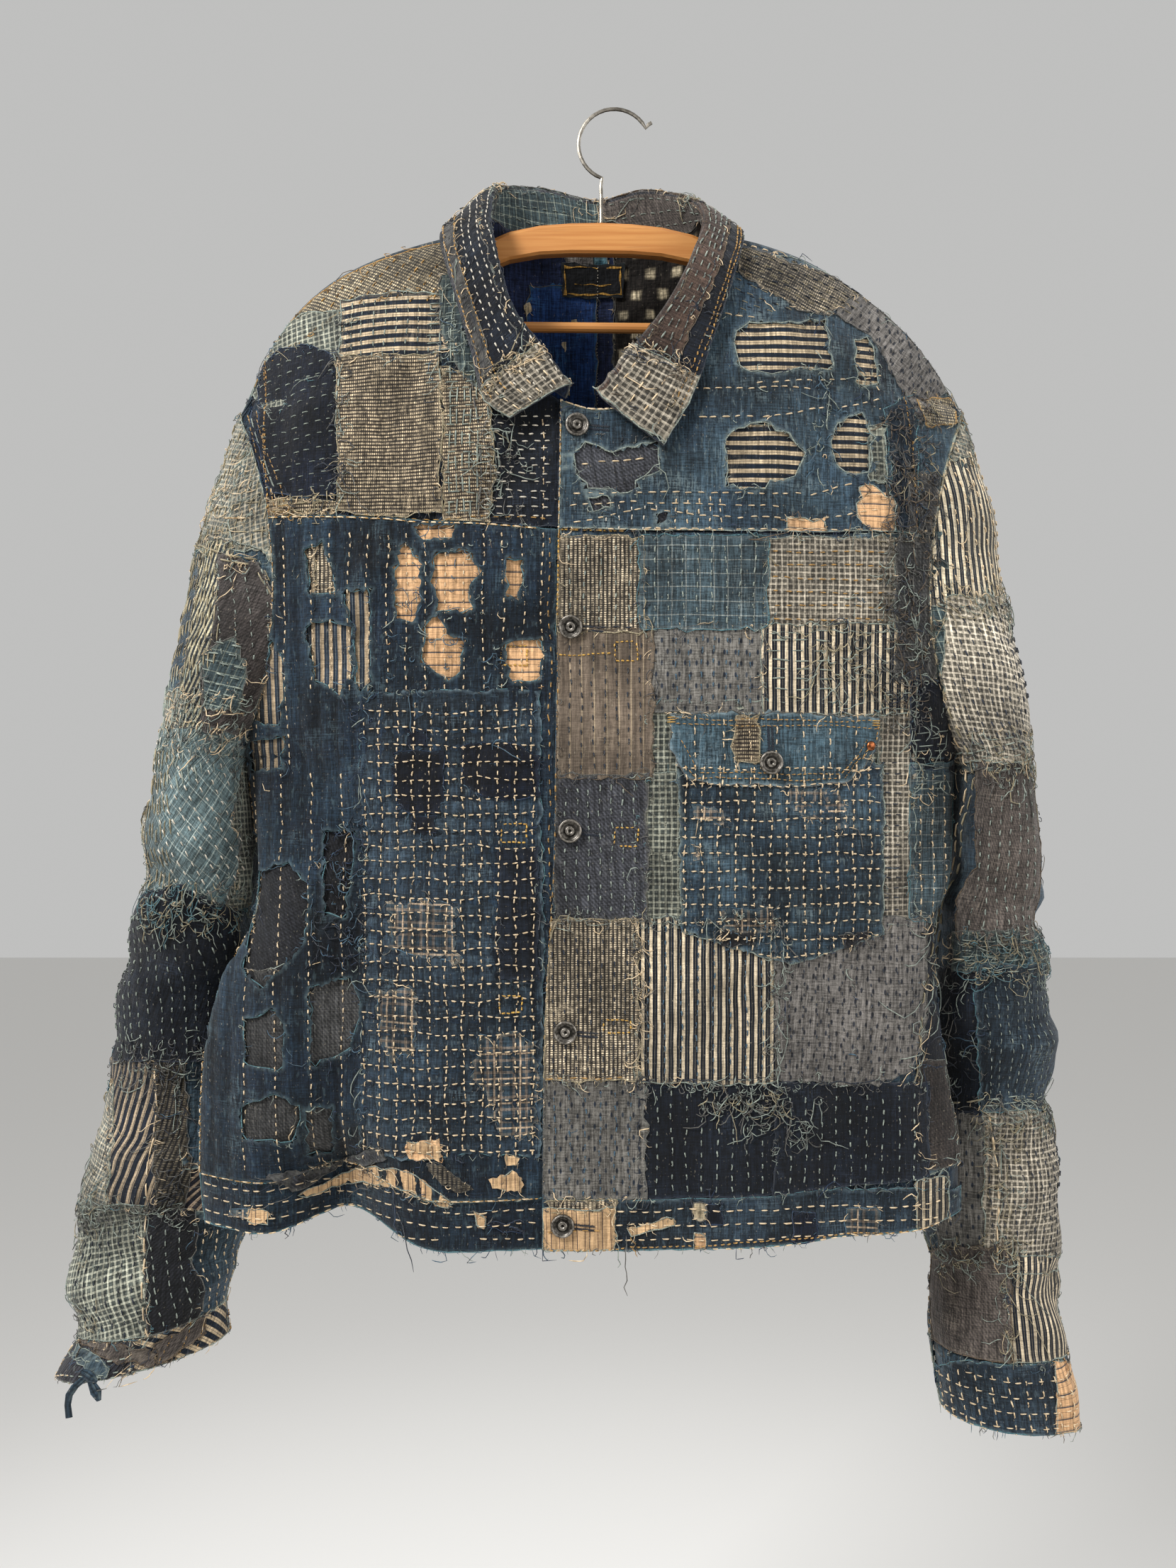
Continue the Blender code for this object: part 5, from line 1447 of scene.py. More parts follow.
CLOTHS = (
    plain("denim_deep", "27333d", "1c2731", fade="5f7078", wear=0.6, **WORN),
    checked("check_pale", "555a57", "a79e8a", 0.0036, 0.34, strength=0.7, fade="9e9b87"),
    striped("cord", "20262b", "9f977d", 0.0050, 0.45, fade="8c8a70"),
    checked("pane_dark", "384548", "899084", 0.0075, 0.10, fade="889085"),
    striped("orange_v", "b3936e", "54443a", 0.0091, 0.08, second=("6b5443", 0.0091, 0.07, 0.35),
            fade="d8b98f", contrast=0.25, patchy=0.25),
    plain("indigo", "17242f", "111b26", fade="4c5d62", wear=0.5, **WORN),
    plain("denim_blue", "33434d", "283743", fade="768484", wear=0.6, **WORN),
    plain("denim_fade", "384b58", "2b3f4f", fade="859498", wear=0.6, **WORN),
    plain("denim_flap", "34454e", "415660", fade="87999f", wear=0.7, **WORN),
    plain("denim_black", "10161f", "0b0f17", fade="3d4756"),
    twill("charcoal", "2b2c30", "48494e", fade="77766f"),
    twill("twill_black", "101114", "212226", fade="3c3c3c"),
    twill("umber_dark", "231e1c", "352e2a", fade="5a534c"),
    plain("brown_plain", "4c3c33", "3c2f29", fade="796757", wear=0.4),
    twill("umber", "323233", "4b4a47", fade="6d6a63"),
    # A lighter copy of the pane cloth, for the right sleeve: its lightness is painted light, for the light
    # that the sleeve gets less of.
    checked("pane_pale", "59696b", "abb2a9", 0.0105, 0.06, fade="96a3a0"),
    plain("navy", "090f1b", "070b14", fade="29323f", wear=0.3),
    striped("brown", "62564a", "93836c", 0.0086, 0.09, fade="9a8c78", contrast=0.3),
    twill("brown_dark", "46403d", "60574f", fade="95897b"),
    dotted("dot_grey", "65615d", "22242a", 0.0080, 0.17, fade="8a867e", patchy=0.3),
    dotted("dot_blue", "615e59", "202731", 0.0080, 0.17, fade="85847d", patchy=0.3),
    speckled("rib_v", "2c2824", "d6c4a6", 0.0030, 0.0016),
    speckled("rib_h", "2a2420", "cbb796", 0.0026, 0.0015, "h"),
    speckled("rib_grey", "2b2926", "a99b84", 0.0027, 0.0016, "h"),
    speckled("rib_dark", "1c1b1b", "6b6252", 0.0032, 0.0016),
    checked("check_beige", "4a463e", "ada392", 0.0041, 0.34, strength=0.7, fade="b5ab97"),
    checked("check_green", "3d423e", "9b9b8b", 0.0043, 0.33, strength=0.7, fade="a3a595"),
    checked("check_brown", "57534a", "c6bba8", 0.0043, 0.36, strength=0.7, fade="bdb39e"),
    checked("pane_teal", "37454b", "888b85", 0.0098, 0.07, fade="808885"),
    checked("plaid_pale", "27343d", "77695b", 0.0088, 0.22, ("a08c76", 0.0176, 0.07),
            strength=0.5, fade="6c7674"),
    striped("stripe_v", "0f1620", "c3b398", 0.0057, 0.40, second=("5d574c", 0.0057, 0.08, 0.5),
            fade="968b76", **CRISP),
    striped("stripe_h", "121b26", "b8a486", 0.0066, 0.46, "h", ("776d5f", 0.0066, 0.06, 0.0),
            fade="a99c84", **CRISP),
    striped("stripe_dark", "141a24", "96856e", 0.0061, 0.42, second=("35363a", 0.0061, 0.07, 0.1),
            fade="857a68", **CRISP),
    striped("stripe_pale", "17212b", "d6c7aa", 0.0057, 0.44, second=("6b655a", 0.0057, 0.08, 0.5),
            fade="a89d86", **CRISP),
    # The stripe cloth seen through the right front's holes, with its cream dimmed: painted shade inside the
    # holes.
    striped("stripe_hole", "202b37", "a08d73", 0.0065, 0.44, second=("565b5e", 0.0065, 0.08, 0.5),
            fade="968b76", **CRISP),
    striped("stripe_d", "22222a", "988571", 0.0060, 0.40, fade="b9aa8f"),
    striped("orange", "c99f75", "454244", 0.0088, 0.11, "h", ("957759", 0.0044, 0.09, 0.28),
            fade="d3b998", contrast=0.22, patchy=0.2),
    speckled("gold_weave", "3e3a34", "cbb996", 0.0026, 0.0018, "h"),
    gingham("plaid_brown", "8f7350", "2f2b2a", 0.0060, fade="b09468"),
    kasuri("kasuri", "26221f", "d3c4a4", 0.021, 0.0145, wear=0.1, patchy=0.2),
    plain("lining", "222c4a", "1a233d", fade="3a4a6c", wear=0.3, patchy=0.25),
    plain("lining_blue", "203d70", "1b3562", fade="4f88a6", wear=0.3, patchy=0.3),
    striped("corduroy", "15161a", "2f2f34", 0.0036, 0.6, fade="5a5a5c"),
    plain("teal", "2f5866", "284a58", fade="7fa0a4"),
    plain("cream", "b5a586", "9c8a6c", fade="d6cab0"),
    twill("mauve", "36312f", "4b4542", fade="77736f"),
    plain("inner_cloth", "142036", "101a2c", fade="3f4f64", wear=0.2),
    plain("label", "0d0e10", "131417", wear=0.05, patchy=0.1, fuzz=0.0),
    plain("label_gold", "b3893f", "977134", wear=0.0, patchy=0.1, fuzz=0.0),
)
THREAD_TINTS = {
    "cream": ("e6cfac", "bfa682"),
    "white": ("ddd5c5", "b5ac9c"),
    "pale": ("98a094", "6c756f"),
    "amber": ("d2a750", "a47c36"),
    "straw": ("a89b7e", "776f58"),
    "gold": ("bd9252", "8a6a3a"),
    "dark": ("1b2029", "262d39"),
    "grey": ("66645e", "43423f"),
    "blue": ("4a6474", "30485a"),
    "navy": ("18263a", "22334c"),
    "brown": ("675846", "44382d"),
    "teal": ("577a80", "3c5c64"),
    "orange": ("c79a68", "98734a"),
}
FABRICS = {cloth.name: cloth for cloth in CLOTHS}
FABRICS |= {"thread_" + tint: thread(tint, *tones) for tint, tones in THREAD_TINTS.items()}
FABRICS["pewter"] = metal("pewter", "8b857d", "3e3b36", 0.40, 500.0, 0.9, grime=True)
FABRICS["copper"] = metal("copper", "a8653f", "58331f", 0.38, 500.0)

EDGES = {  # a cut edge's rim, its loose threads' colours, how many a metre, and their length
    "indigo": ("teal", "navy blue pale blue", 260, 0.0036),
    "denim_blue": ("pale", "blue pale navy pale", 260, 0.0040),
    "denim_fade": ("pale", "blue pale pale blue", 280, 0.0044),
    "denim_black": ("dark", "dark grey dark pale", 240, 0.0038),
    "charcoal": ("grey", "dark grey grey", 240, 0.0040),
    "navy": ("navy", "navy dark blue", 220, 0.0036),
    "brown": ("brown", "brown grey dark", 200, 0.0032),
    "brown_dark": ("brown", "brown dark", 240, 0.0040),
    "dot_grey": ("grey", "grey dark", 200, 0.0030),
    "denim_deep": ("teal", "blue pale navy grey", 260, 0.0040),
    "check_pale": ("pale", "pale straw grey teal", 260, 0.0040),
    "rib_v": ("straw", "straw dark cream", 260, 0.0040),
    "rib_h": ("straw", "straw dark cream", 260, 0.0040),
    "check_beige": ("pale", "pale straw grey", 250, 0.0038),
    "check_green": ("pale", "pale teal grey", 230, 0.0036),
    "pane_teal": ("teal", "teal pale dark", 220, 0.0034),
    "stripe_v": ("pale", "pale navy cream", 240, 0.0040),
    "stripe_h": ("pale", "pale navy cream", 240, 0.0040),
    "orange": ("pale", "orange cream brown", 260, 0.0040),
    "gold_weave": ("gold", "gold straw brown", 260, 0.0044),
    "plaid_brown": ("brown", "brown gold", 240, 0.0040),
    "check_brown": ("pale", "cream grey", 240, 0.0035),
    "stripe_pale": ("pale", "cream grey", 240, 0.0035),
    "orange_v": ("pale", "cream grey", 240, 0.0035),
    "brown_plain": ("brown", "cream grey", 240, 0.0035),
    "plaid_pale": ("blue", "cream grey", 240, 0.0035),
}
PLAIN_EDGE = ("grey", "cream grey", 240, 0.0035)


# ---- Layout: what lies where, in millimetres on the front plane ------------------------------

STITCH_KINDS = {  # lengths in metres
    "tack": dict(stitch=0.0026, gap=0.0008, radius=0.0006),
    "seam": dict(stitch=0.0032, gap=0.0014, radius=0.0005),
    "edge": dict(stitch=0.0036, gap=0.0012, radius=0.00055),
    "fine": dict(stitch=0.003, gap=0.0014, radius=0.00045),
    "wide": dict(stitch=0.0056, gap=0.003),
    "thin": dict(stitch=0.012, gap=0.004, radius=0.0005),
    "cable": dict(stitch=0.012, gap=0.001, radius=0.0009),
    "grid": dict(gap=0.00217, stitch=0.0038, aligned=1),
    "worn": dict(gap=0.0026, stitch=0.0041),
    "hem": dict(gap=0.003, stitch=0.0055),
}

# Fabric, layer and options | outline / holes.
PATCHES = {
    "front_yoke_right": """
denim_black 1 | -127 -39 -241 -334
navy 1 | -257 -191 -211 -334
gold_weave 1 angle=-30 | -247,-222 -240,-194 -225,-181 -208,-166 -175,-149 -142,-138 -103,-128 \
    -81,-144 -103,-178 -147,-168 -191,-179 -225,-205
check_green 1.5 angle=8 | -257,-238 -249,-212 -235,-193 -214,-182 -191,-181 -193,-222 -225,-233 \
    -241,-261
stripe_h 2 | -193,-175 -158,-169 -125,-171 -107,-181 -105,-205 -136,-215 -194,-215
pane_dark 2.6 | -125,-157 -101,-154 -91,-183 -87,-222 -97,-237 -112,-222 -122,-200 -124,-178
navy 2 | -250,-222 -236,-210 -214,-205 -196,-217 -194,-261 -196,-310 -214,-316 -244,-309 -252,-272
rib_h 2.8 | -197,-214 -125,-213 -122,-250 -125,-294 -123,-323 -169,-328 -196,-323
rib_h 2.2 angle=3 | -123,-222 -103,-226 -89,-250 -86,-294 -90,-331 -122,-329
rib_h 1.6 | -247,-314 -197,-316 -198,-334 -247,-334
plaid_brown 2.4 | -247 -227 -321 -349
""",
    "front_yoke_left": """
stripe_h 0.6 angle=2 | 77 187 -183 -238
stripe_h 0.6 | 71 138 -261 -316
stripe_h 0.7 | 144 187 -250 -305
charcoal 0.7 angle=10 | -35 41 -269 -338
denim_blue 2 | -48 251 -144 -349 / 85,-222 83,-196 99,-190 124,-191 147,-189 150,-222 \
    129,-224 107,-227 / 166,-203 176,-200 181,-212 185,-236 169,-235 / 77,-272 85,-264 107,-261 \
    124,-272 132,-282 125,-298 101,-307 77,-306 / 150,-272 155,-261 172,-255 180,-272 179,-294 \
    162,-297 153,-288 / -30,-281 -22,-275 -3,-281 29,-275 30,-294 14,-302 11,-309 -23,-307 -29,-294 \
    / -19,-314 -5,-311 -3,-321 -16,-323 / 28,-325 36,-324 35,-331 29,-331
indigo 2.3 | 189,-252 210,-238 213,-345 197,-345
umber 2.7 | 205 226 -297 -345
rib_grey 2.8 angle=-28 | 82,-137 96,-140 174,-166 151,-185 129,-182 87,-157
dot_grey 3 angle=-35 | 151,-184 174,-169 207,-185 232,-227 231,-238 213,-261 201,-238 178,-200
check_green 2.8 | 177 190 -264 -303
orange 3.0 | 171,-307 180,-304 196,-316 195,-342 180,-340 170,-327
orange 2.8 | 120 147 -328 -340
gold_weave 3.6 | 210,-246 237,-243 238,-263 218,-265
""",
    "front_left": """
denim_blue 0.5 | 168 251 -338 -814
umber 1.9 | 196 224 -342 -442
rib_v 1.5 | -43 20 -340 -408
pane_teal 1.8 | 16 107 -340 -406
check_beige 1.2 | 105 196 -341 -408
brown 1.7 | -43 26 -406 -511
dot_blue 1.2 | 24 105 -403 -465
stripe_v 1.5 | 102 211 -402 -466
navy 1.6 | 207 245 -440 -505
check_green 1.0 | 14 47 -507 -613
charcoal 1.8 angle=5 | -44 22 -508 -611
check_beige 1.3 | 184 210 -462 -615
pane_teal 1.8 | 206 238 -500 -612
check_green 0.8 | 21 185 -457 -615
rib_v 2.0 | -53 16 -610 -724
stripe_v 1.4 | 12 114 -608 -726
dot_grey 1.9 angle=-4 | 111,-610 185,-608 218,-610 218,-692 207,-717 185,-727 146,-726 112,-723
navy 1.2 | 212 245 -606 -714
dot_blue 1.6 | -54 21 -721 -808
denim_black 1.2 | 16 114 -723 -809
denim_black 1.9 | 111 219 -725 -810
umber_dark 1.4 | 212 242 -710 -786
denim_blue 1.0 | 211 245 -780 -814
""",
    "front_right": """
orange 0.5 | -160 -92 -327 -449
orange 0.5 | -81 -50 -349 -449
stripe_hole 0.6 | -262 -169 -374 -509
rib_v 0.7 | -221 -195 -344 -386
twill_black 0.6 angle=20 | -264 -212 -565 -662
twill_black 0.6 angle=-15 | -209 -179 -543 -613
umber 0.6 | -266 -175 -646 -778
umber 0.5 | -227 -191 -736 -792
rib_v 0.7 | -246 -212 -316 -388
indigo 2 quilt=.0015 across=.0133 | -294 -41 -321 -814 / -156,-360 -149,-347 -137,-356 -138,-388 \
    -143,-402 -155,-399 / -129,-354 -105,-349 -95,-365 -103,-378 -101,-393 -127,-394 / -136,-404 \
    -125,-396 -117,-411 -107,-414 -110,-439 -118,-442 -137,-429 / -142,-334 -112,-331 -115,-342 \
    -138,-344 / -78,-356 -66,-357 -69,-387 -78,-384 / -79,-415 -53,-413 -54,-442 -74,-444 / \
    -219,-349 -207,-345 -198,-365 -198,-382 -215,-381 / -218,-404 -202,-399 -186,-404 -185,-438 \
    -194,-452 -211,-442 / -193,-380 -173,-378 -172,-443 -181,-453 -185,-404 / -257,-417 -241,-412 \
    -232,-432 -235,-474 -256,-471 / -257,-484 -232,-482 -235,-504 -254,-506 / -258,-581 -229,-569 \
    -215,-587 -219,-626 -247,-660 -260,-648 / -206,-549 -183,-547 -186,-576 -191,-609 -205,-608 / \
    -261,-681 -241,-674 -232,-686 -235,-716 -260,-713 / -216,-659 -186,-649 -179,-670 -187,-703 \
    -216,-712 / -263,-742 -241,-732 -222,-742 -229,-767 -262,-764 / -221,-744 -200,-741 -199,-772 \
    -219,-774
denim_deep 2.9 quilt=.0014 across=.01194 along=.01194 | -179,-452 -147,-450 -53,-449 -54,-515 \
    -51,-626 -53,-777 -103,-775 -147,-779 -179,-770 -177,-626
navy 3.7 | -148 -133 -476 -488
navy 3.7 | -157,-493 -136,-491 -121,-492 -122,-535 -142,-536 -156,-526
navy 3.7 | -144 -126 -537 -549
navy 3.7 | -110,-488 -70,-487 -54,-495 -55,-524 -81,-527 -107,-516
plaid_pale 3.4 rough=.0016 | -159,-599 -136,-596 -112,-602 -114,-626 -108,-640 -136,-638 -158,-629
plaid_pale 3.4 rough=.0016 | -166,-660 -142,-657 -138,-681 -143,-705 -158,-709 -168,-686
plaid_pale 3.4 rough=.0016 | -96,-691 -75,-689 -58,-697 -55,-725 -59,-764 -81,-762 -91,-736 \
    -101,-720
orange 3.6 | -148,-767 -125,-765 -122,-777 -145,-780
denim_black 3.8 | -83 -55 -560 -652
""",
    "hem_band_front_right": """
indigo 1.4 | -302 -41 -764 -847
""",
    "hem_band_front_left": """
denim_deep 1.4 | -59 251 -800 -852
rib_v 1.9 | -48 0 -803 -817
orange_v 2.4 angle=1 | -53 -1 -814 -852
orange_v 1.9 | 8,-828 41,-820 42,-826 11,-832
cream 2.2 | 54 64 -810 -822
orange 2.0 | 55 63 -831 -843
navy 2.2 | 63 75 -810 -825
stripe_v 2.2 | 211 233 -792 -836
plaid_pale 2 | 162 185 -814 -836
navy 2 | 124 140 -816 -839
""",
    "sleeve_right": """
denim_blue 0.5 | -402 -214 -238 -902
check_pale 1 angle=12 | -302 -235 -238 -350
check_pale 2.2 angle=-20 | -269,-294 -245,-272 -240,-316 -238,-360 -252,-349 -271,-344
cord 1.4 angle=14 | -316,-485 -304,-432 -292,-344 -269,-344 -269,-432 -285,-485
stripe_dark 0.9 angle=8 | -357 -321 -706 -816
mauve 2.4 angle=12 | -279,-352 -252,-359 -238,-387 -238,-414 -252,-449 -261,-480 -293,-477 -292,-440 \
    -282,-399
pane_dark 2.9 angle=10 | -293,-425 -269,-411 -260,-432 -267,-464 -290,-463
check_pale 1.8 angle=10 | -326,-482 -315,-449 -302,-452 -310,-487 -322,-543 -330,-592 -335,-587 \
    -331,-521
pane_pale 2.2 angle=40 | -321,-476 -269,-474 -259,-493 -262,-543 -274,-607 -333,-592 -329,-515
check_green 1.6 | -280 -252 -493 -603
denim_black 2.8 angle=10 | -354,-598 -308,-586 -266,-603 -269,-653 -290,-710 -353,-710 -357,-648
stripe_dark 2 angle=6 | -356 -324 -709 -814
check_pale 2.3 angle=8 | -376,-814 -363,-747 -354,-725 -352,-769 -356,-814
rib_dark 2.4 angle=6 | -325 -303 -709 -816
stripe_d 1.4 angle=35 | -309 -285 -783 -830
denim_blue 1.8 | -308 -277 -703 -786
check_green 2.6 angle=-12 | -384 -330 -811 -916
twill_black 3.0 angle=8 | -332 -296 -814 -909
denim_blue 2.0 | -299 -255 -816 -902
""",
    "cuff_right": """
corduroy 1.6 angle=20 | -396 -340 -869 -952
brown_dark 2.0 | -379,-897 -346,-911 -325,-914 -326,-925 -352,-922 -382,-909
brown_dark 2.3 | -326,-909 -292,-891 -290,-902 -324,-925
denim_blue 3.2 | -381,-910 -356,-924 -358,-934 -384,-920
stripe_h 1.4 angle=33 | -342 -269 -869 -952
""",
    "sleeve_left": """
denim_blue 0.5 | 212 339 -238 -935
check_pale 1 angle=-6 | 210 249 -238 -288
gold_weave 1.6 angle=-12 | 209 242 -238 -261
stripe_pale 1.7 angle=-8 | 217 275 -275 -390
check_pale 1.9 angle=-8 | 213,-241 235,-241 251,-283 229,-289 213,-283
check_brown 2.4 angle=-8 | 232 291 -383 -500
brown_dark 1.8 angle=-5 | 243 296 -495 -628
charcoal 1.2 | 229 306 -620 -653
pane_dark 1.6 angle=-4 | 231 294 -477 -506
pane_dark 1.9 angle=-4 | 238 301 -618 -647
pane_dark 1.5 | 220 247 -272 -460
denim_deep 2.6 angle=-4 | 255 308 -641 -745
denim_black 1.8 | 218 261 -642 -747
check_beige 2.2 angle=-4 | 260 313 -742 -859
dot_blue 1.6 | 227 264 -743 -861
brown_dark 2.8 | 220 278 -841 -933
stripe_v 2.4 | 275 320 -847 -930
""",
    "cuff_left": """
denim_deep 1.4 | 218 328 -922 -985
orange 2.2 | 309 331 -922 -985
""",
}

# The torn patches over the right front's hem seam, which lie on the band and on the front.
TORN_HEM = """
charcoal 2.6 | -227,-803 -247,-793 -245,-790 -211,-785 -183,-775 -165,-770 -160,-778 -174,-782 \
    -193,-781 -206,-790
orange_v 2.4 | -225,-805 -193,-789 -174,-783 -156,-785 -137,-793 -115,-809 -119,-814 -142,-803 \
    -165,-797 -188,-795 -204,-800 -217,-806
rib_dark 2.5 | -133,-782 -123,-782 -101,-800 -108,-803 -128,-791
orange_v 2.6 | -147,-766 -122,-770 -124,-780 -147,-771
orange_v 2.6 | -78,-775 -69,-778 -71,-783 -78,-783
orange_v 2.6 | -90,-793 -74,-787 -66,-791 -68,-802 -87,-798
orange_v 2.6 | -259,-814 -245,-815 -246,-825 -258,-825
plaid_pale 2.5 | -271,-814 -258,-814 -258,-821 -270,-820
orange_v 2.6 | -100,-817 -91,-819 -93,-829 -100,-826
navy 2.6 | -91,-822 -64,-829 -66,-832 -91,-827
"""
TORN_HEM_RISE = {"front_right": 1.3, "hem_band_front_right": 0.0}  # layers further up

# Colour, angle, pitch in millimetres and options | outline.
STITCHES = {
    "front_yoke_right": """
white 0 6.08 | -96,-261 -39,-250 -39,-331 -96,-331
cream 90 33.2 | -64,-250 -39,-250 -39,-331 -64,-331
pale 10 9.4 stitch=.0044 gap=.0042 radius=.00045 | -250 -195 -205 -310
gold 0 6.64 | -196 -41 -325 -331
straw 0 4.98 stitch=.012 gap=.002 | -244 -191 -309 -331
straw 90 8.85 stitch=.009 gap=.002 | -244 -197 -309 -331
gold 90 6.64 | -247 -226 -334 -349
pale 90 4.98 stitch=.014 gap=.002 radius=.0006 | -122 -93 -231 -329
pale 0 6.64 stitch=.007 gap=.004 radius=.0006 | -122 -93 -231 -329
pale 0 7.19 stitch=.010 gap=.004 radius=.0006 | -136 -93 -166 -238
pale 90 7.74 stitch=.012 gap=.003 radius=.0006 | -129 -93 -166 -238
pale 90 8.29 stitch=.005 gap=.003 radius=.0006 | -191 -125 -175 -214
gold 60 11.1 | -236 -125 -144 -178
""",
    "front_yoke_left": """
cream 90 7.19 stitch=.0036 gap=.0034 | 35 80 -306 -340
white 90 8.29 stitch=.0036 gap=.0040 | -14 35 -316 -340
white 0 14.4 stitch=.0050 gap=.0030 | -37 -14 -250 -272
blue 90 7.74 | 135 149 -222 -272
dark 90 7.74 | 174 229 -183 -250
straw -24 7.19 stitch=.006 gap=.004 radius=.0004 | 82 171 -140 -184
dark -24 9.4 | 88 168 -144 -184
""",
    "front_left": """
pale 90 9.95 | -41 18 -344 -404
pale 90 9.95 | 19 105 -344 -403
gold 0 8.85 | 107 193 -345 -406
blue 90 8.85 | 35 102 -408 -460
pale 0 7.19 stitch=.012 gap=.004 radius=.0006 | 103 151 -408 -454
pale 5 4.42 thin | 207 238 -474 -521
dark 90 8.85 | -40 24 -411 -507
pale 90 7.74 | -43 20 -512 -608
dark 90 8.29 | -52 14 -615 -722
blue 90 12.2 | 14 111 -612 -722
dark 90 10.5 stitch=.003 gap=.005 | 114 213 -615 -720
blue 90 9.95 | -52 18 -725 -806
pale 90 11.1 | 20 111 -730 -805
pale 90 11.1 | 114 216 -732 -806
cream 90 11.1 | 207 235 -504 -609
dark 0 7.74 | 186 207 -493 -609
""",
    "front_right": """
cream 90 13.3 worn | -222 -43 -334 -451
cream 90 26.6 worn | -269 -179 -504 -786
cream 90 26.6 worn | -269 -219 -334 -504
cream 0 11.9 grid wobble=.0011 | -177 -53 -454 -776
cream 90 11.9 grid wobble=.0009 | -177 -53 -454 -776
gold 90 55.3 | -53 -41 -334 -792
""",
    "hem_band_front_right": """
cream 0 9.95 hem | -290 -53 -780 -836
""",
    "hem_band_front_left": """
cream 0 9.4 hem | -3 229 -808 -846
gold 0 33.2 | -53 -3 -814 -846
""",
    "sleeve_right": """
pale 80 8.29 | -352 -269 -609 -706
straw 82 6.64 stitch=.010 gap=.004 radius=.00048 | -295 -244 -263 -349
straw 0 16.6 stitch=.010 gap=.003 radius=.00048 | -290 -244 -316 -349
straw 80 4.98 stitch=.014 gap=.003 radius=.00055 | -312 -279 -344 -438
pale 76 5.53 stitch=.012 gap=.004 radius=.00055 | -324 -290 -432 -515
straw 82 5.53 stitch=.014 gap=.004 radius=.0006 | -332 -312 -487 -592
pale 10 7.19 stitch=.009 gap=.004 radius=.0006 | -290 -261 -413 -463
pale 70 9.95 | -285 -238 -357 -432
white 60 11.1 | -324 -263 -479 -598
dark 85 8.85 | -379 -332 -822 -905
pale 85 7.74 | -330 -299 -825 -902
cream 85 9.95 | -296 -262 -825 -897
""",
    "cuff_right": """
pale 0 12.2 | -391 -341 -913 -944
gold 90 13.3 stitch=.003 gap=.002 radius=.0004 | -325 -290 -891 -924
""",
    "sleeve_left": """
pale 95 7.19 stitch=.0040 gap=.0030 radius=.00042 | 258 304 -648 -739
pale 5 4.42 thin | 245 292 -482 -507
pale 5 4.42 thin | 243 301 -620 -648
pale 5 4.42 thin | 257 309 -733 -758
dark 95 7.74 | 262 309 -747 -852
dark 95 8.85 | 238 287 -388 -493
pale 95 9.95 | 251 293 -501 -620
cream 95 13.3 | 221 271 -280 -383
""",
    "cuff_left": """
cream 0 11.1 stitch=.005 | 226 320 -928 -977
cream 90 12.2 stitch=.005 | 226 320 -928 -977
""",
}

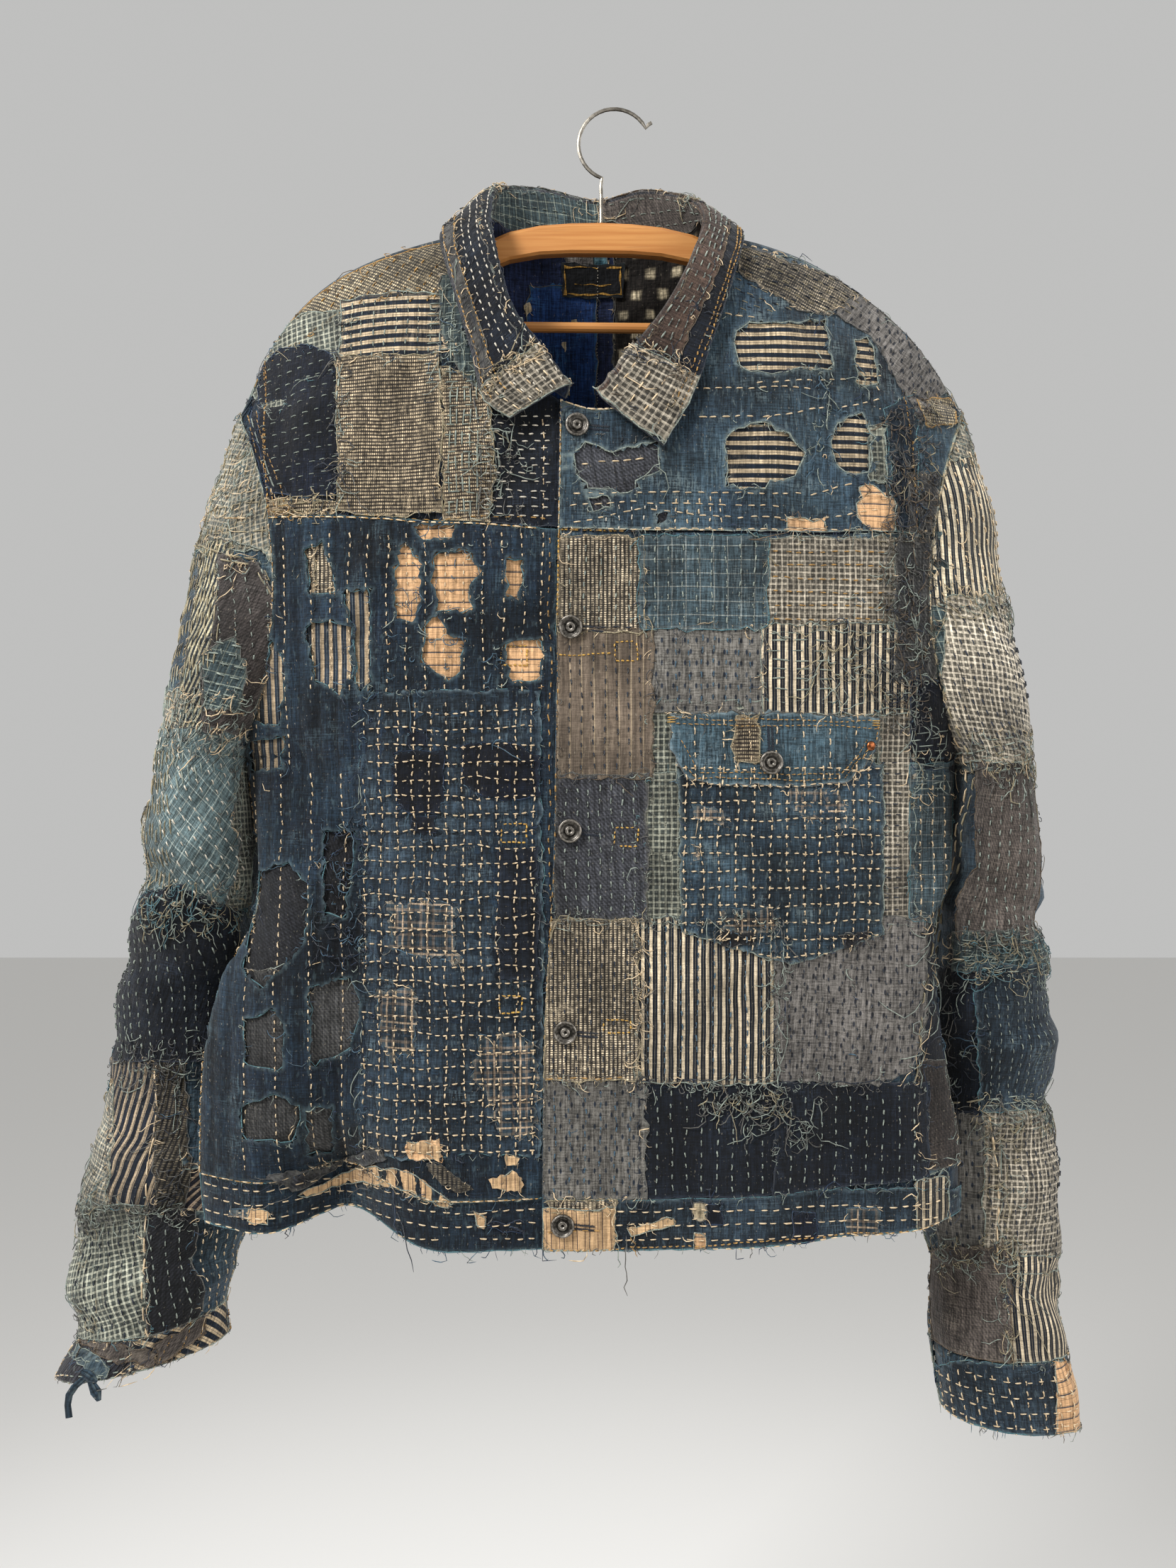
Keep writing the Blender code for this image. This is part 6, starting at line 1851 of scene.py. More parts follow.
# Colour | places along the row. Places past a panel's border are brought to it, so these rows
# run along seams too.
LINES = {
    "front_yoke_right": """
gold seam | -244,-41 -327,-41 -327,-331 -244,-331
gold seam | -244,-41 -323,-41 -323,-328 -244,-328
gold edge | -260,-254 -252,-283 -243,-306 -239,-327
gold edge | -253,-252 -246,-281 -237,-304 -233,-321
pale stitch=.012 gap=.002 radius=.0007 | -257,-253 -249,-282 -241,-305
pale stitch=.013 gap=.0006 radius=.0008 | -91,-243 -86,-272 -81,-296 -82,-320
pale stitch=.011 gap=.0006 radius=.0007 | -85,-245 -78,-263 -74,-284
grey stitch=.012 gap=.0006 radius=.0007 | -101,-227 -96,-272 -97,-327
pale stitch=.010 gap=.0006 radius=.0008 | -198,-209 -194,-227 -197,-247 -193,-269
""",
    "front_yoke_left": """
gold seam | -38,201 -340,201 -340,-342 -38,-342
gold seam | 201,-238 207,-272 210,-316 210,-344
cream | -35,-35 -263,-35 -263,-338 -35,-338
cream wide | 52,-179 66,-182 101,-188
cream wide | 96,-234 107,-232 165,-231 190,-227
cream wide | 41,-254 56,-256 101,-257 154,-250 185,-245
cream wide | -28,-290 -14,-288 28,-284
cream wide | -34,-310 -16,-310 56,-310 133,-311 167,-304
cream wide | -34,-331 21,-321 81,-327 133,-329 185,-323
cream wide | -34,-319 19,-316 81,-319 118,-320
cream wide | -34,-336 81,-335 174,-336
cream stitch=.0050 gap=.0030 | 74,75 -272,75 -272,-344 74,-344
cream stitch=.0050 gap=.0030 | 143,146 -189,146 -189,-238 143,-238
""",
    "front_left": """
amber tack | -1,-415 14,-415 14,-429 -1,-429 -1,-415
amber tack | -1,14 -422,14 -422,-423 -1,-423
amber tack | -1,-545 16,-545 16,-558 -1,-558 -1,-545
amber tack | -9,-681 11,-681 11,-690 -9,-690 -9,-681
gold fine | -41,193 -345,193 -345,-346 -41,-346
dark | 18,19 -344,19 -344,-404 18,-404
gold | 14,14 -615,14 -615,-722 14,-722
straw stitch=.013 gap=.0006 radius=.0008 | 232,-613 223,-621 219,-642 214,-673 212,-709 208,-727
""",
    "front_right": """
amber tack | -81,-418 -63,-418 -63,-432 -81,-432 -81,-418
amber tack | -81,-543 -63,-543 -63,-556 -81,-556 -81,-543
amber tack | -83,-664 -68,-664 -68,-675 -83,-675 -83,-664
gold fine | -53,-51 -335,-51 -335,-808 -53,-808
cream | -55,-54 -335,-54 -335,-808 -55,-808
""",
    "hem_band_front_left": """
gold stitch=.0032 gap=.0014 | -48,-845 8,-842 229,-825
""",
    "cuff_right": """
cream | -381,-359 -919,-359 -919,-932 -381,-932
""",
    "sleeve_right": """
straw stitch=.014 gap=.001 radius=.0011 | -302,-344 -279,-352 -252,-358 -240,-381
straw cable | -300,-348 -280,-356 -254,-362 -242,-386
pale cable | -326,-594 -302,-598 -274,-610
cream stitch=.016 gap=.001 radius=.0008 | -326,-710 -330,-814 -332,-911
pale stitch=.010 gap=.001 radius=.0009 | -292,-480 -269,-484 -260,-479
""",
    "sleeve_left": """
pale cable | 244,296 -492,296 -492,-493 244,-493
cream stitch=.012 gap=.001 radius=.0008 | 251,306 -634,306 -634,-638 251,-638
straw cable | 257,312 -742,312 -742,-738 257,-738
cream stitch=.014 gap=.001 radius=.0008 | 263,-743 269,-792 268,-858
""",
}

# Colours, threads, length in millimetres | outline.
TANGLES = {
    "front_yoke_right": """
pale grey 110 12 | -100 -65 -222 -327
pale grey dark 60 12 | -200 -187 -183 -316
straw cream 50 9 | -244 -197 -308 -331
pale blue 60 9 | -131 -96 -164 -233
""",
    "front_yoke_left": """
grey brown dark 190 13 | 189 223 -250 -344
brown straw 50 10 | 196 223 -238 -316
pale blue 30 10 | 135 151 -222 -294
""",
    "front_left": """
grey brown dark pale 240 11 | 186 220 -341 -476
pale grey 50 14 | 185 218 -349 -460
grey straw pale 90 12 | 138 187 -404 -449
pale grey straw 90 12 | 63 118 -726 -747
pale grey 36 17 | 91 146 -736 -764
pale cream 40 9 | 201 240 -474 -526
grey pale 70 9 | 107 118 -609 -728
grey cream 60 8 | 12 21 -609 -728
pale grey 90 8 | -53 218 -717 -731
pale grey 60 8 | -44 118 -603 -613
cream pale 30 24 | 213 229 -609 -714
""",
    "front_right": """
navy dark blue 110 10 | -214 -175 -537 -645
navy blue pale 60 9 | -183 -172 -454 -780
blue pale 60 8 | -158 -81 -344 -449
""",
    "sleeve_right": """
pale cream grey 160 10 | -316 -252 -449 -493
straw pale teal 190 11 | -335 -255 -581 -615
pale grey dark 120 11 | -352 -274 -692 -725
pale cream 120 10 | -290 -252 -272 -371
pale grey 70 10 | -274 -252 -493 -603
pale straw grey 80 12 | -382 -363 -736 -902
pale grey 90 10 | -374 -302 -803 -825
grey dark 50 10 | -326 -304 -709 -814
""",
    "sleeve_left": """
grey dark brown 150 12 | 210 227 -294 -460
grey straw pale 120 11 | 248 295 -476 -515
grey straw pale teal 160 12 | 243 301 -615 -653
straw grey pale 130 11 | 254 312 -733 -758
pale straw 90 11 | 229 284 -371 -399
pale straw 90 11 | 223 284 -830 -858
dark grey pale 80 13 | 218 251 -653 -736
straw pale 50 18 | 268 284 -753 -924
""",
}


# ---- Laying everything out ---------------------------------------------------------------


def rows_of(text):
    """The rows of a layout text: words, options and outlines."""
    for row in text.strip().splitlines():
        words, _, shapes = row.partition("|")
        names, options = [], {}
        for word in words.split():
            key, _, value = word.partition("=")
            if value:
                options[key] = float(value)
            elif word in STITCH_KINDS:
                options |= STITCH_KINDS[word]
            else:
                names.append(word)
        yield names, options, [outline_of(shape) for shape in shapes.split("/")]


def lay_patches(face, heap):
    for (fabric, layer), options, (outline, *holes) in rows_of(PATCHES.get(face.name, "")):
        patch(heap, face, fabric, outline, float(layer), holes=holes, **options)
    if face.name in TORN_HEM_RISE:
        for (fabric, layer), _, (outline,) in rows_of(TORN_HEM):
            patch(heap, face, fabric, outline, float(layer) + TORN_HEM_RISE[face.name])


def stitch_line(face, line, tint, **how):
    """Running stitch along places seen from the front."""
    flat = face.under(line)
    for start, end in zip(flat[:-1], flat[1:]):
        run_stitches(face, start, end, tint, **how)


def lay_stitches(face):
    for (tint, angle, pitch), options, (outline,) in rows_of(STITCHES.get(face.name, "")):
        flat = face.under(dense(outline))
        hatch(face, flat, float(angle), float(pitch) * MM, tint, **options)
    for (tint,), options, (line,) in rows_of(LINES.get(face.name, "")):
        stitch_line(face, line, tint, **options)


def tangle(face, flat, tints, number, length):
    """Loose threads that start anywhere inside an outline."""
    low, high = flat.min(0), flat.max(0)
    start = rng.uniform(low, high, (number * 3, 2))
    start = start[within(start[:, 0], start[:, 1], flat)][:number]
    heading = rng.uniform(-pi, 0, len(start)) * 0.7 - pi * 0.15
    reach = length * rng.lognormal(0, 0.45, len(start))
    lift = face.lift_at(start[:, 0], start[:, 1])[:, None]
    lay_threads(face, start, heading, reach, lift, tints, 6, curl=0.8, stand=0.0018, radius=0.00036)


def lay_tangles(face):
    for (*tints, number, length), _, (outline,) in rows_of(TANGLES.get(face.name, "")):
        flat = face.under(dense(outline))
        tangle(face, flat, " ".join(tints), int(number), float(length) * MM)


QUILT = (
    "indigo denim_blue check_beige navy dot_grey stripe_v denim_black pane_teal brown charcoal "
    "denim_fade rib_v check_green indigo stripe_h denim_blue"
).split()
QUILT_TINTS = ("cream", "pale", "white", "gold", "dark")
QUILT_ANGLES = (90, 0, 90)
QUILT_LAYER, LAYER_STEP = 0.8, 0.9  # layers up, and from one height to the next
OVERLAP, JOG = 0.003, 0.004  # of one piece over its neighbour, and how askew its corners are
TORN_SHARE, LEAST_TORN = 0.28, 0.05  # of the pieces, and the least width of one
UNDER_SIZE = 1.35  # of the cloth under a hole, in holes


def torn_hole(centre, own):
    """An uneven round hole."""
    turns = np.linspace(0, tau, 9)[:-1]
    reach = own.uniform(0.009, 0.024, 8)
    return centre + np.column_stack([np.cos(turns) * reach, np.sin(turns) * reach * 1.2])


def quilt_piece(face, heap, fabric, corners, own, may_tear):
    """One piece of a patchwork with its stitches and, at times, a hole with a cloth under it."""
    holes = []
    if own.random() < TORN_SHARE and may_tear:
        centre = corners.mean(0) + own.uniform(-0.012, 0.012, 2)
        hole = torn_hole(centre, own)
        holes.append(hole)
        under = QUILT[own.integers(len(QUILT))]
        wider = centre + (hole - centre) * UNDER_SIZE
        patch(heap, face, under, wider, QUILT_LAYER / 2, seen=False, fray_share=0.3)
    layer = QUILT_LAYER + LAYER_STEP * own.integers(0, 3)
    patch(heap, face, fabric, corners, layer, angle=own.uniform(-6, 6), holes=holes, seen=False,
          pitch=0.0075, fray_share=0.6)
    tint = QUILT_TINTS[own.integers(len(QUILT_TINTS))]
    angle = QUILT_ANGLES[own.integers(len(QUILT_ANGLES))] + own.uniform(-4, 4)
    hatch(face, corners, angle, own.uniform(0.012, 0.016), tint, outside=holes)


def quilt(name, low, high, cell, seed):
    """Fills a part of a face with a seeded patchwork, torn and stitched like the front."""
    own = np.random.default_rng(seed)
    rows = max(1, round((high[1] - low[1]) / cell[1]))
    levels = np.linspace(low[1], high[1], rows + 1)
    last = None
    for bottom, top in zip(levels[:-1], levels[1:]):
        edge = low[0]
        while edge < high[0] - 0.02:
            wide = cell[0] * own.uniform(0.65, 1.35)
            end = high[0] + 0.004 if edge + wide > high[0] - 0.03 else edge + wide
            fabric = QUILT[own.integers(len(QUILT))]
            if fabric == last:
                continue
            last = fabric
            jog = own.uniform(-JOG, JOG, 4)
            across = np.array([edge - OVERLAP, end, end, edge - OVERLAP]) + jog
            up = np.array([top, top, bottom, bottom]) + OVERLAP * np.array([1, 1, -1, -1])
            corners = np.column_stack([across, up])
            quilt_piece(FACES[name], HEAPS[name], fabric, corners, own, end - edge > LEAST_TORN)
            edge = end


def span_sizes(face):
    """The mean lengths of a face's grid, across and along."""
    a, b = face.cover(0.01)
    p = face.at(a.reshape(-1), b.reshape(-1)).reshape(*a.shape, 3)
    across = np.linalg.norm(np.diff(p, axis=1), axis=2).sum(1).mean()
    along = np.linalg.norm(np.diff(p, axis=0), axis=2).sum(0).mean()
    return across, along


SHEETS = {  # the fabric of each base panel
    "front_right": "indigo",
    "front_left": "denim_blue",
    "front_yoke_right": "indigo",
    "front_yoke_left": "indigo",
    "hem_band_front_right": "indigo",
    "hem_band_front_left": "indigo",
    "back_panel": "indigo",
    "hem_band_back": "indigo",
    "back_yoke": "denim_blue",
    "sleeve_right": "denim_blue",
    "sleeve_left": "denim_blue",
    "cuff_right": "indigo",
    "cuff_left": "denim_blue",
    "collar": "charcoal",
}


def face_of(name):
    side = RIGHT if name.endswith("right") else LEFT
    if name.startswith(("sleeve", "cuff")):
        return Sleeve(name, side)
    if "back" in name:
        return BackYoke(name) if "yoke" in name else Back(name)
    if name == "collar":
        return Collar(name)
    return Front(name, side)


FACES = {name: face_of(name) for name in SHEETS}
HEAPS = {name: Heap() for name in SHEETS}


def dress_back():
    """The hidden parts, in the manner of the front."""
    quilt("back_panel", (-0.31, -0.80), (0.29, -0.305), (0.13, 0.115), 21)
    quilt("back_yoke", (-0.275, -0.245), (0.275, -0.02), (0.12, 0.11), 22)
    for side, seed in (("right", 23), ("left", 24)):
        quilt("sleeve_" + side, (0.0, -0.95), (0.17, -0.24), (0.11, 0.13), seed)
        quilt("cuff_" + side, (0.0, -1.01), (0.17, -0.93), (0.09, 0.08), seed + 2)
    quilt("hem_band_back", (-0.31, -0.84), (0.29, -0.79), (0.16, 0.05), 27)


def box(a0, a1, b0, b1):
    return np.array([(a0, b0), (a1, b0), (a1, b1), (a0, b1)])


def dress_collar():
    """Strips on the leaves, two cloths inside the stand and check tips."""
    face, heap = FACES["collar"], HEAPS["collar"]
    low, high = ROLL_PLACES[0][0], ROLL_PLACES[0][-1]
    middle = np.interp(0.0, ROLL_PLACES[1], ROLL_PLACES[0]) + 0.004
    cloths = (  # fabric, layer and where it lies along the roll and across it
        ("pane_dark", 0.8, low, middle, -0.05, 0.004),
        ("brown_dark", 0.9, middle, high, -0.05, 0.004),
        ("denim_black", 1.2, low, -0.09, -0.004, 0.034),
        ("umber", 1.8, low, -0.085, 0.030, 0.041),
        ("pane_dark", 1.2, -0.10, 0.0, -0.002, 0.05),
        ("brown_plain", 1.2, 0.0, 0.10, -0.002, 0.05),
        ("brown_plain", 1.6, 0.085, high, -0.008, 0.027),
        ("denim_black", 1.2, 0.085, high, 0.022, 0.05),
        ("check_beige", 2.6, low, low + 0.036, -0.006, 0.05),
        ("check_beige", 2.6, high - 0.044, high, -0.006, 0.05),
    )
    for fabric, layer, a0, a1, b0, b1 in cloths:
        patch(heap, face, fabric, box(a0, a1, b0, b1), layer, seen=False)
    rows = (  # colour, where, the rows' pitch, and the stitches' length and gap
        ("white", (low, -0.09, -0.004, 0.026), 0.0075, 0.0040, 0.0034),
        ("pale", (low, -0.02, -0.045, -0.002), 0.0100, 0.0050, 0.0040),
        ("pale", (0.09, high - 0.044, 0.0, 0.026), 0.0065, 0.0080, 0.0034),
        ("pale", (0.0, 0.12, -0.045, -0.004), 0.0100, 0.0050, 0.0040),
        ("gold", (low + 0.02, -0.085, 0.0275, 0.0325), 0.0060, 0.0036, 0.0012),
        ("gold", (low + 0.02, -0.085, 0.0385, 0.0425), 0.0060, 0.0036, 0.0012),
        ("gold", (0.085, high - 0.02, 0.0360, 0.0440), 0.0040, 0.0036, 0.0014),
        ("cream", (low, low + 0.034, 0.0, 0.04), 0.0090, 0.0060, 0.0030),
        ("cream", (high - 0.034, high, 0.0, 0.04), 0.0090, 0.0060, 0.0030),
    )
    for tint, where, pitch, stitch, gap in rows:
        hatch(face, box(*where), 0, pitch, tint, stitch=stitch, gap=gap, margin=0.0)
    tangles = (
        ("pale grey cream", (-0.115, -0.085, -0.010, 0.045), 60, 0.011),
        ("pale straw", (0.080, 0.100, -0.010, 0.045), 50, 0.010),
        ("cream pale", (-0.02, 0.01, -0.03, 0.004), 14, 0.022),
        ("straw cream", (low + 0.026, low + 0.044, 0.0, 0.045), 60, 0.009),
        ("dark brown cream", (high - 0.050, high - 0.034, 0.0, 0.045), 50, 0.010),
    )
    for tints, where, count, length in tangles:
        tangle(face, box(*where), tints, count, length)


# ---- Small hard parts and the pocket --------------------------------------------------------


def turned_solid(name, profile, material, place, axis, steps=40):
    """A closed solid turned from radii and heights."""
    heap = Heap()
    axis = unit(axis)
    side = unit(np.cross(axis, (0.0, 0.0, 1.0)))
    ring = ring_of(side, np.cross(axis, side), steps)
    flat = np.concatenate([place + axis * h + ring * max(r, 1e-5) for r, h in profile])
    faces = ring_faces(len(profile), steps)
    first = flat[faces[steps * (len(profile) // 2)]]
    outward = np.cross(first[1] - first[0], first[2] - first[0]) @ (first[0] - place)
    heights = np.array([h for _, h in profile])
    # Each ring's share of the height, which darkens the low parts of a metal that asks for it.
    raised = np.repeat(np.clip(heights / heights.max(), 0, 1), steps)
    heap.add(flat, faces if outward > 0 else faces[:, ::-1], material, swell=raised)
    return heap.build(name)


BUTTON = (  # radii and heights
    (0.0, 0.0012), (0.0010, 0.0012), (0.0013, 0.0026), (0.0030, 0.0028), (0.0034, 0.0022),
    (0.0037, 0.0013), (0.0044, 0.0012), (0.0048, 0.0016), (0.0052, 0.0017), (0.0064, 0.0018),
    (0.0068, 0.0028), (0.0074, 0.0034), (0.0081, 0.0030), (0.0085, 0.0020), (0.0084, 0.0010),
    (0.0070, 0.0001), (0.0, 0.0),
)
DOME = ((0.0, 0.0016), (0.0012, 0.0015), (0.0026, 0.0010), (0.0034, 0.0004), (0.0035, 0.0), (0.0, 0.0))


def on_front(face, x, z):
    """A place on top of a front's layers, and the way out from it."""
    a, b = np.array([x]), np.array([z])
    normal = face.normal(a, b)[0]
    return face.at(a, b)[0] + normal * (face.lift_at(a, b)[0] + 0.0002), normal


def buttonhole(face, x, z, angle, length):
    """Close stitches around a slit."""
    way = np.array([cos(radians(angle)), sin(radians(angle))])
    side = np.array([-way[1], way[0]])
    begin, finish = [], []
    for s in np.arange(0, length, 0.00075):
        for turn in (-1, 1):
            foot = np.array([x, z]) + way * s + side * turn * 0.0004
            begin.append(foot)
            finish.append(foot + side * turn * rng.uniform(0.0016, 0.0022))
    SEWN[face].append((np.array(begin), np.array(finish), "dark", 0.00036))


def hard_part(node, ending, profile, metal_name, face, x, z):
    """A button or rivet that stands for a node of the CAD."""
    made = turned_solid(node + ending, profile, metal_name, *on_front(face, x, z))
    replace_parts(made, node)


HEM_SEAM, YOKE_SEAM = -0.81, -0.34  # about where they are by the buttons


def build_buttons():
    for number, (z, x) in enumerate(zip(BUTTONS["z"], BUTTONS["x"])):
        face = FACES["front_left"]
        if z < HEM_SEAM:
            face = FACES["hem_band_front_left"]
        elif z > YOKE_SEAM:
            face = FACES["front_yoke_left"]
        hard_part(f"button_{number + 1}", "_ring", BUTTON, "pewter", face, x, z)
        buttonhole(face, x + 0.004, z - 0.0005, -6, 0.019)
    face = FACES["front_left"]
    hard_part("button_flap", "_ring", BUTTON, "pewter", face, 0.108, -0.500)
    buttonhole(face, 0.108, -0.494, 90, 0.020)
    hard_part("rivet", "_dome", DOME, "copper", face, 0.180, -0.4875)


POCKET_GRID = 0.0120  # between the rows of stitches, both ways
BAG = "43,-497 187,-500 187,-620 150,-634 120,-642 100,-636 46,-618"
WORN_SPOTS = (
    "121,-518 153,-521 163,-535 161,-546 146,-545 121,-533",
    "74 114 -603 -619",
    "53,-530 68,-531 80,-538 79,-546 64,-541 53,-540",
    "54 60 -558 -569",
)
DARK_SPOTS = ("74 96 -619 -628", "157,-621 176,-617 177,-622 160,-629")
FLAP = "38,-466 110,-464 184,-468 183,-486 174,-502 160,-515 110,-517 54,-514 44,-504 38,-490"
FLAP_SEAMS = (  # places in millimetres
    ((41, -469), (182, -471)),
    ((41, -473), (182, -475)),
    ((47, -502), (56, -511), (158, -512), (180, -485)),
    ((44, -483), (58, -507), (157, -508), (177, -480)),
    ((180, -485), (182, -472)),
)
TACKS = ((0.039, -0.470), (0.181, -0.472))  # the flap's corners


def build_bag(face):
    """The pocket, a pad of cloth that stands off the front."""
    heap = Heap()
    bag = outline_of(BAG)
    patch(heap, face, "denim_blue", bag, 3.0, puff=0.0012, thick=0.0022, curl=0.0002, quilt=0.0010,
          across=POCKET_GRID, along=POCKET_GRID)
    for spot in WORN_SPOTS:
        patch(heap, face, "plaid_pale", outline_of(spot), 4.2, rough=0.0012)
    for spot in DARK_SPOTS:
        patch(heap, face, "twill_black", outline_of(spot), 4.2)
    grid = face.under(dense(bag))
    for angle in (0, 90):
        hatch(face, grid, angle, POCKET_GRID, "cream", stitch=0.0038, gap=POCKET_GRID / 2 - 0.0038,
              aligned=1, wobble=0.0009)
    return heap


def build_flap(face):
    """The pocket's flap, with its double seam and the bar tacks at its corners."""
    heap = Heap()
    flap = outline_of(FLAP)
    patch(heap, face, "denim_flap", flap, 5.4, puff=0.0008, thick=0.0026, curl=0.0002)
    patch(heap, face, "rib_h", outline_of("82 100 -466 -500"), 6.8)
    for seam in FLAP_SEAMS:
        line = np.array(seam, float) * MM
        stitch_line(face, line, "gold", stitch=0.0028, gap=0.0012, radius=0.00045)
    for x, z in TACKS:
        for shift in (-0.0016, 0.0, 0.0016):
            spot = face.under(np.array([(x, z + shift)]))
            SEWN[face].append((spot - (0.003, 0), spot + (0.003, 0), "amber", 0.0005))
    hatch(face, face.under(dense(flap)), 90, 0.0185, "cream", stitch=0.0050, gap=0.0034, margin=0.008)
    return heap


def build_pocket():
    face = FACES["front_left"]
    bag, flap = build_bag(face), build_flap(face)
    made = [bag.build("pocket_bag"), flap.build("pocket_lid")]
    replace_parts(made[0], "chest_pocket")
    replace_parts(made[1], "pocket_flap")
    return made


RIBBON_SIDES = 10


def ribbon(heap, path, width, thick, material, across):
    """A flat strip of cloth along a path, closed at both ends."""
    path, across = np.array(path, float), np.array(across, float)
    count = len(path)
    ahead = unit(np.gradient(path, axis=0))
    wide = unit(across - ahead * (ahead @ across)[:, None])
    deep = np.cross(ahead, wide)
    half = np.array(width)[:, None] / 2
    rings = path[:, None] + ring_of(wide * half, deep * thick / 2, RIBBON_SIDES)
    faces = ring_faces(count, RIBBON_SIDES)
    start = heap.count
    flat = rings.reshape(-1, 3)
    turns = np.arange(RIBBON_SIDES) * tau / RIBBON_SIDES
    u = np.tile(np.cos(turns), count) * 0.003
    v = np.repeat(np.arange(count), RIBBON_SIDES) * 0.004
    outside = flat - np.repeat(path, RIBBON_SIDES, axis=0)
    heap.add(flat, oriented(flat, faces, outside), material, uv=np.column_stack([u, v]))
    ends = np.arange(count * RIBBON_SIDES).reshape(count, RIBBON_SIDES)[[0, -1]]
    ends[1] = ends[1, ::-1]
    heap.join(ends + start, material)


TIE_STRIPS = (  # x, z and how much nearer in millimetres; then widths, thickness and the way across
    (((-377, -929, 0), (-374, -931, 1.2), (-370, -934, 1.2), (-366, -936, 0)),
     (0.004, 0.0075, 0.0075, 0.004), 0.0034, (0.35, 0.1, 0.9)),
    (((-371, -931, 0), (-376, -935, 1.5), (-382, -940, 1), (-386, -946, 0), (-387, -953, 0), (-386, -962, 0)),
     (0.004, 0.0052, 0.0060, 0.0055, 0.0048, 0.0052), 0.0013, (0.9, 0.2, 0.3)),
    (((-373, -932, 0), (-370, -938, 1), (-367, -944, 1), (-365, -950, 0)),
     (0.003, 0.0058, 0.0085, 0.0035), 0.0013, (0.9, 0.2, 0.1)),
)


def build_tie():
    """The knotted strip that hangs from the right cuff."""
    face = FACES["cuff_right"]
    heap = Heap()
    a, b = face.under(np.array([(-0.372, -0.932)])).T
    knot = face.at(a, b)[0] + face.normal(a, b)[0] * 0.0045

    def seen_beside(x, z, nearer):
        """A place seen at x and z in millimetres, as deep as the knot or nearer."""
        deep = knot[1] - nearer * MM
        reach = (deep - EYE[1]) / (FRONT_Y - EYE[1])
        return EYE[0] + (x * MM - EYE[0]) * reach, deep, EYE[2] + (z * MM - EYE[2]) * reach

    for places, width, thick, across in TIE_STRIPS:
        path = [seen_beside(*place) for place in places]
        ribbon(heap, path, width, thick, "denim_blue", across)
    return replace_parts(heap.build("cuff_tie_strip"), "cuff_tie")


class Lining(Back):
    """The inside of the back yoke, seen through the neck."""

    outward = 1

    def at(self, x, z):
        p = super().at(x, z)
        return p + np.array([0.0, -0.0042, 0.0])

    def clip(self, x, z, slack=0.0):
        return x, z


INNER_SEAM = CENTRE_X + 0.011
INNER_PATCHES = (  # fabric, outline and layer
    ("lining_blue", "-61,-164 -14,-162 -14,-262 -72,-262", 0.9),
    ("dot_grey", "-36 -16 -138 -158", 0.9),
    ("teal", "-16 -6 -138 -156", 1.0),
    ("cream", "-65,-178 -62,-176 -61,-181 -64,-185", 1.8),
    ("cream", "-33,-187 -28,-187 -28,-190 -31,-192", 1.8),
    ("cream", "-39,-203 -35,-203 -35,-211 -38,-210", 1.8),
    ("cream", "-36,-235 -32,-236 -33,-241 -36,-240", 1.8),
)


def build_lining(face):
    """The two halves of the lining with what is sewn on them."""
    heap = Heap()
    how = dict(thick=0.0008, curl=0.0, fray_share=0.3)
    left = np.array([(-0.098, -0.085), (INNER_SEAM, -0.092), (INNER_SEAM, -0.285), (-0.098, -0.285)])
    right = np.array([(INNER_SEAM, -0.092), (0.080, -0.085), (0.080, -0.285), (INNER_SEAM, -0.285)])
    patch(heap, face, "lining", left, 0.0, seen=False, **how)
    patch(heap, face, "kasuri", right, 0.3, seen=False, **how)
    for fabric, outline, layer in INNER_PATCHES:
        patch(heap, face, fabric, outline_of(outline), layer, **how)
    line = np.array([(-0.0135, -0.150), (-0.0135, -0.28)])
    stitch_line(face, line, "white", stitch=0.0012, gap=0.0012, radius=0.0003, wobble=0.0001)
    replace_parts(heap.build("lining_cloth"), "lining_right", "lining_left")


LABEL = (-0.041, 0.009, -0.099, -0.123)
LABEL_INSET, LABEL_LINE = 0.0020, 0.0009


def build_label(face):
    """The woven label, with plain border lines in place of its lettering."""
    heap = Heap()
    face.stack.clear()
    patch(heap, face, "label", box(*LABEL), 3.0, seen=False, thick=0.0010, rough=0.0001, curl=0.0,
          fray_share=0)
    x0, x1, z0, z1 = np.array(LABEL) + LABEL_INSET * np.array([1, -1, -1, 1])
    bars = (
        (x0, x1, z0, z0 - LABEL_LINE),
        (x0, x1, z1 + LABEL_LINE, z1),
        (x0, x0 + LABEL_LINE, z0, z1),
        (x1 - LABEL_LINE, x1, z0, z1),
        (x0 + 0.008, x1 - 0.008, -0.1085, -0.1092),
        (x0 + 0.008, x1 - 0.008, -0.1130, -0.1137),
    )
    for bar in bars:
        patch(heap, face, "label_gold", box(*bar), 3.35, seen=False, rough=0.00005, curl=0.0,
              fray_share=0, thick=0.0006)
    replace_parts(heap.build("label_cloth"), "neck_label")


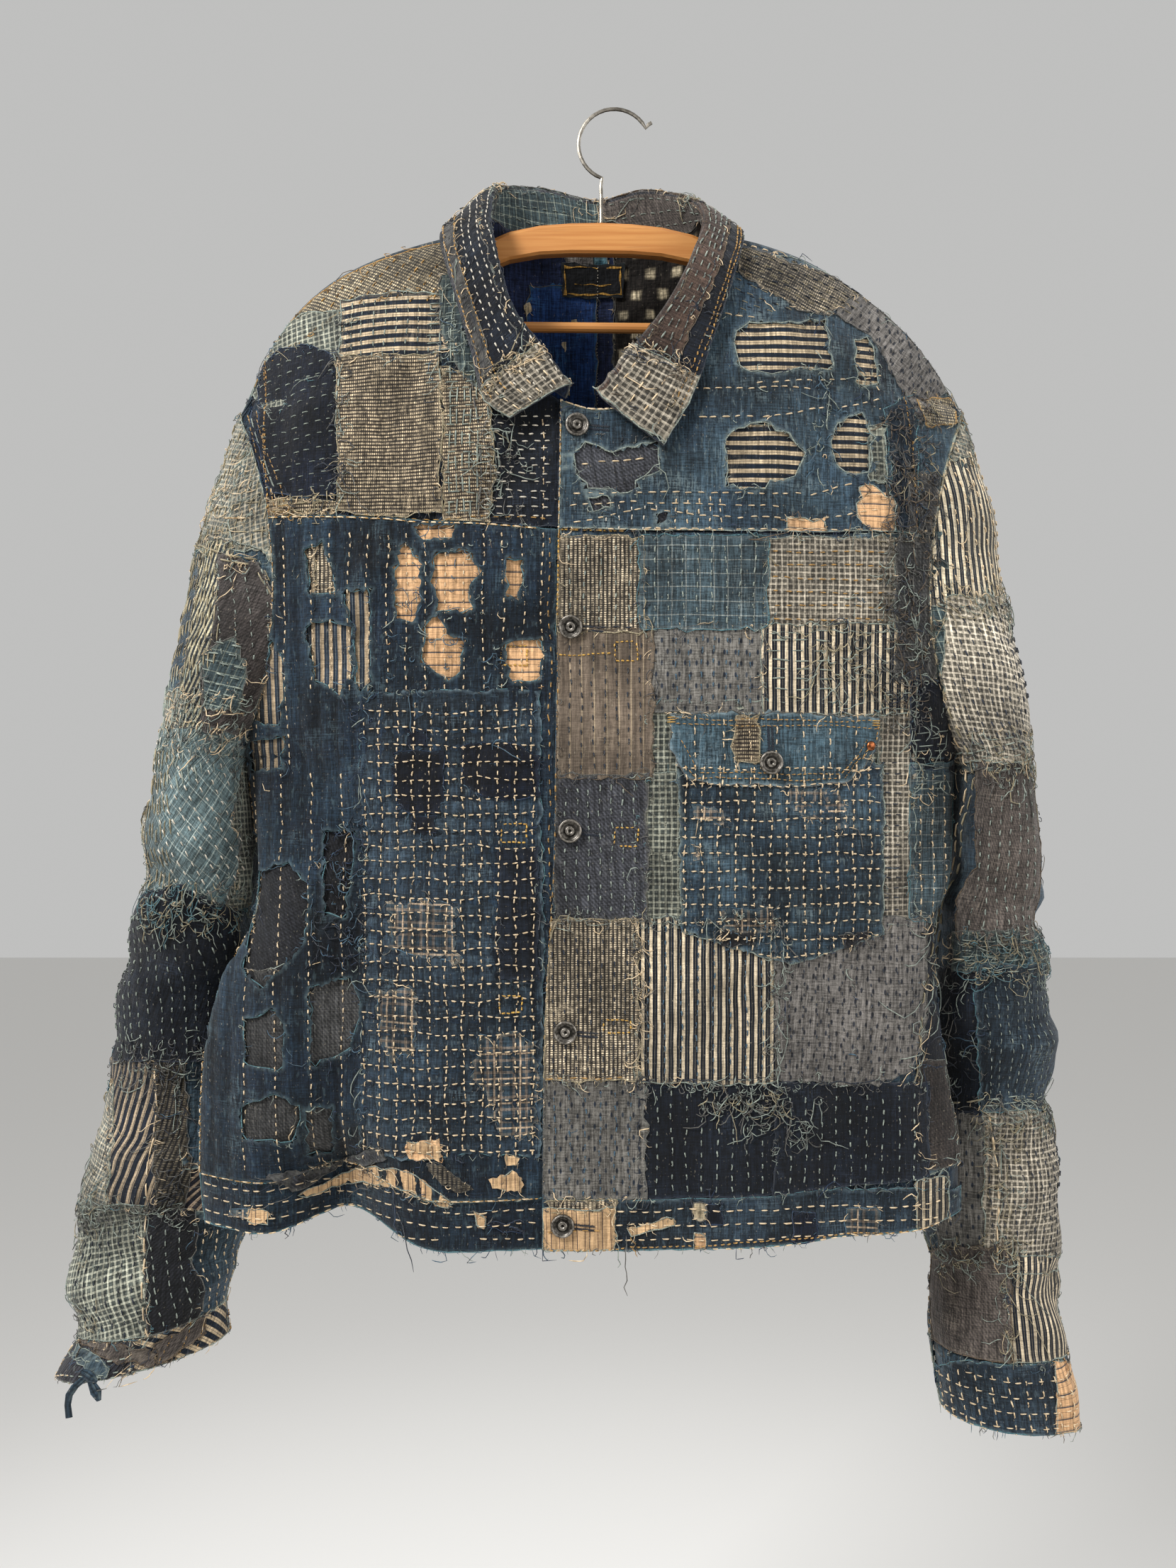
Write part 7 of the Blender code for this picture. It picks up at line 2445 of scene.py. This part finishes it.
def paint_hanger():
    wood = Nodes("beech_grain", roughness=0.45, sheen=0.0)
    stretch = wood.node("ShaderNodeMapping")
    wood.put(stretch.inputs["Vector"], wood.node("ShaderNodeTexCoord").outputs["Object"])
    stretch.inputs["Scale"].default_value = (9.0, 260.0, 260.0)
    grain, flecks = wood.node("ShaderNodeTexNoise"), wood.node("ShaderNodeTexNoise")
    for noise, scale in ((grain, 1.0), (flecks, 3.1)):
        wood.put(noise.inputs["Vector"], stretch.outputs[0])
        wood.put(noise.inputs["Scale"], scale)
    wood.put(grain.inputs["Detail"], 5.0)
    col = wood.mix(wood.step(grain.outputs["Fac"], 0.35, 0.68), "b57539", "c78b4c")
    col = wood.mix(wood.times(wood.step(flecks.outputs["Fac"], 0.62, 0.70), 0.5), col, "a8703f")
    wood.put(wood.shader.inputs["Base Color"], col)
    wood.put(wood.shader.inputs["Specular IOR Level"], 0.4)
    nickel = metal("satin_nickel", "948e84", "6f6a62", 0.46, 300.0)
    looks = {"hanger_wood": wood.material, "hanger_bar": wood.material, "hanger_hook": nickel}
    for node, material in looks.items():
        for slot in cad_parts[node].material_slots:
            slot.material = material


def hang_threads():
    """Loose threads that hang free below the fronts' hem bands."""
    places = (  # face, where it starts, and how far it falls and sways in millimetres
        ("hem_band_front_right", -0.158, -0.797, 66, 18, "dark"),
        ("hem_band_front_right", -0.159, -0.798, 40, 8, "navy"),
        ("hem_band_front_right", -0.238, -0.828, 18, -2, "dark"),
        ("hem_band_front_left", 0.007, -0.835, 40, 1, "grey"),
        ("hem_band_front_left", -0.002, -0.835, 22, 0, "pale"),
        ("hem_band_front_left", 0.012, -0.835, 16, 0, "gold"),
    )
    steps = 9
    for name, x, z, length, sway, tint in places:
        start = FACES[name].at(np.array([x]), np.array([z]))[0] + np.array([0, -0.002, 0])
        fall = np.linspace(0, 1, steps)[:, None] * np.array([sway * MM, 0, -length * MM])
        drift = np.cumsum(rng.normal(0, 0.0016, (steps, 3)) * (1, 0.5, 0.2), axis=0)
        drift[0] = 0
        path = start + fall + drift
        THREADS[name].append((path[None], np.array([0.00045]), tint))


# ---- Build -----------------------------------------------------------------------------------

for name, face in FACES.items():
    lay_patches(face, HEAPS[name])
dress_collar()
dress_back()
pocket = build_pocket()
inside = Lining("lining")
build_lining(inside)
build_label(inside)
for face in FACES.values():
    lay_stitches(face)
    lay_tangles(face)
build_buttons()
hang_threads()
stitches = build_stitches()
threads = build_threads()

for name, fabric in SHEETS.items():
    cloth = base_sheet(FACES[name], fabric)
    parts = [HEAPS[name].build(name + "_patches")] if HEAPS[name].points else []
    parts += [group[name] for group in (stitches, threads) if name in group]
    if name == "front_left":
        parts += pocket
    if name == "cuff_right":
        parts.append(build_tie())
    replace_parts(cloth, name)
    flat_size = span_sizes(FACES[name])
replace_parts(bpy.data.objects["front_left_patches"], "placket_left")
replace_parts(bpy.data.objects["front_right_patches"], "sashiko_patch", "welt_strip")
paint_hanger()


# ---- Studio ------------------------------------------------------------------------------------

FLOOR_Z, FLOOR_REACH = -1.75, 9.0
FLOOR_COLOUR, FLOOR_ROUGHNESS = (0.80, 0.79, 0.77, 1), 0.9
SKY_COLOUR, SKY_STRENGTH = (0.86, 0.86, 0.85, 1), 0.61
LIGHTS = (  # name, place, the height it aims at, size and watts
    ("key", (-1.4, -1.5, 1.15), -0.5, (0.6, 0.7), 29.5),
    ("fill", (1.4, -1.7, -0.3), -0.5, (1.2, 1.4), 6.3),
    ("side_left", (-2.0, -0.4, -0.2), -0.6, (1.0, 1.4), 5.5),
    ("side_right", (2.0, -0.4, -0.2), -0.6, (1.0, 1.4), 6.4),
    ("back_left", (-1.4, 1.7, 0.4), -0.5, (1.2, 1.2), 10.1),
    ("back_right", (1.4, 1.7, 0.2), -0.5, (1.2, 1.2), 7.4),
)
LIGHT_SPREAD = radians(120)
FOCAL_LENGTH, FILM_WIDTH = 32.55, 36  # in millimetres


def put_in(name, data):
    """An object of this kind in the scene."""
    made = bpy.data.objects.new(name, data)
    bpy.context.scene.collection.objects.link(made)
    return made


def lay_floor():
    mesh = bpy.data.meshes.new("floor")
    corners = ((-1, -1), (1, -1), (1, 1), (-1, 1))
    places = [(x * FLOOR_REACH, y * FLOOR_REACH, FLOOR_Z) for x, y in corners]
    mesh.from_pydata(places, [], [(0, 1, 2, 3)])
    pale = bpy.data.materials.new("pale_floor")
    pale.use_nodes = True
    shader = pale.node_tree.nodes["Principled BSDF"]
    shader.inputs["Base Color"].default_value = FLOOR_COLOUR
    shader.inputs["Roughness"].default_value = FLOOR_ROUGHNESS
    mesh.materials.append(pale)
    put_in("floor", mesh)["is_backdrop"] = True


def light_sky():
    world = bpy.data.worlds.new("studio")
    world.use_nodes = True
    background = world.node_tree.nodes["Background"]
    background.inputs["Color"].default_value = SKY_COLOUR
    background.inputs["Strength"].default_value = SKY_STRENGTH
    bpy.context.scene.world = world


def soft_light(name, place, aim, size, watts):
    lamp = bpy.data.lights.new(name, "AREA")
    lamp.shape = "RECTANGLE"
    lamp.size, lamp.size_y = size
    lamp.energy = watts
    lamp.spread = LIGHT_SPREAD
    made = put_in(name, lamp)
    made.location = place
    way = Vector((0, 0, aim)) - Vector(place)
    made.rotation_euler = way.to_track_quat("-Z", "Y").to_euler()
    made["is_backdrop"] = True


def set_camera():
    lens = bpy.data.cameras.new("camera")
    lens.lens, lens.sensor_width = FOCAL_LENGTH, FILM_WIDTH
    camera = put_in("camera", lens)
    camera.location = EYE
    camera.rotation_euler = (pi / 2, 0, 0)
    bpy.context.scene.camera = camera


lay_floor()
light_sky()
for light in LIGHTS:
    soft_light(*light)
set_camera()
bpy.context.scene.view_settings.view_transform = "Standard"

plain_box = lambda box: [[float(x) for x in corner] for corner in box]
{"cad": plain_box(cad_box), "visual": plain_box(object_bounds())}
